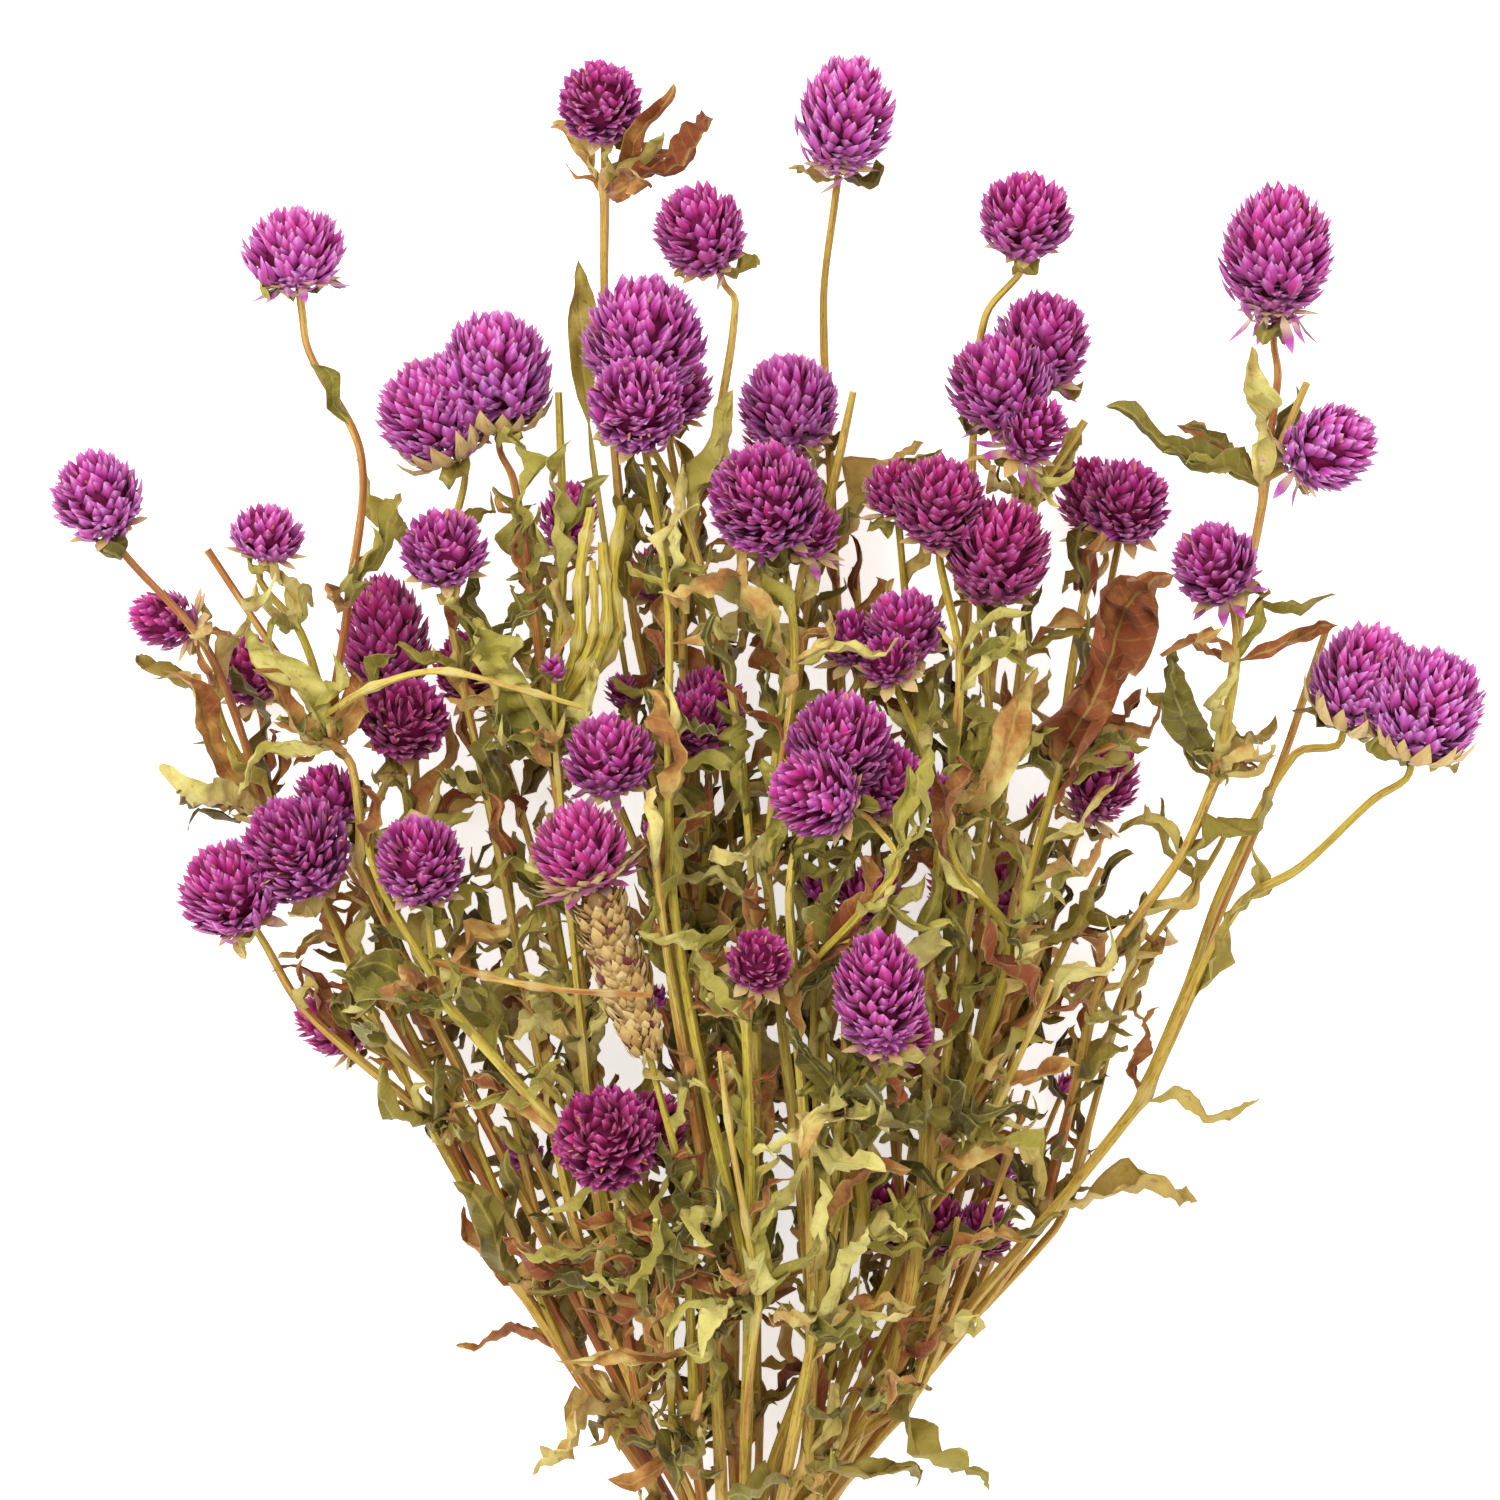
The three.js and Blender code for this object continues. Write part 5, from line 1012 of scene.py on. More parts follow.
class Skin:
    def __init__(self):
        for name in SKIN_FIELDS:
            setattr(self, name, [])
        self.count = 0

    def add(self, points, faces, grain, tone, level, material):
        points = np.asarray(points, float)
        total = len(points)
        values = (
            points, np.asarray(faces) + self.count, np.broadcast_to(grain, (total, 3)),
            np.broadcast_to(tone, total), np.broadcast_to(level, total), np.full(len(faces), material),
        )
        for name, value in zip(SKIN_FIELDS, values):
            getattr(self, name).append(value)
        self.count += total


def mesh_object(name, skin, offset, materials):
    points = ((np.concatenate(skin.points) + offset) / MM_PER_METRE).astype(np.float32)
    points[:, 2] = np.maximum(points[:, 2], 0)
    faces = np.concatenate(skin.faces).astype(np.int32)
    mesh = bpy.data.meshes.new(name)
    mesh.vertices.add(len(points))
    mesh.vertices.foreach_set("co", points.ravel())
    mesh.loops.add(3 * len(faces))
    mesh.loops.foreach_set("vertex_index", faces.ravel())
    mesh.polygons.add(len(faces))
    mesh.polygons.foreach_set("loop_start", np.arange(0, 3 * len(faces), 3, dtype=np.int32))
    used, slots = np.unique(np.concatenate(skin.material), return_inverse=True)
    mesh.polygons.foreach_set("material_index", slots.astype(np.int32))
    for index in used:
        mesh.materials.append(materials[index])
    mesh.update(calc_edges=True)
    mesh.shade_smooth()
    mesh.set_sharp_from_angle(angle=SMOOTH_ANGLE)
    for field in ("grain", "tone", "level"):
        add_values(mesh, field, np.concatenate(getattr(skin, field)))
    piece = bpy.data.objects.new(name, mesh)
    bpy.context.scene.collection.objects.link(piece)
    return piece


def add_values(mesh, name, values):
    kind, field = ("FLOAT_VECTOR", "vector") if values.ndim == 2 else ("FLOAT", "value")
    attribute = mesh.attributes.new(name, kind, "POINT")
    attribute.data.foreach_set(field, values.astype(np.float32).ravel())


# Bracts. Each is a thin three-sided boat: its keel faces outwards and its sides fold back.
# It is placed by its tip, with its direction, keel and sizes, and all are made at once.
BRACT_STATIONS = np.array([0.0, 0.28, 0.56, 0.82, 1.0])
BRACT_WIDTHS = np.array([0.0, 0.8, 1.0, 0.5, 0.0])
BRACT_POINTS = 11


def bract_faces():
    faces = []
    for i in range(3):
        n = (i + 1) % 3
        faces.append([0, 1 + n, 1 + i])
        for ring in (1, 4):
            a, b, c, d = ring + i, ring + n, ring + 3 + i, ring + 3 + n
            faces += [[a, b, d], [a, d, c]]
        faces.append([7 + i, 7 + n, 10])
    return np.array(faces)


BRACT_FACES = bract_faces()


def add_bracts(skin, tips, ways, keels, lengths, widths, tones, levels, shape, material):
    fold, bow, flick = shape
    count = len(tips)
    sides = np.cross(ways, keels)
    points = np.zeros((count, BRACT_POINTS, 3))
    grain = np.zeros((count, BRACT_POINTS, 3))
    grain[:, :, 2] = (tones * 97)[:, None]
    for j, (station, share) in enumerate(zip(BRACT_STATIONS, BRACT_WIDTHS)):
        rise = bow * np.sin(math.pi * station) + flick * (station ** 2 - 1)
        spine = tips + ways * (lengths * (station - 1))[:, None] + keels * (lengths * rise)[:, None]
        half = widths * share / 2
        if share == 0:
            index = 0 if j == 0 else BRACT_POINTS - 1
            points[:, index] = spine
            grain[:, index, 1] = station
            continue
        start = 1 + 3 * (j - 1)
        back = keels * (fold * half)[:, None]
        points[:, start] = spine - sides * half[:, None] - back
        points[:, start + 1] = spine
        points[:, start + 2] = spine + sides * half[:, None] - back
        grain[:, start:start + 3, 1] = station
        grain[:, start, 0] = -1
        grain[:, start + 2, 0] = 1
    faces = BRACT_FACES[None] + (np.arange(count) * BRACT_POINTS)[:, None, None]
    skin.add(
        points.reshape(-1, 3), faces.reshape(-1, 3), grain.reshape(-1, 3),
        np.repeat(tones, BRACT_POINTS), np.repeat(levels, BRACT_POINTS), material,
    )


GOLDEN_ANGLE = math.pi * (3 - math.sqrt(5))
BRACT_AREA = 4.9
HEAD_COVER = 0.96
BRACT_WIDTH = 3.0
BRACT_LENGTH_SHARE = 0.32
SHORTEST_BRACT, LONGEST_BRACT = 3.6, 7.4
BRACT_LEAN = 0.66
CROWN_LEVEL = 0.66
FULL_WIDTH_HEAD = 20
CORE_SHARE = 0.64
CORE_DROP = 0.03
SMALL_HEAD = 16
SMALL_CORE_CUT = 0.012
FLORET_SHARE = 0.05

# How far a bract's sides fold back, how far it bows outwards, and how its tip flicks
HEAD_BRACT = (0.6, 0.1, 0.05)
FLORET = (0.4, 0, 0.1)
SPIKE_SCALE = (0.24, 0.14, 0.1)
RUFF_FOLD, RUFF_FLICK = 0.5, 0.05


# Evenly spread levels and outward directions round an axis
def spiral(count, aim, rng, loose):
    side, other = frame_of(aim)
    k = np.arange(count)
    level = 1 - 2 * (k + 0.5) / count
    level = np.clip(level + rng.normal(0, loose / count ** 0.5, count), -0.999, 0.999)
    angle = GOLDEN_ANGLE * k + rng.normal(0, loose, count)
    out = all_around(side, other, angle)
    return level, out


# Where these levels and outward directions meet the surface of a head, from its middle
def head_surface(level, out, aim, width, height):
    ring = np.sqrt(1 - level ** 2)
    return ring, out * (ring * width / 2)[:, None] + aim * (level * height / 2)[:, None]


def add_head(skin, centre, aim, width, height, rng, shade=0.5, kind=BRACT, lowest=-1):
    area = math.pi * width * (0.35 * width + 0.65 * height) * HEAD_COVER
    count = int(area / BRACT_AREA)
    level, out = spiral(count, aim, rng, 0.2)
    ring, surface = head_surface(level, out, aim, width, height)
    reach = rng.normal(0.98, 0.04, count)
    tips = centre + surface * np.clip(reach, 0.86, 1.04)[:, None]
    lift = 0.95 + np.where(level < 0, 1.2, 0.35) * level + rng.normal(0, 0.16, count)
    lean = np.where(level < 0, BRACT_LEAN - 0.5 * level, BRACT_LEAN) * ring
    lean = lean - 0.25 * np.clip((level - CROWN_LEVEL) / 0.3, 0, 1)
    ways = unit(out * lean[:, None] + aim * lift[:, None] + rng.normal(0, 0.16, (count, 3)))
    keels = unit(across(out * 0.5 - aim, ways) + rng.normal(0, 0.15, (count, 3)))
    keels = unit(across(keels, ways))
    usual_length = np.clip(BRACT_LENGTH_SHARE * width, SHORTEST_BRACT, LONGEST_BRACT)
    lengths = usual_length * rng.uniform(0.8, 1.15, count)
    slim = np.clip(width / FULL_WIDTH_HEAD, 0.6, 1)
    widths = BRACT_WIDTH * slim * rng.uniform(0.75, 1.15, count)
    tones = np.clip(shade + rng.normal(0, 0.22, count), 0, 1)
    rows = [tips, ways, keels, lengths, widths, tones, (level + 1) / 2]
    rows = [row[level > lowest] for row in rows]
    add_bracts(skin, *rows, HEAD_BRACT, kind)
    add_florets(skin, centre, aim, width, height, rng, int(count * FLORET_SHARE))
    # A dark core under the bracts stands for the shade deep inside the head: painted shade
    core = CORE_SHARE - max(0, SMALL_CORE_CUT * (SMALL_HEAD - width))
    add_core(skin, centre - aim * height * CORE_DROP, aim, width * core / 2, height * core / 2)


# Tiny dried florets that peep out between the upper bracts
def add_florets(skin, centre, aim, width, height, rng, count):
    side, other = frame_of(aim)
    angle = rng.uniform(0, 2 * math.pi, count)
    level = rng.uniform(-0.1, 0.95, count)
    out = all_around(side, other, angle)
    ring, surface = head_surface(level, out, aim, width, height)
    tips = centre + surface * 0.97
    ways = unit(out * ring[:, None] + aim * (level + 0.45)[:, None])
    keels = unit(across(out * 0.5 - aim, ways))
    lengths = rng.uniform(2.0, 2.8, count)
    widths = rng.uniform(0.45, 0.75, count)
    tones = rng.uniform(0.7, 1, count)
    add_bracts(skin, tips, ways, keels, lengths, widths, tones, np.ones(count), FLORET, SCALE)


CORE_ROWS, CORE_COLUMNS = 8, 12


def add_core(skin, centre, aim, radius, half_height, material=CORE):
    rows, columns = CORE_ROWS, CORE_COLUMNS
    side, other = frame_of(aim)
    theta = np.linspace(0, math.pi, rows + 1)[1:-1]
    phi = np.arange(columns) * 2 * math.pi / columns
    ring = all_around(side, other, phi)
    points = [centre + aim * half_height]
    for angle in theta:
        points += list(centre + aim * half_height * math.cos(angle) + ring * radius * math.sin(angle))
    points.append(centre - aim * half_height)
    last = len(points) - 1
    faces = []
    for i in range(columns):
        n = (i + 1) % columns
        faces.append([0, 1 + i, 1 + n])
        faces.append([last, last - columns + n, last - columns + i])
        for row in range(rows - 2):
            a = 1 + row * columns
            faces += [[a + i, a + columns + i, a + n], [a + n, a + columns + i, a + columns + n]]
    skin.add(points, faces, [0, 0, 0], 0.5, 0.5, material)


# Bracts that hang or stand out round the foot of a head: how many, their length and width,
# how far out they point, how far up (or down) along the head's axis, and their tone.
# A cup says how low on the head they start and how far they bow
def add_ruff(skin, centre, aim, width, height, rng, rule, material, low, bow):
    count, length, wide, outward, upward, tone = rule
    side, other = frame_of(aim)
    angle = 2 * math.pi * (np.arange(count) + rng.uniform(0, 0.7, count)) / count
    out = all_around(side, other, angle)
    ways = unit(out * outward + aim * (upward + rng.normal(0, 0.12, count))[:, None])
    lengths = length * rng.uniform(0.8, 1.2, count)
    root = centre - aim * height * low + out * width * 0.14
    keels = unit(across(-aim + out * 0.2, ways))
    widths = wide * rng.uniform(0.85, 1.15, count)
    tones = np.clip(tone + rng.normal(0, 0.12, count), 0, 1)
    tips = root + ways * lengths[:, None]
    shape = (RUFF_FOLD, bow, RUFF_FLICK)
    add_bracts(skin, tips, ways, keels, lengths, widths, tones, np.full(count, 0.1), shape, material)


# Rules for the ruffs: bracts that droop, and papery ones that hold the head from below
DROOPING = {
    "bloom_big_right": (9, 9.5, 2.6, 0.7, -0.75, 0.45),
    "bloom_on_spike": (18, 9.5, 3.0, 0.9, 0.05, 0.6),
    "bloom_right_side": (5, 8.5, 2.6, 0.8, -0.6, 0.5),
    "bloom_right_fan": (7, 8.0, 2.6, 1.0, -0.3, 0.5),
    "bloom_centre_left": (6, 7.5, 2.4, 0.9, -0.5, 0.6),
    "blooms_upper_right": (6, 8.0, 2.4, 0.9, -0.4, 0.5),
    "bloom_lone_left": (7, 8.0, 2.4, 1.0, -0.3, 0.5),
    "blooms_centre_pair": (5, 7.5, 2.4, 0.9, -0.45, 0.5),
}
PAPERY = {
    "blooms_double_right": (16, 13.0, 4.6, 0.92, 1.0, 0.3),
    "blooms_double_left": (16, 12.5, 4.4, 0.92, 0.95, 0.35),
    "bloom_on_spike": (24, 10.0, 3.6, 0.85, 0.3, 0.45),
}
USUAL_PAPERY = (8, 6.4, 3.2, 1.0, 0.12, 0.4)
# Heads that sit lower than this take darker bracts: painted shade
SHADED_DEPTH = 20
FUSED = ("blooms_double_left", "blooms_double_right")
FUSED_FOOT = -0.8
BRIDGE_SHARE = 0.8
USUAL_CUP = (0.43, 0.12)
FUSED_CUP = (0.5, 0.24)
# Heads with crimson bracts: partly crimson in colour, partly darker as painted shade
CRIMSON_AND_SHADED_HEADS = (
    "blooms_low_pair", "bloom_on_spike", "bloom_small_front", "blooms_left_dark", "blooms_right_trio",
    "blooms_mid_pair", "blooms_low_trio", "bloom_behind_front", "bloom_leaf_shaded",
)
LAVENDER_HEADS = (
    "bloom_far_left", "bloom_lone_left", "blooms_double_left", "blooms_double_right", "bloom_left_flat",
    "bloom_top_tall", "blooms_upper_trio", "blooms_top_pair", "bloom_right_side",
)


def make_heads(bunch, node):
    skin = Skin()
    for index, head in enumerate(bunch.heads):
        if head["node"] != node:
            continue
        rng = np.random.default_rng(HEAD_SEED + index)
        centre = bunch.place(head["point"])
        shade = 0.35 + 0.3 * rng.random()
        # Heads low in the bunch get darker bracts: painted shade
        if centre[2] < SHADED_DEPTH:
            shade -= 0.1
        kind = bract_kind(node, centre)
        shape = (centre, head["aim"], head["width"], head["height"], rng)
        add_head(skin, *shape, shade, kind, FUSED_FOOT if node in FUSED else -1)
        cup = FUSED_CUP if node in FUSED else USUAL_CUP
        add_ruff(skin, *shape, PAPERY.get(node, USUAL_PAPERY), SCALE, *cup)
        if node in DROOPING:
            add_ruff(skin, *shape, DROOPING[node], kind, *USUAL_CUP)
    if node in FUSED:
        add_bridge(skin, bunch, node)
    return skin


def bract_kind(node, centre):
    # Heads low in the bunch take the crimson bracts as painted shade, and the listed heads are partly
    # crimson in colour and partly painted shade
    if node in CRIMSON_AND_SHADED_HEADS or centre[2] < SHADED_DEPTH:
        return CRIMSON
    return LAVENDER if node in LAVENDER_HEADS else BRACT


# Two heads that grew as one: bracts fill the hollow between them
def add_bridge(skin, bunch, node):
    first, second = [head for head in bunch.heads if head["node"] == node]
    rng = np.random.default_rng(BRIDGE_SEED)
    centre = (bunch.place(first["point"]) + bunch.place(second["point"])) / 2
    aim = unit(first["aim"] + second["aim"])
    width, height = first["width"] * BRIDGE_SHARE, first["height"] * BRIDGE_SHARE
    add_head(skin, centre, aim, width, height, rng, 0.5, LAVENDER)


# The bare spike: papery scales that overlap upwards round a tapered core
SPIKE_SCALES = 560
MAROON_SCALES = 0.08
SPIKE_CORE_SHARE = 0.75


def make_spike(bunch):
    skin = Skin()
    rng = np.random.default_rng(SPIKE_SEED)
    head = next(item for item in bunch.heads if item["spike_length"] > 0)
    top = bunch.place(head["point"]) - head["aim"] * (head["height"] / 2 + SEAT_GAP)
    length = head["spike_length"] - SEAT_GAP
    foot = top - head["aim"] * length
    side, other = frame_of(head["aim"])
    k = np.arange(SPIKE_SCALES)
    share = np.clip((k + 0.5) / SPIKE_SCALES + rng.normal(0, 0.008, SPIKE_SCALES), 0, 0.99)
    angle = GOLDEN_ANGLE * k + rng.normal(0, 0.12, SPIKE_SCALES)
    out = all_around(side, other, angle)
    radius = spike_radius(share) * rng.normal(1, 0.04, SPIKE_SCALES)
    tips = foot + head["aim"] * (length * share)[:, None] + out * radius[:, None]
    strays = rng.normal(0, 0.16, (SPIKE_SCALES, 3))
    upward = rng.normal(0.85, 0.3, SPIKE_SCALES)
    ways = unit(out * 0.42 + head["aim"] * upward[:, None] + strays)
    keels = unit(across(out + rng.normal(0, 0.2, (SPIKE_SCALES, 3)), ways))
    lengths = rng.uniform(3.0, 5.4, SPIKE_SCALES)
    widths = rng.uniform(1.3, 3.0, SPIKE_SCALES)
    tones = np.clip(rng.normal(0.2, 0.2, SPIKE_SCALES), 0, 0.7)
    tones[rng.random(SPIKE_SCALES) < MAROON_SCALES] = -1
    add_bracts(skin, tips, ways, keels, lengths, widths, tones, share, SPIKE_SCALE, SCALE)
    middle = (foot + top) / 2
    add_core(skin, middle, head["aim"], SPIKE_TOP_RADIUS * SPIKE_CORE_SHARE, length / 2, SCALE)
    return skin


def spike_radius(share):
    return SPIKE_FOOT_RADIUS + (SPIKE_TOP_RADIUS - SPIKE_FOOT_RADIUS) * share ** 0.26


# Stalks: ribbed tubes along smooth lines, swollen at their joints, with pale cut ends
STALK_STEP = 2.4
STALK_CORNERS = 8
STALK_SLIMNESS = 0.93
RIB_DEPTH = 0.09
SWELLING_REACH = 2.6
SWELLING = 0.62
SIDE_HINT = [0.31, 0.11, 0.94]
UNEVENNESS = 0.05
HEAD_STALK_TONES = (0.25, 0.62)
STALK_TONES = (0.1, 1)
CUT_RIM, CUT_STEP, PITH_DEPTH = 0.72, 0.12, 0.2
CUT_LEVEL = 2


# Close places on a smooth line, each with the number of its span and its share of that span
def fine_line(places):
    spans = size(np.diff(places, axis=0))
    slopes = path_slopes(places, spans, unit(places[1] - places[0]))
    line = [places[0]]
    shares = [(0, 0)]
    for i, span in enumerate(spans):
        steps = max(1, math.ceil(span / STALK_STEP))
        for k in range(1, steps + 1):
            line.append(hermite(places[i], places[i + 1], slopes[i], slopes[i + 1], span, k / steps))
            shares.append((i, k / steps))
    return np.array(line), shares


# A smooth line through the stalk's places, with its radii and the places of its knots
def stalk_line(bunch, stalk):
    index = stalk["points"]
    joints = {joint["point"] for joint in bunch.joints}
    places = np.array([bunch.place(i) for i in index])
    radii = np.array([bunch.radius[i] / (JOINT_SWELLING if i in joints else 1) for i in index])
    if stalk["foot"] > 1:
        places[0] = foot_place(places, bunch, stalk)
    line, shares = fine_line(places)
    radius = [radii[i] + (radii[i + 1] - radii[i]) * t for i, t in shares]
    knots = np.array([places[k] for k, i in enumerate(index) if i in joints and k > 0])
    return line, np.array(radius) * STALK_SLIMNESS, knots


def foot_place(places, bunch, stalk):
    stem = unit(places[0] - bunch.place(bunch.before[stalk["points"][0]]))
    out = across(unit(places[1] - places[0]), stem)
    return places[0] + unit(out) * (FOOT_OFFSET * 0.6 if size(out) > 0.05 else 0)


# How near each place of a line is to a knot, from 0 to 1
def nearness(line, knot):
    return np.exp(-(size(line - knot) / SWELLING_REACH) ** 2)


def add_stalk(skin, bunch, stalk, rng):
    line, radius, knots = stalk_line(bunch, stalk)
    near = np.zeros(len(line))
    for knot in knots:
        near = np.maximum(near, nearness(line, knot))
    if stalk["foot"] > 1:
        near = np.maximum(near, 0.5 * nearness(line, line[0]))
    waves = UNEVENNESS * np.sin(distances_along(line) / 5.1 + rng.uniform(0, 6))
    uneven = 1 + waves + rng.normal(0, 0.012, len(line))
    tone = rng.uniform(*(HEAD_STALK_TONES if stalk["spread"] and stalk["foot"] > 1 else STALK_TONES))
    add_tube(skin, line, radius * uneven * (1 + SWELLING * near), near, rng, tone)


def add_tube(skin, line, radius, near, rng, tone):
    along = unit(np.gradient(line, axis=0))
    angle = np.arange(STALK_CORNERS) * 2 * math.pi / STALK_CORNERS
    ribs = 1 + RIB_DEPTH * np.cos(angle * STALK_CORNERS / 2)
    side = np.array(SIDE_HINT)
    travelled = distances_along(line)
    rings, grain = [], []
    for k, place in enumerate(line):
        side = unit(across(side, along[k]))
        other = np.cross(along[k], side)
        reach = (radius[k] * ribs)[:, None]
        rings.append(place + reach * all_around(side, other, angle))
        turn = angle + travelled[k] * 0.01
        length = np.full(STALK_CORNERS, travelled[k] + tone * 400)
        grain.append(np.stack([np.cos(turn), length, np.sin(turn)], axis=1))
    faces = ring_faces(len(line), STALK_CORNERS)
    level = np.repeat(near, STALK_CORNERS)
    skin.add(np.concatenate(rings), faces, np.concatenate(grain), tone, level, STEM)
    add_cut(skin, rings[0], line[0], -along[0], rng)
    add_cut(skin, rings[-1][::-1], line[-1], along[-1], rng)


def ring_faces(total, corners):
    i = np.arange(corners)
    n = (i + 1) % corners
    quads = []
    for k in range(total - 1):
        a = k * corners
        b = a + corners
        quads.append(np.stack([a + i, a + n, b + n], axis=1))
        quads.append(np.stack([a + i, b + n, b + i], axis=1))
    return np.concatenate(quads)


# A cut end: the skin stands a little proud of the pith
def add_cut(skin, ring, centre, out, rng):
    count = len(ring)
    inner = centre + (ring - centre) * CUT_RIM - out * CUT_STEP
    points = np.concatenate([ring, inner, [centre - out * PITH_DEPTH]])
    i = np.arange(count)
    n = (i + 1) % count
    faces = np.concatenate([
        np.stack([n, i, count + i], axis=1), np.stack([n, count + i, count + n], axis=1),
        np.stack([count + n, count + i, np.full(count, 2 * count)], axis=1),
    ])
    skin.add(points, faces, [0, 0, 0], rng.uniform(0, 1), CUT_LEVEL, STEM)


# Leaves: thin closed blades with a midrib, side veins, rolled edges and a crumpled surface
LEAF_SHEET = 0.26
LOWEST_LEAF = 0.3
BLADE_PROPORTION = 4.2
SMALL_TWIST, USUAL_TWIST, BARE_TWIST = 1.6, 0.9, 0.3
BARE_CURL = 0.5
EDGE_THINNING = 0.6
RAGGEDNESS, BROAD_RAGGEDNESS = 0.07, 0.16
TIP_HOOK = 0.14
WANDER = 0.06
ROLL_START = 0.35
WRINKLE_HEIGHT, FINE_WRINKLE_HEIGHT = 0.7, 0.34
RUFFLE_HEIGHT = 0.24
PILLOW_HEIGHT = 0.34
MIDRIB_DEPTH, MIDRIB_WIDTH = 0.3, 0.6
LEAF_SLIMNESS = 0.84
TIP_START = 0.55
LONGEST_HOOK = 26
LONGEST_BLADE = 40
RUFFLES = 2.3
BLUNTNESS = 0.66
VEIN_PITCH = 3.4
VEIN_SLANT = 0.75


def add_leaf(skin, leaf, rng, rows, columns, curl):
    stations, places, faces, sides = leaf_frames(leaf, rows)
    length = size(np.diff(places, axis=0)).sum()
    bare = max(0, 1 - max(LONGEST_BLADE, BLADE_PROPORTION * leaf["width"]) / length)
    travelled = distances_along(places) / length if bare else stations
    places = places + bent(length, stations, faces, sides, rng)
    faces, sides = twisted(leaf, stations, faces, sides, bare, rng)
    half = half_widths(leaf, stations, travelled, bare)
    u = np.linspace(-1, 1, columns + 1)
    wave = np.stack([leaf_wave(leaf, stations, 1 if x > 0 else -1) * abs(x) ** 1.3 for x in u], axis=1)
    lateral, rise = rolled(half, u, leaf["fold"], BARE_CURL * curl if bare else curl, stations, rng)
    rise = rise + half[:, None] * wave + crumple(half, stations, u, leaf, rng)
    points = places[:, None] + sides[:, None] * lateral[..., None] + faces[:, None] * rise[..., None]
    normals = grid_normals(points)
    points[..., 2] = np.maximum(points[..., 2], LOWEST_LEAF)
    under = points - normals * (LEAF_SHEET * (1 - EDGE_THINNING * np.abs(u)))[None, :, None]
    tone = leaf["tone"] if leaf["tone"] is not None else rng.random()
    grain = np.zeros((rows + 1, columns + 1, 3))
    grain[..., 0] = half[:, None] * u[None, :]
    grain[..., 1] = (stations * length)[:, None]
    grain[..., 2] = tone * 31 + rng.uniform(0, 50)
    grain = np.concatenate([grain.reshape(-1, 3)] * 2)
    level = np.concatenate([np.broadcast_to(np.abs(u), points.shape[:2]).ravel()] * 2)
    vertices = np.concatenate([points.reshape(-1, 3), under.reshape(-1, 3)])
    skin.add(vertices, sheet_faces(rows, columns), grain, tone, level, LEAF)


# A leaf turns about its midrib along its length
def twisted(leaf, stations, faces, sides, bare, rng):
    most = SMALL_TWIST if leaf.get("small", False) else USUAL_TWIST
    twist = rng.uniform(-1, 1) * most * stations ** 1.5
    twist = twist + 0.25 * np.sin(stations * 6 + leaf["phase"])
    twist = (twist * np.minimum(1, stations * 4) * (BARE_TWIST if bare else 1))[:, None]
    turned = faces * np.cos(twist) + sides * np.sin(twist)
    return turned, sides * np.cos(twist) - faces * np.sin(twist)


# Half of its width at each station: a bare foot, a full blade with uneven edges, and a tip
def half_widths(leaf, stations, travelled, bare):
    body = leaf_body(leaf, np.clip((travelled - bare) / (1 - bare), 0, 1)) * 2 / leaf["width"]
    body = np.maximum(body, 0) ** BLUNTNESS * leaf["width"] / 2 * LEAF_SLIMNESS
    uneven = BROAD_RAGGEDNESS if leaf["width"] > BROAD_LEAF else RAGGEDNESS
    ragged = 1 + uneven * np.sin(stations * 15 + leaf["phase"]) * np.minimum(1, stations * 5)
    foot = LEAF_FOOT_HALF_WIDTH * np.where(travelled < bare, 1.5, (1 - stations) ** 0.7)
    return np.maximum(foot, body * ragged)


# Dry leaves wander from the line that they grew along, and their tips hook
def bent(length, stations, faces, sides, rng):
    reach = min(length, LONGEST_HOOK)
    hooked = np.clip((stations - TIP_START) / (1 - TIP_START), 0, 1) ** 2
    along = np.cross(faces, sides)
    hook = (faces * rng.uniform(-0.15, 0.32) + along * -TIP_HOOK) * (hooked * reach)[:, None]
    phase = rng.uniform(0, 6, 2)
    free = np.minimum(1, stations * 3)
    up = WANDER * np.sin(stations * 9 + phase[0]) * free * reach
    aside = WANDER * np.sin(stations * 7 + phase[1]) * free * reach
    return hook + faces * (up - up[0])[:, None] + sides * (aside - aside[0])[:, None]


# The crosswise line of each row: it leaves the midrib at the fold and rolls in at its edges
def rolled(half, u, fold, curl, stations, rng):
    phase = rng.uniform(0, 6, 2)
    step = 2 / (len(u) - 1)
    lateral = np.zeros((len(half), len(u)))
    rise = np.zeros_like(lateral)
    middle = len(u) // 2
    for hand, start in ((1, phase[0]), (-1, phase[1])):
        angle = np.full(len(half), math.atan(fold))
        strength = curl * rng.uniform(0.5, 1.2) * (0.6 + 0.45 * np.sin(stations * 8 + start))
        for k in range(1, middle + 1):
            share = k / middle
            turned = angle + strength * max(0, (share - ROLL_START) / (1 - ROLL_START)) ** 1.5
            index = middle + hand * k
            before = index - hand
            lateral[:, index] = lateral[:, before] + hand * half * step * np.cos(turned)
            rise[:, index] = rise[:, before] + half * step * np.sin(turned)
    return lateral, rise


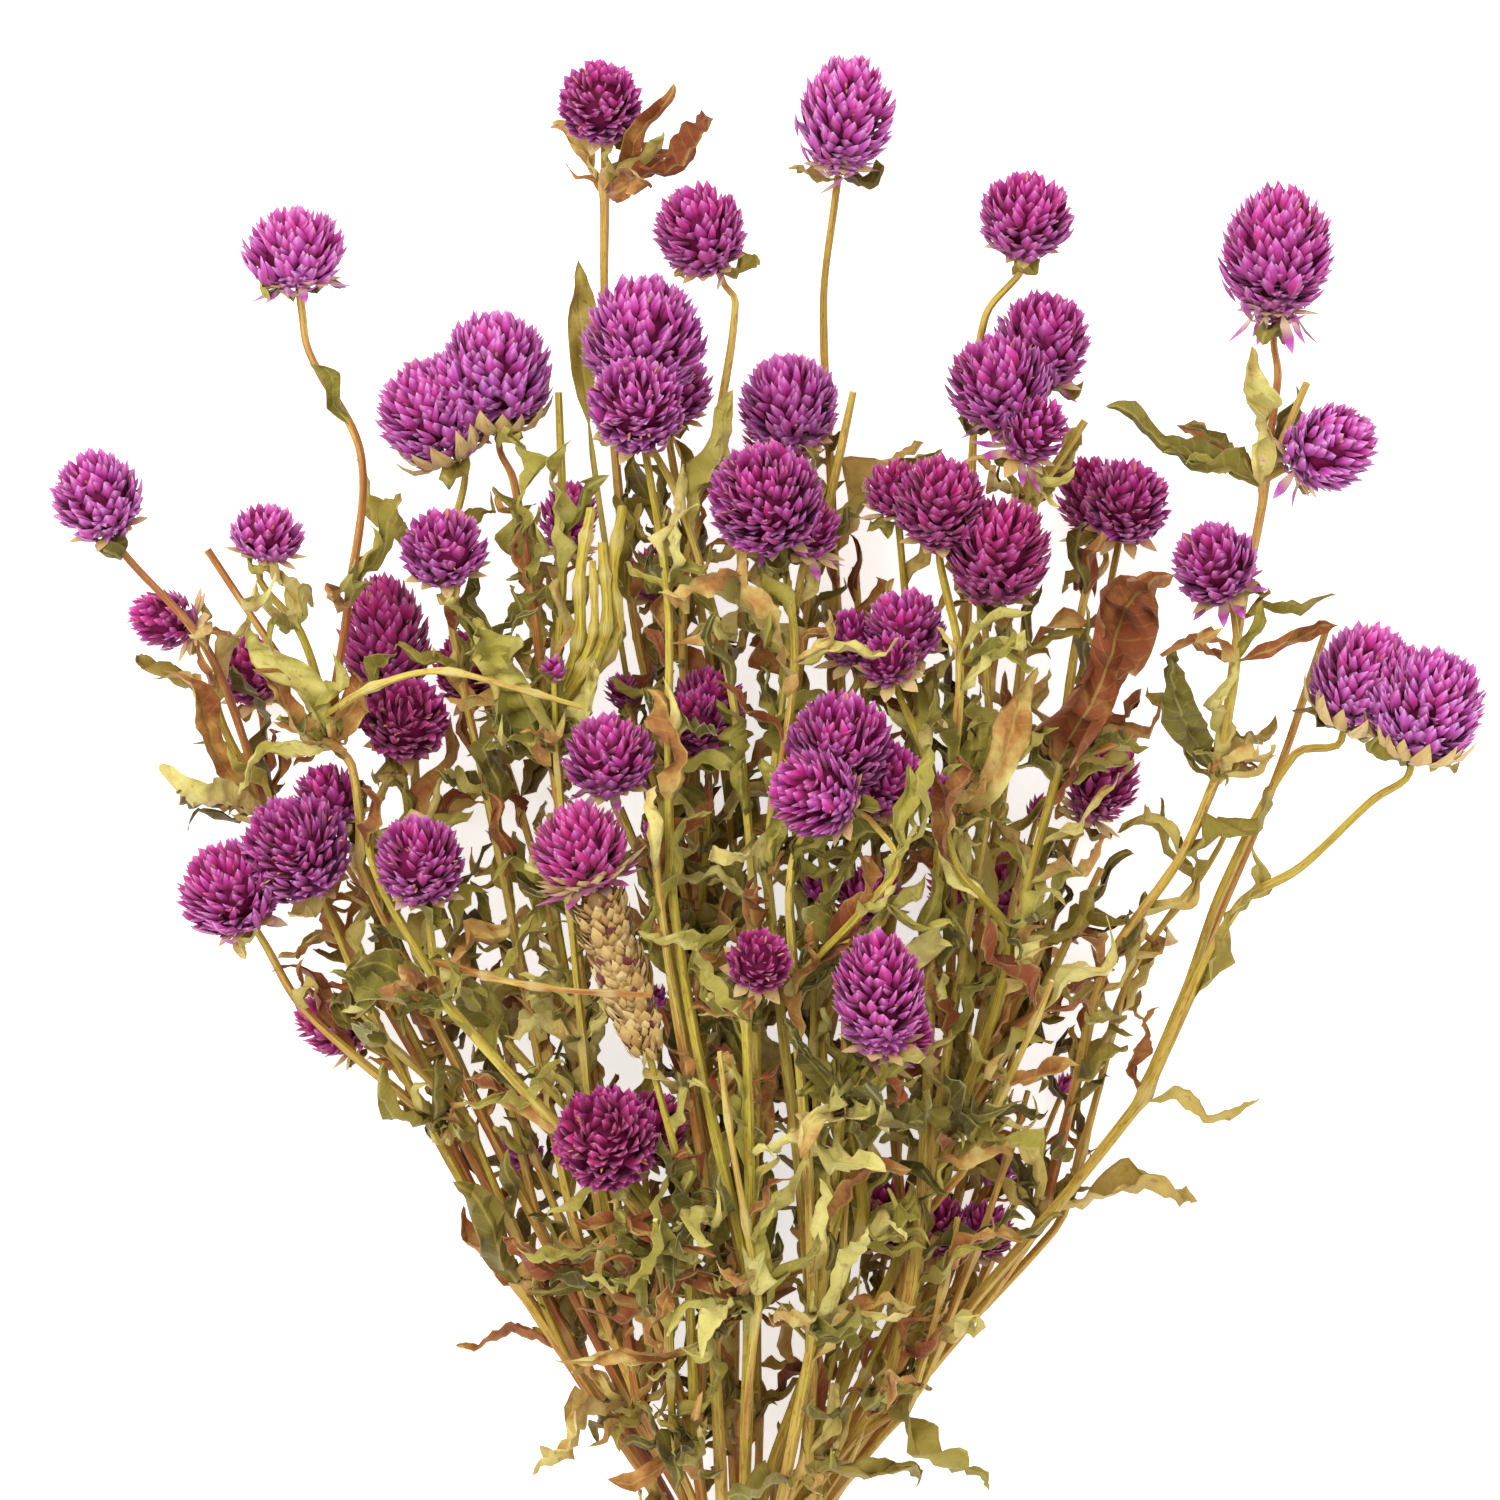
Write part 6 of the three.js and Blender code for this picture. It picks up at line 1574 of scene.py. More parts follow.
# Wrinkles, the sunken midrib and side veins, and the pillows between them
def crumple(half, stations, u, leaf, rng):
    length = size(np.diff(leaf_places(leaf, stations), axis=0)).sum()
    x = half[:, None] * u[None, :]
    y = (stations * length)[:, None]
    phase = rng.uniform(0, 6, 4)
    coarse = np.sin(x * 0.7 + y * 0.45 + phase[0]), np.sin(y * 0.6 - x * 0.4 + phase[1])
    fine = np.sin(x * 1.7 - y * 0.9 + phase[2]), np.sin(y * 1.4 + phase[3])
    wrinkles = WRINKLE_HEIGHT * coarse[0] * coarse[1] + FINE_WRINKLE_HEIGHT * fine[0] * fine[1]
    waves = np.sin(stations[:, None] * 2 * math.pi * RUFFLES + phase[0] + (u > 0) * 2.1)
    wrinkles = wrinkles + RUFFLE_HEIGHT * half[:, None] * np.abs(u)[None, :] ** 2 * waves
    slant = (y - np.abs(x) * VEIN_SLANT) / VEIN_PITCH
    pillows = PILLOW_HEIGHT * np.abs(np.sin(math.pi * slant)) ** 0.6 * np.minimum(1, np.abs(x) / 1.2)
    midrib = -MIDRIB_DEPTH * np.exp(-(x / MIDRIB_WIDTH) ** 2)
    wide = 1 + leaf["width"] / (7 if leaf["width"] > BROAD_LEAF else 16)
    return (wrinkles * wide + pillows + midrib) * np.minimum(1, half / 2.2)[:, None]


def grid_normals(points):
    down = np.gradient(points, axis=0)
    right = np.gradient(points, axis=1)
    return unit(np.cross(down, right))


def sheet_faces(rows, columns):
    wide = columns + 1
    total = (rows + 1) * wide
    r, c = np.meshgrid(np.arange(rows), np.arange(columns), indexing="ij")
    a = (r * wide + c).ravel()
    b, d, e = a + 1, a + wide, a + wide + 1
    upper = np.concatenate([np.stack([a, d, b], axis=1), np.stack([b, d, e], axis=1)])
    lower = upper[:, ::-1] + total
    ends = np.arange(rows + 1) * wide
    rim = np.concatenate([
        np.arange(wide), ends[1:] + columns,
        rows * wide + np.arange(columns - 1, -1, -1), ends[-2:0:-1],
    ])
    after = np.roll(rim, -1)
    sides = [np.stack([rim, after, rim + total], axis=1)]
    sides.append(np.stack([after, after + total, rim + total], axis=1))
    return np.concatenate([upper, lower, *sides])


# The two small leaves that cup the foot of a head
SHORTEST_CUP = 3.4
CUP_GROWTH = 1.12
CUP_DROP = 0.9


def cup_leaves(stalk, rng):
    spread = stalk["spread"]
    length = max(spread["length"], SHORTEST_CUP) * CUP_GROWTH
    leaves = []
    for hand in (1, -1):
        out = spread["side"] * hand
        aim = spread["aim"]
        lift = rng.uniform(-0.12, 0.3)
        start = spread["seat"] - aim * CUP_DROP
        bends = [start, start + out * length * 0.35]
        bends.append(start + out * length * 0.7 + aim * length * 0.1 * lift)
        bends.append(start + out * length + aim * length * lift)
        width = length * rng.uniform(0.5, 0.66)
        turn, fold = rng.uniform(-0.3, 0.3), rng.uniform(0.1, 0.4)
        phase, tone = rng.uniform(0, 6), rng.uniform(0.1, 0.75)
        leaves.append(leaf_of(stalk["plant"], bends, width, aim, turn, fold, phase, tone))
    return leaves


# Small crumpled leaves in the axils, beside the larger ones, where they clear the rest
AXIL_LEAVES = 7
BARE_PLANTS = ("stem_outer_right",)
AXIL_ATTEMPTS = 3


def axil_leaves(bunch, placed):
    for index, joint in enumerate(bunch.joints):
        if joint["plant"] in BARE_PLANTS:
            continue
        random = random_source(AXIL_SEED + index)
        foot = leaf_foot(bunch, joint["point"])
        stem = unit(foot - bunch.place(bunch.before[joint["point"]]))
        side, other = frame_of(stem)
        for _ in range(AXIL_LEAVES):
            for _ in range(AXIL_ATTEMPTS):
                angle = FULL_TURN * random()
                out = around(side, other, angle)
                leaf = drawn_leaf(joint["plant"], foot, stem, out, random, 0.3 + 0.5 * random())
                if add_small_leaf(bunch, leaf, placed):
                    break


# Small leaves along the stalks, at the knots between two forks
STALK_LEAF_LOW = 32
STALK_LEAF_HIGH = 250
KNOT_LEAVES = 4


def stalk_leaves(bunch, placed):
    for index, stalk in enumerate(bunch.stalks):
        if stalk["plant"] in BARE_PLANTS:
            continue
        random = random_source(KNOT_SEED + index)
        for before, point in zip(stalk["points"], stalk["points"][1:-2]):
            foot = bunch.place(point)
            if bunch.pinned[point] or not STALK_LEAF_LOW < foot[1] < STALK_LEAF_HIGH:
                continue
            leaves_at_knot(bunch, stalk["plant"], foot, foot - bunch.place(before), random, placed)


# Opposite small leaves, each tried at a few angles
def leaves_at_knot(bunch, plant, foot, along, random, placed):
    stem = unit(along)
    side, other = frame_of(stem)
    start = FULL_TURN * random()
    for pair in range(KNOT_LEAVES):
        for _ in range(AXIL_ATTEMPTS):
            angle = start + math.pi * pair + random() - 0.5
            out = around(side, other, angle)
            leaf = drawn_leaf(plant, foot, stem, out, random, 0.4 + 0.5 * random())
            if add_small_leaf(bunch, leaf, placed):
                break


# Leaves of middle size that lie along the stalks and fill the middle of the bunch
FILLING_STEP = 4
FILLING_LOW = 62
FILLING_ACROSS = [-88, -75, -50, -30, 0, 30, 62, 75]
FILLING_TOPS = [170, 232, 254, 262, 256, 246, 226, 190]
FILLING_REACH = 90
FILLING_ATTEMPTS = 4
FILLING_LEAN = (0.15, 0.75)


def filling_leaves(bunch, placed):
    for index, stalk in enumerate(bunch.stalks):
        if stalk["plant"] in BARE_PLANTS:
            continue
        random = random_source(FILLING_SEED + index)
        line, _, _ = stalk_line(bunch, stalk)
        for k in range(FILLING_STEP, len(line) - 4, FILLING_STEP):
            foot = line[k]
            top = np.interp(foot[0], FILLING_ACROSS, FILLING_TOPS)
            if not (abs(foot[0]) < FILLING_REACH and FILLING_LOW < foot[1] < top):
                continue
            stem = unit(foot - line[k - 1])
            side, other = frame_of(stem)
            for _ in range(FILLING_ATTEMPTS):
                angle = FULL_TURN * random()
                out = around(side, other, angle)
                scale = 0.5 + 0.55 * random()
                leaf = drawn_leaf(stalk["plant"], foot, stem, out, random, scale, FILLING_LEAN)
                if add_small_leaf(bunch, leaf, placed):
                    break


# Bare twigs that cross in front, each as its radius, its tone and its places from the foot,
# and single leaves, each as its foot, tip, width and tone. Both start on the nearest stalk
CROSSING_TWIGS = [
    (0.95, 0.5, [[-97, 209, 52], [-80, 218.5, 74], [-66, 221.8, 79], [-49, 218, 77], [-35, 214, 70]]),
    (0.95, 0.85, [[-60, 164, 66], [-49, 154, 82], [-37, 152.4, 87], [-20, 151.4, 86]]),
    (1.35, 0.42, [[-34, 213, 56], [-35.8, 228, 60], [-35.4, 243, 62], [-33, 257.5, 59]]),
    (1.05, 0.45, [[-34, 212, 57], [-32.8, 229, 62], [-32.6, 246, 64]]),
    (1.25, 0.4, [[-33, 212, 56], [-30.2, 229, 63], [-30.6, 250, 61]]),
    (1.3, 0.48, [[-33, 211, 56], [-27.4, 229, 59], [-28.4, 242, 60], [-26.2, 258, 56]]),
]
LONE_LEAVES = [
    ([-22.4, 85.8, 64], [-64, 90, 68], 7.5, 0.42),
    ([-14, 118, 60], [-26, 84, 66], 8, 0.35),
    ([-31.5, 291, 42], [-39.6, 329.6, 46], 9, 0.55),
    ([-46, 205, 50], [-47, 226, 56], 9, 0.45),
    ([-31, 200, 50], [-29, 224, 54], 9, 0.42),
    ([-23, 230, 36], [6, 243, 34], 13, 0.72),
    ([-12, 200, 46], [-14, 228, 40], 12, 0.3),
    ([-47, 250, 44], [-51, 278, 50], 8, 0.5),
    ([-46, 262, 50], [-42, 240, 56], 9, 0.4),
    ([-92.4, 272.8, 50], [-101, 289, 54], 6, 0.3),
    ([90, 147, 40], [109, 187, 46], 10, 0.5),
    ([-103, 177, 40], [-113, 199, 44], 7, 0.35),
    ([-0.5, 198, 60], [-1, 218, 70], 10, 0.3),
    ([4, 246, 40], [-25, 235, 52], 12, 0.8),
    ([11.5, 218, 40], [2.5, 240, 46], 10, 0.93),
    ([-11.5, 155, 60], [-18, 176, 68], 8, 0.35),
    ([56, 182.5, 36], [61, 202.5, 42], 10, 0.2),
    ([51, 194, 48], [45, 218, 54], 10, 0.45),
    ([-40, 66, 40], [-44, 80, 46], 8, 0.5),
    ([-48, 240, 40], [-54, 256, 46], 8, 0.5),
]
LONE_LEAF_SWINGS = 9
LONE_LEAF_LIFT = 2.2


def nearest_on_stalks(bunch, place):
    best = None
    for stalk in bunch.stalks:
        line, _, _ = stalk_line(bunch, stalk)
        apart = size(line - place)
        index = int(apart.argmin())
        if index > 0 and (best is None or apart[index] < best[0]):
            best = (apart[index], stalk["plant"], line[index], line[index] - line[index - 1])
    return best[1:]


def crossing_twigs(bunch, placed):
    shoots = []
    for radius, tone, stops in CROSSING_TWIGS:
        plant, foot, _ = nearest_on_stalks(bunch, np.array(stops[0], float))
        line, _ = fine_line(np.array([foot, *stops[1:]]))
        shoots.append({"plant": plant, "path": line, "end": 0, "radius": radius, "tone": tone})
        placed.append({"plant": plant, "points": line, "spread": True})
    return shoots


def lone_leaves(bunch, placed):
    for index, (start, tip, width, tone) in enumerate(LONE_LEAVES):
        random = random_source(LONE_LEAF_SEED + index)
        plant, foot, along = nearest_on_stalks(bunch, np.array(start, float))
        for swing in range(LONE_LEAF_SWINGS):
            end = foot + (np.array(tip) - start) + [0, 0, LONE_LEAF_LIFT * swing * (-1) ** swing]
            aside = unit(np.cross(end - foot, [0, 0, 1])) * (random() - 0.5) * 5
            bends = [foot, foot + (end - foot) * 0.35 + aside, foot + (end - foot) * 0.7 + aside, end]
            face = unit(across([0, 0, 1], end - foot))
            turn, fold, phase = random() - 0.5, 0.2 + 0.3 * random(), FULL_TURN * random()
            leaf = leaf_of(plant, bends, width, face, turn, fold, phase, tone)
            if add_leaf_if_clear(bunch, leaf, placed):
                break


# Thin side shoots: each leaves its plant's main stem low down, keeps it company and then
# turns away, with small leaves at its knots, and ends bare, cut or in a small bud
SHOOTS = 3
SHOOT_ATTEMPTS = 12
SHOOT_RADIUS = 0.95
SHOOT_TAPER = 0.35
SHOOT_POINTS = 26
SHOOT_BARE = 4
SHOOT_KNOTS = (0.35, 0.6, 0.85)
BUDDED_ENDS = 0.6


def side_shoots(bunch, placed):
    shoots = []
    for index, name in enumerate(PLANTS):
        rng = np.random.default_rng(SHOOT_PATH_SEED + index)
        random = random_source(SHOOT_LEAF_SEED + index)
        main = next(stalk for stalk in bunch.stalks if stalk["plant"] == name)
        line, _, _ = stalk_line(bunch, main)
        line = line[line[:, 1] > PINNED_LENGTH + LEAF_TIE_GAP]
        for _ in range(0 if name in BARE_PLANTS else SHOOTS):
            for _ in range(SHOOT_ATTEMPTS):
                path = drawn_shoot(line, rng)
                if path[:, 2].max() > LEAF_CEILING or outside_fan(path):
                    continue
                if points_are_clear(bunch, path[SHOOT_BARE:], name, placed):
                    shoot = {"radius": SHOOT_RADIUS, "tone": rng.uniform(0.2, 0.7), "end": rng.random()}
                    shoots.append({"plant": name, "path": path, **shoot})
                    placed.append({"plant": name, "points": path, "spread": True})
                    for share in SHOOT_KNOTS:
                        knot = int(share * SHOOT_POINTS)
                        along = path[knot] - path[knot - 1]
                        leaves_at_knot(bunch, name, path[knot], along, random, placed)
                    break
    return shoots


def drawn_shoot(line, rng):
    first = int(rng.uniform(0, 0.35) * len(line))
    last = min(len(line) - 1, first + int(rng.uniform(22, 60)))
    pick = np.linspace(first, last, SHOOT_POINTS)
    low = np.floor(pick).astype(int)
    high = np.minimum(low + 1, len(line) - 1)
    share = (pick - low)[:, None]
    path = line[low] * (1 - share) + line[high] * share
    side, other = frame_of(unit(path[-1] - path[0]))
    t = np.linspace(0, 1, SHOOT_POINTS)
    angle = rng.uniform(0, 2 * math.pi) + rng.uniform(-0.8, 0.8) * t
    out = all_around(side, other, angle)
    reach = rng.uniform(4, 9) * np.minimum(1, t * 4) + rng.uniform(2, 24) * t ** 2
    return path + out * (reach - reach[0])[:, None]


def add_shoot(skin, shoot, rng):
    path = shoot["path"]
    near = np.zeros(len(path))
    for share in SHOOT_KNOTS:
        near = np.maximum(near, np.exp(-((np.linspace(0, 1, len(path)) - share) * 30) ** 2))
    radius = shoot["radius"] - SHOOT_TAPER * np.linspace(0, 1, len(path))
    add_tube(skin, path, radius * (1 + SWELLING * near), near, rng, shoot["tone"])
    if shoot["end"] > BUDDED_ENDS:
        aim = unit(path[-1] - path[-2])
        width = 5 + 4 * rng.random()
        add_head(skin, path[-1] + aim * width * 0.4, aim, width, width, rng, 0.35)


LEAF_ROWS = 26
LEAF_COLUMNS = 6
SMALL_ROWS = 12
SMALL_COLUMNS = 4
SMALL_ROW = 1.8
MOST_SMALL_ROWS = 20
BROAD_LEAF = 13.5
BROAD_CURL = 1.6


def make_stem(bunch, leaves, shoots, name, index):
    skin = Skin()
    rng = np.random.default_rng(STEM_SEED + index)
    for stalk in bunch.stalks:
        if stalk["plant"] != name:
            continue
        add_stalk(skin, bunch, stalk, rng)
        if stalk["spread"]:
            for leaf in cup_leaves(stalk, rng):
                add_leaf(skin, leaf, rng, SMALL_ROWS, SMALL_COLUMNS, rng.uniform(0.2, 0.9))
    for shoot in shoots:
        if shoot["plant"] == name:
            add_shoot(skin, shoot, rng)
    for leaf in leaves:
        if leaf["plant"] != name or leaf["spread"]:
            continue
        small = leaf.get("small", False)
        rows, columns = (SMALL_ROWS, SMALL_COLUMNS) if small else (LEAF_ROWS, LEAF_COLUMNS)
        if small:
            reach = size(leaf["bends"][3] - leaf["bends"][0])
            rows = int(np.clip(reach / SMALL_ROW, SMALL_ROWS, MOST_SMALL_ROWS))
        curl = rng.uniform(0.8, 2.8) + (BROAD_CURL if leaf["width"] > BROAD_LEAF else 0)
        add_leaf(skin, leaf, rng, rows, columns, curl)
    for item in bunch.buds:
        if item["plant"] == name:
            width = item["width"]
            add_head(skin, bunch.place(item["point"]), item["aim"], width, width, rng, 0.3)
    return skin


# The elastic band: three turns of a soft square cord round the stems
BAND_STATIONS = 120
BAND_CORNERS = 10
BAND_SWAY = 0.12
BAND_SQUARENESS = 0.6


def make_band():
    skin = Skin()
    slots = list(tie_slots().values())
    middles = np.array([[slot["x"], slot["z"]] for slot in slots])
    for turn in range(BAND_TURNS):
        y = (turn - (BAND_TURNS - 1) / 2) * BAND_TURN_PITCH
        rings, grain = [], []
        for k in range(BAND_STATIONS):
            angle = 2 * math.pi * k / BAND_STATIONS
            way = np.array([math.cos(angle), math.sin(angle)])
            outer = middles[np.argmax(middles @ way)]
            rings.append(band_ring(outer, way, y + BAND_SWAY * math.sin(3 * angle + turn)))
            corner = 2 * math.pi * np.arange(BAND_CORNERS) / BAND_CORNERS
            length = np.full(BAND_CORNERS, angle * 12)
            grain.append(np.stack([np.cos(corner), length, np.sin(corner) + turn * 9], axis=1))
        i = np.arange(BAND_CORNERS)
        n = (i + 1) % BAND_CORNERS
        faces = []
        for k in range(BAND_STATIONS):
            a = k * BAND_CORNERS
            b = ((k + 1) % BAND_STATIONS) * BAND_CORNERS
            faces += [np.stack([a + i, b + n, a + n], axis=1), np.stack([a + i, b + i, b + n], axis=1)]
        skin.add(np.concatenate(rings), np.concatenate(faces), np.concatenate(grain), 0.5, 0.5, STEM)
    return skin


def squared(wave):
    return np.sign(wave) * np.abs(wave) ** BAND_SQUARENESS


def band_ring(outer, way, y):
    corner = 2 * math.pi * (np.arange(BAND_CORNERS) + 0.5) / BAND_CORNERS
    inner_reach = STEM_RADIUS * STALK_SLIMNESS + 0.1
    half_thick = (STEM_RADIUS + BAND_CLEARANCE + BAND_THICKNESS - inner_reach) / 2
    rounded = squared(np.cos(corner)) * half_thick
    wide = squared(np.sin(corner)) * BAND_TURN_PITCH * 0.47
    reach = inner_reach + half_thick + rounded
    return np.stack([outer[0] + way[0] * reach, y + wide, outer[1] + way[1] * reach], axis=1)


# Materials. Colours are written as the eye sees them, from 0 to 255.
NOISE_ROUGHNESS = 0.6
# Heights over which the painted shade low in the bunch fades in
PAINTED_SHADE_HEIGHTS = (0.056, 0.012)


def colour(red, green, blue):
    def linear(value):
        share = value / 255
        return share / 12.92 if share <= 0.04045 else ((share + 0.055) / 1.055) ** 2.4

    return (linear(red), linear(green), linear(blue), 1)


class Shader:
    def __init__(self, name, **constants):
        self.material = bpy.data.materials.new(name)
        self.material.use_nodes = True
        self.tree = self.material.node_tree
        self.surface = self.tree.nodes["Principled BSDF"]
        for key, value in constants.items():
            self.surface.inputs[key.replace("_", " ")].default_value = value

    def node(self, kind, inputs=None, **settings):
        made = self.tree.nodes.new(kind)
        for key, value in settings.items():
            setattr(made, key, value)
        for key, value in (inputs or {}).items():
            self.put(made.inputs[key], value)
        return made

    def put(self, socket, value):
        if isinstance(value, bpy.types.NodeSocket):
            self.tree.links.new(value, socket)
        else:
            socket.default_value = value

    def value(self, name):
        return self.node("ShaderNodeAttribute", attribute_name=name).outputs["Fac"]

    def vector(self, name):
        return self.node("ShaderNodeAttribute", attribute_name=name).outputs["Vector"]

    def math(self, operation, a, b=0.0, c=0.0):
        made = self.node("ShaderNodeMath", {0: a, 1: b, 2: c}, operation=operation)
        return made.outputs[0]

    def split(self, vector):
        return self.node("ShaderNodeSeparateXYZ", {0: vector}).outputs

    def scaled(self, vector, scale):
        made = self.node("ShaderNodeVectorMath", {0: vector, 1: scale}, operation="MULTIPLY")
        return made.outputs[0]

    def noise(self, vector, scale, detail=3.0):
        inputs = {"Vector": vector, "Scale": scale, "Detail": detail, "Roughness": NOISE_ROUGHNESS}
        return self.node("ShaderNodeTexNoise", inputs).outputs["Fac"]

    def place(self):
        return self.node("ShaderNodeTexCoord").outputs["Object"]

    def ramp(self, factor, stops):
        made = self.node("ShaderNodeValToRGB", {"Fac": factor})
        elements = made.color_ramp.elements
        while len(elements) < len(stops):
            elements.new(0.5)
        for element, (position, shade) in zip(elements, stops):
            element.position = position
            element.color = colour(*shade)
        return made.outputs["Color"]

    def mix(self, factor, base, other, blend="MIX"):
        made = self.node("ShaderNodeMix", data_type="RGBA", blend_type=blend)
        for index, value in ((0, factor), (6, base), (7, other)):
            self.put(made.inputs[index], value)
        return made.outputs[2]

    # The base leans to a shade by a share of the mask
    def tint(self, base, mask, share, shade, blend="MIX"):
        return self.mix(self.math("MULTIPLY", mask, share), base, colour(*shade), blend)

    def stretch(self, value, low, high):
        inputs = {"Value": value, "From Min": low, "From Max": high}
        return self.node("ShaderNodeMapRange", inputs).outputs["Result"]

    # Painted shade: stalks and leaves low in the bunch, near the floor, are darkened towards brown
    def painted_low_shade(self, base):
        inner = self.stretch(self.split(self.place())[2], *PAINTED_SHADE_HEIGHTS)
        return self.tint(base, inner, 0.6, (214, 158, 104), "MULTIPLY")

    def bump(self, height, strength, distance):
        inputs = {"Height": height, "Strength": strength, "Distance": distance}
        return self.node("ShaderNodeBump", inputs).outputs["Normal"]

    def finish(self, base, roughness, normal):
        self.put(self.surface.inputs["Base Color"], base)
        self.put(self.surface.inputs["Roughness"], roughness)
        self.put(self.surface.inputs["Normal"], normal)
        return self.material


# Bracts: dark at the root, paler towards the tip, redder or bluer one by one. The dark roots are partly
# painted shade between the overlapping bracts, and the pale tips partly painted highlights. Each kind has
# five cool and five warm colours from root to tip
BRACT_STOPS = (0.0, 0.4, 0.7, 0.9, 1.0)
MAGENTA_COOL = ((120, 16, 64), (158, 34, 122), (192, 76, 172), (218, 136, 208), (236, 180, 222))
MAGENTA_WARM = ((130, 12, 54), (178, 20, 98), (212, 46, 142), (232, 104, 186), (244, 168, 206))
CRIMSON_COOL = ((108, 10, 48), (150, 26, 94), (182, 56, 138), (208, 108, 180), (228, 160, 206))
CRIMSON_WARM = ((120, 8, 44), (170, 14, 80), (204, 34, 118), (224, 88, 164), (240, 158, 198))
LAVENDER_COOL = ((130, 24, 84), (170, 48, 144), (204, 98, 196), (228, 158, 226), (242, 196, 236))
LAVENDER_WARM = ((136, 18, 72), (186, 32, 118), (220, 70, 166), (238, 128, 204), (248, 186, 222))


def bract_material(name, cool, warm):
    s = Shader(name, Sheen_Weight=0.15, Sheen_Roughness=0.5, Specular_IOR_Level=0.35)
    grain = s.vector("grain")
    crosswise, lengthwise, _ = s.split(grain)
    tone = s.value("tone")
    level = s.value("level")
    purple, red = [s.ramp(lengthwise, list(zip(BRACT_STOPS, shades))) for shades in (cool, warm)]
    streaks = s.noise(s.scaled(grain, (3.0, 1.2, 1.0)), 2.0)
    warmth = s.math("ADD", s.math("MULTIPLY", level, 0.55), s.math("MULTIPLY", tone, 0.6))
    warmth = s.math("ADD", warmth, s.math("MULTIPLY_ADD", streaks, 0.5, -0.45))
    base = s.mix(s.stretch(warmth, 0.25, 0.9), purple, red)
    dark = s.stretch(s.math("ADD", tone, s.math("MULTIPLY", level, 0.5)), -0.1, 0.65)
    base = s.mix(s.math("MULTIPLY_ADD", dark, -0.35, 0.35), base, colour(150, 60, 130), "MULTIPLY")
    # Painted shade: each bract is darker towards its folded-back edges than along its keel
    keel = s.math("ABSOLUTE", crosswise)
    base = s.tint(base, keel, 0.3, (150, 24, 124))
    pale_root = s.math("MULTIPLY", s.stretch(level, 0.26, 0.1), s.stretch(lengthwise, 0.62, 0.3))
    base = s.tint(base, pale_root, 0.85, (232, 206, 176))
    fine = s.noise(s.scaled(grain, (9.0, 2.0, 1.0)), 3.0, 2.0)
    rough = s.math("MULTIPLY_ADD", streaks, 0.25, 0.36)
    return s.finish(base, rough, s.bump(fine, 0.35, 0.0004))


# Papery scales: cream to tan, flecked with maroon where the tone is below zero
def scale_material():
    s = Shader("bract_papery", Sheen_Weight=0.1, Specular_IOR_Level=0.3)
    grain = s.vector("grain")
    _, lengthwise, _ = s.split(grain)
    tone = s.value("tone")
    paper = s.ramp(s.math("ADD", tone, s.math("MULTIPLY_ADD", lengthwise, 0.3, -0.1)), [
        (0.0, (164, 118, 58)), (0.3, (206, 172, 102)), (0.6, (226, 200, 138)),
        (0.85, (222, 172, 124)), (1.0, (230, 158, 112)),
    ])
    blotch = s.noise(s.scaled(grain, (1.6, 2.4, 1.0)), 1.6)
    blush = s.stretch(blotch, 0.53, 0.7)
    base = s.tint(paper, blush, 0.6, (164, 84, 80))
    maroon = s.stretch(tone, -0.2, -0.6)
    base = s.tint(base, maroon, 0.85, (108, 26, 50))
    fine = s.noise(s.scaled(grain, (8.0, 1.6, 1.0)), 3.0, 2.0)
    rough = s.math("MULTIPLY_ADD", blotch, 0.2, 0.5)
    return s.finish(base, rough, s.bump(fine, 0.4, 0.0004))


# The dark maroon core of a head: painted shade seen in the gaps between the bracts
def shade_core_material():
    s = Shader("bract_core_shade", Specular_IOR_Level=0.2)
    patches = s.noise(s.place(), 260.0)
    base = s.ramp(patches, [(0.3, (84, 10, 44)), (0.7, (122, 20, 76))])
    return s.finish(base, s.math("MULTIPLY_ADD", patches, 0.2, 0.7), s.bump(patches, 0.6, 0.001))


# Stalks: olive to straw, with lengthwise red-brown streaks and pale joints and cut ends, and painted shade
# low in the bunch
def stem_material():
    s = Shader("stalk", Specular_IOR_Level=0.35)
    grain = s.vector("grain")
    tone = s.value("tone")
    level = s.value("level")
    broad = s.noise(s.scaled(grain, (0.35, 0.03, 0.35)), 1.0, 2.0)
    fine = s.noise(s.scaled(grain, (3.2, 0.12, 3.2)), 1.0, 4.0)
    shade = s.math("ADD", s.math("MULTIPLY", tone, 0.42), s.math("MULTIPLY", broad, 0.75))
    base = s.ramp(s.math("SUBTRACT", shade, 0.1), [
        (0.1, (100, 90, 16)), (0.26, (150, 134, 30)), (0.42, (194, 178, 58)),
        (0.56, (214, 190, 92)), (0.68, (178, 116, 50)), (0.84, (132, 64, 28)),
    ])
    base = s.tint(base, s.stretch(fine, 0.5, 0.64), 0.6, (142, 82, 44))
    base = s.tint(base, s.stretch(fine, 0.46, 0.34), 0.4, (206, 198, 120))
    spots = s.noise(s.scaled(grain, (1.5, 0.42, 1.5)), 1.0, 4.0)
    base = s.tint(base, s.stretch(spots, 0.56, 0.66), 0.55, (146, 70, 44))
    base = s.tint(base, s.stretch(level, 0.15, 0.9), 0.6, (206, 190, 124))
    base = s.mix(s.stretch(level, 1.4, 1.9), base, colour(222, 208, 160))
    # Painted shade: darker and browner low in the bunch
    base = s.painted_low_shade(base)
    ridges = s.noise(s.scaled(grain, (5.0, 0.1, 5.0)), 1.6, 3.0)
    rough = s.math("MULTIPLY_ADD", fine, 0.25, 0.42)
    return s.finish(base, rough, s.bump(ridges, 0.45, 0.0005))
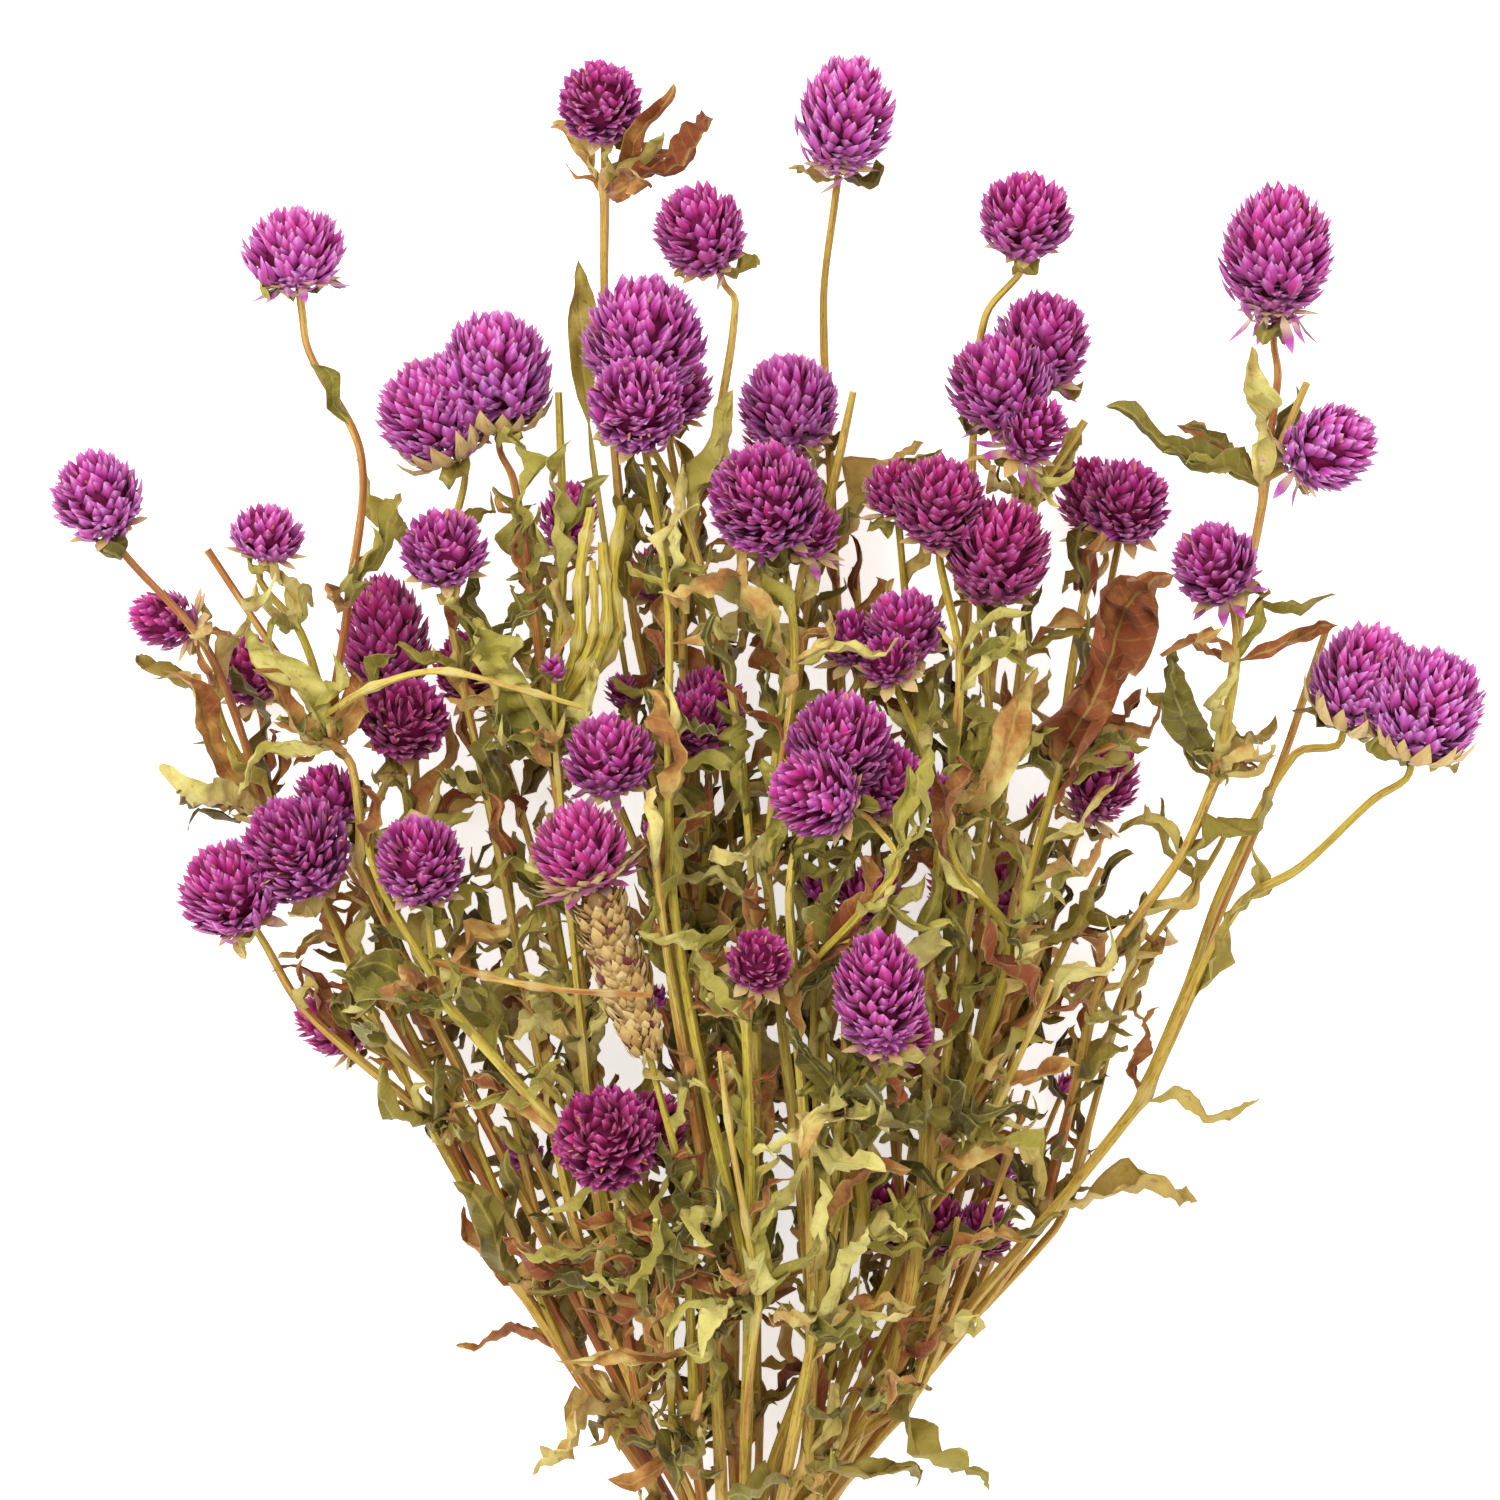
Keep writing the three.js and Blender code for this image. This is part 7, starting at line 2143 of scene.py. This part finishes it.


# Leaves: olive, yellow-green or brown, with paler veins, dry blotches and brown edges, and painted shade
# low in the bunch
def leaf_material():
    s = Shader("dried_leaf", Specular_IOR_Level=0.3, Sheen_Weight=0.08)
    grain = s.vector("grain")
    crosswise, lengthwise, _ = s.split(grain)
    tone = s.value("tone")
    level = s.value("level")
    blotch = s.noise(s.place(), 90.0, 4.0)
    shade = s.math("ADD", tone, s.math("MULTIPLY_ADD", blotch, 0.6, -0.3))
    base = s.ramp(shade, [
        (0.0, (78, 70, 16)), (0.25, (124, 114, 34)), (0.5, (170, 158, 66)),
        (0.7, (216, 204, 122)), (0.84, (180, 130, 64)), (0.96, (134, 68, 30)),
    ])
    out = s.math("ABSOLUTE", crosswise)
    slant = s.math("SUBTRACT", lengthwise, s.math("MULTIPLY", out, VEIN_SLANT))
    repeat = s.math("PINGPONG", slant, VEIN_PITCH / 2)
    side_vein = s.stretch(repeat, 0.3, 0.06)
    midrib = s.stretch(out, 0.5, 0.15)
    vein = s.math("MAXIMUM", midrib, s.math("MULTIPLY", side_vein, 0.35))
    base = s.tint(base, vein, 0.32, (206, 194, 104))
    specks = s.stretch(s.noise(s.place(), 420.0, 3.0), 0.6, 0.72)
    base = s.tint(base, specks, 0.5, (112, 74, 40))
    edge = s.math("MULTIPLY", s.stretch(level, 0.8, 1.0), s.stretch(blotch, 0.42, 0.6))
    base = s.tint(base, edge, 0.6, (126, 88, 48))
    rim = s.math("MULTIPLY", s.stretch(level, 0.86, 1.0), s.stretch(blotch, 0.5, 0.36))
    base = s.tint(base, rim, 0.55, (212, 202, 138))
    # Painted shade: darker and browner low in the bunch
    base = s.painted_low_shade(base)
    fine = s.noise(s.place(), 900.0, 4.0)
    height = s.math("SUBTRACT", fine, s.math("MULTIPLY", vein, 0.5))
    rough = s.math("MULTIPLY_ADD", blotch, 0.2, 0.52)
    return s.finish(base, rough, s.bump(height, 0.45, 0.0006))


def band_material():
    s = Shader("elastic", Specular_IOR_Level=0.4)
    grain = s.vector("grain")
    fine = s.noise(s.scaled(grain, (4.0, 0.35, 4.0)), 1.0, 3.0)
    base = s.ramp(fine, [(0.3, (176, 126, 70)), (0.7, (206, 160, 100))])
    return s.finish(base, s.math("MULTIPLY_ADD", fine, 0.3, 0.4), s.bump(fine, 0.3, 0.0004))


def floor_material():
    # The floor glows: painted light that keeps the shadows under the bunch pale
    s = Shader("pale_glowing_floor", Specular_IOR_Level=0.1, Emission_Strength=FLOOR_GLOW)
    s.surface.inputs["Emission Color"].default_value = (1, 1, 1, 1)
    fine = s.noise(s.place(), 40.0)
    base = s.ramp(fine, [(0.3, (250, 250, 250)), (0.7, (252, 252, 252))])
    return s.finish(base, s.math("MULTIPLY_ADD", fine, 0.05, 0.9), s.bump(fine, 0.02, 0.0005))


# The room: a pale floor that glows a little, painted light that pales the shadows under and among the
# stems, soft light from above, and a camera that looks straight down
FRAME_CENTRE = (-0.00411, 0.06888)
FRAME_SIDE = 0.33
FRAME_HEIGHT = 0.045
CAMERA_HEIGHT = 3.0
SENSOR_WIDTH = 36.0
FLOOR_SIDE = 12.0
SKY_STRENGTH = 0.85
# The floor's glow, painted light that pales the shadows
FLOOR_GLOW = 0.6

# Each light's name, place, side and power
LIGHTS = (("key", (-0.8, 0.8, 1.9), 1.5, 33), ("fill", (1.1, -0.4, 1.8), 2.2, 9))
LIT_PLACE = (0, 0.06, 0)


def make_room():
    mesh = bpy.data.meshes.new("floor")
    half = FLOOR_SIDE / 2
    corners = [(-half, -half, 0), (half, -half, 0), (half, half, 0), (-half, half, 0)]
    mesh.from_pydata(corners, [], [(0, 1, 2, 3)])
    mesh.materials.append(floor_material())
    floor = bpy.data.objects.new("floor", mesh)
    bpy.context.scene.collection.objects.link(floor)
    world = bpy.data.worlds.new("studio")
    world.use_nodes = True
    sky = world.node_tree.nodes["Background"].inputs
    sky["Color"].default_value = (1, 1, 1, 1)
    sky["Strength"].default_value = SKY_STRENGTH
    bpy.context.scene.world = world
    for light in LIGHTS:
        add_light(*light)


def add_light(name, at, side, power):
    light = bpy.data.lights.new(name, "AREA")
    light.size = side
    light.energy = power
    lamp = bpy.data.objects.new(name, light)
    lamp.location = at
    lamp.rotation_euler = (Vector(LIT_PLACE) - Vector(at)).to_track_quat("-Z", "Y").to_euler()
    bpy.context.scene.collection.objects.link(lamp)


def make_camera():
    data = bpy.data.cameras.new("camera")
    data.sensor_width = SENSOR_WIDTH
    data.lens = SENSOR_WIDTH * (CAMERA_HEIGHT - FRAME_HEIGHT) / FRAME_SIDE
    camera = bpy.data.objects.new("camera", data)
    camera.location = (*FRAME_CENTRE, CAMERA_HEIGHT)
    bpy.context.scene.collection.objects.link(camera)
    bpy.context.scene.camera = camera


# The whole bunch: one fine piece for each CAD node
def add_piece(node, skin, offset, materials):
    piece = mesh_object(node + "_fine", skin, offset, materials)
    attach(piece, "root")
    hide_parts(node)


def make_bunch():
    bunch = plan_bunch()
    settle(bunch)
    bunch.rod_spots = bunch.rods.spots(bunch)
    leaves = []
    spread_under_heads(bunch, leaves)
    planned_leaves(bunch, leaves)
    joint_leaves(bunch, leaves)
    lone_leaves(bunch, leaves)
    shoots = crossing_twigs(bunch, leaves)
    axil_leaves(bunch, leaves)
    shoots += side_shoots(bunch, leaves)
    stalk_leaves(bunch, leaves)
    filling_leaves(bunch, leaves)
    low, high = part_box("elastic_band")
    offset = np.array([low.x + high.x, low.y + high.y, 0]) / 2 * MM_PER_METRE
    plant = [
        stem_material(), leaf_material(), bract_material("bract_magenta", MAGENTA_COOL, MAGENTA_WARM),
        bract_material("bract_crimson_and_shade", CRIMSON_COOL, CRIMSON_WARM),
        bract_material("bract_lavender", LAVENDER_COOL, LAVENDER_WARM),
        scale_material(), shade_core_material(),
    ]
    for index, name in enumerate(PLANTS):
        add_piece(name, make_stem(bunch, leaves, shoots, name, index), offset, plant)
    for node in dict.fromkeys(head["node"] for head in bunch.heads):
        add_piece(node, make_heads(bunch, node), offset, plant)
    add_piece("spent_spike", make_spike(bunch), offset, plant)
    add_piece("elastic_band", make_band(), offset, [band_material()])


make_camera()
make_room()
bpy.context.scene.view_settings.view_transform = "Standard"
make_bunch()
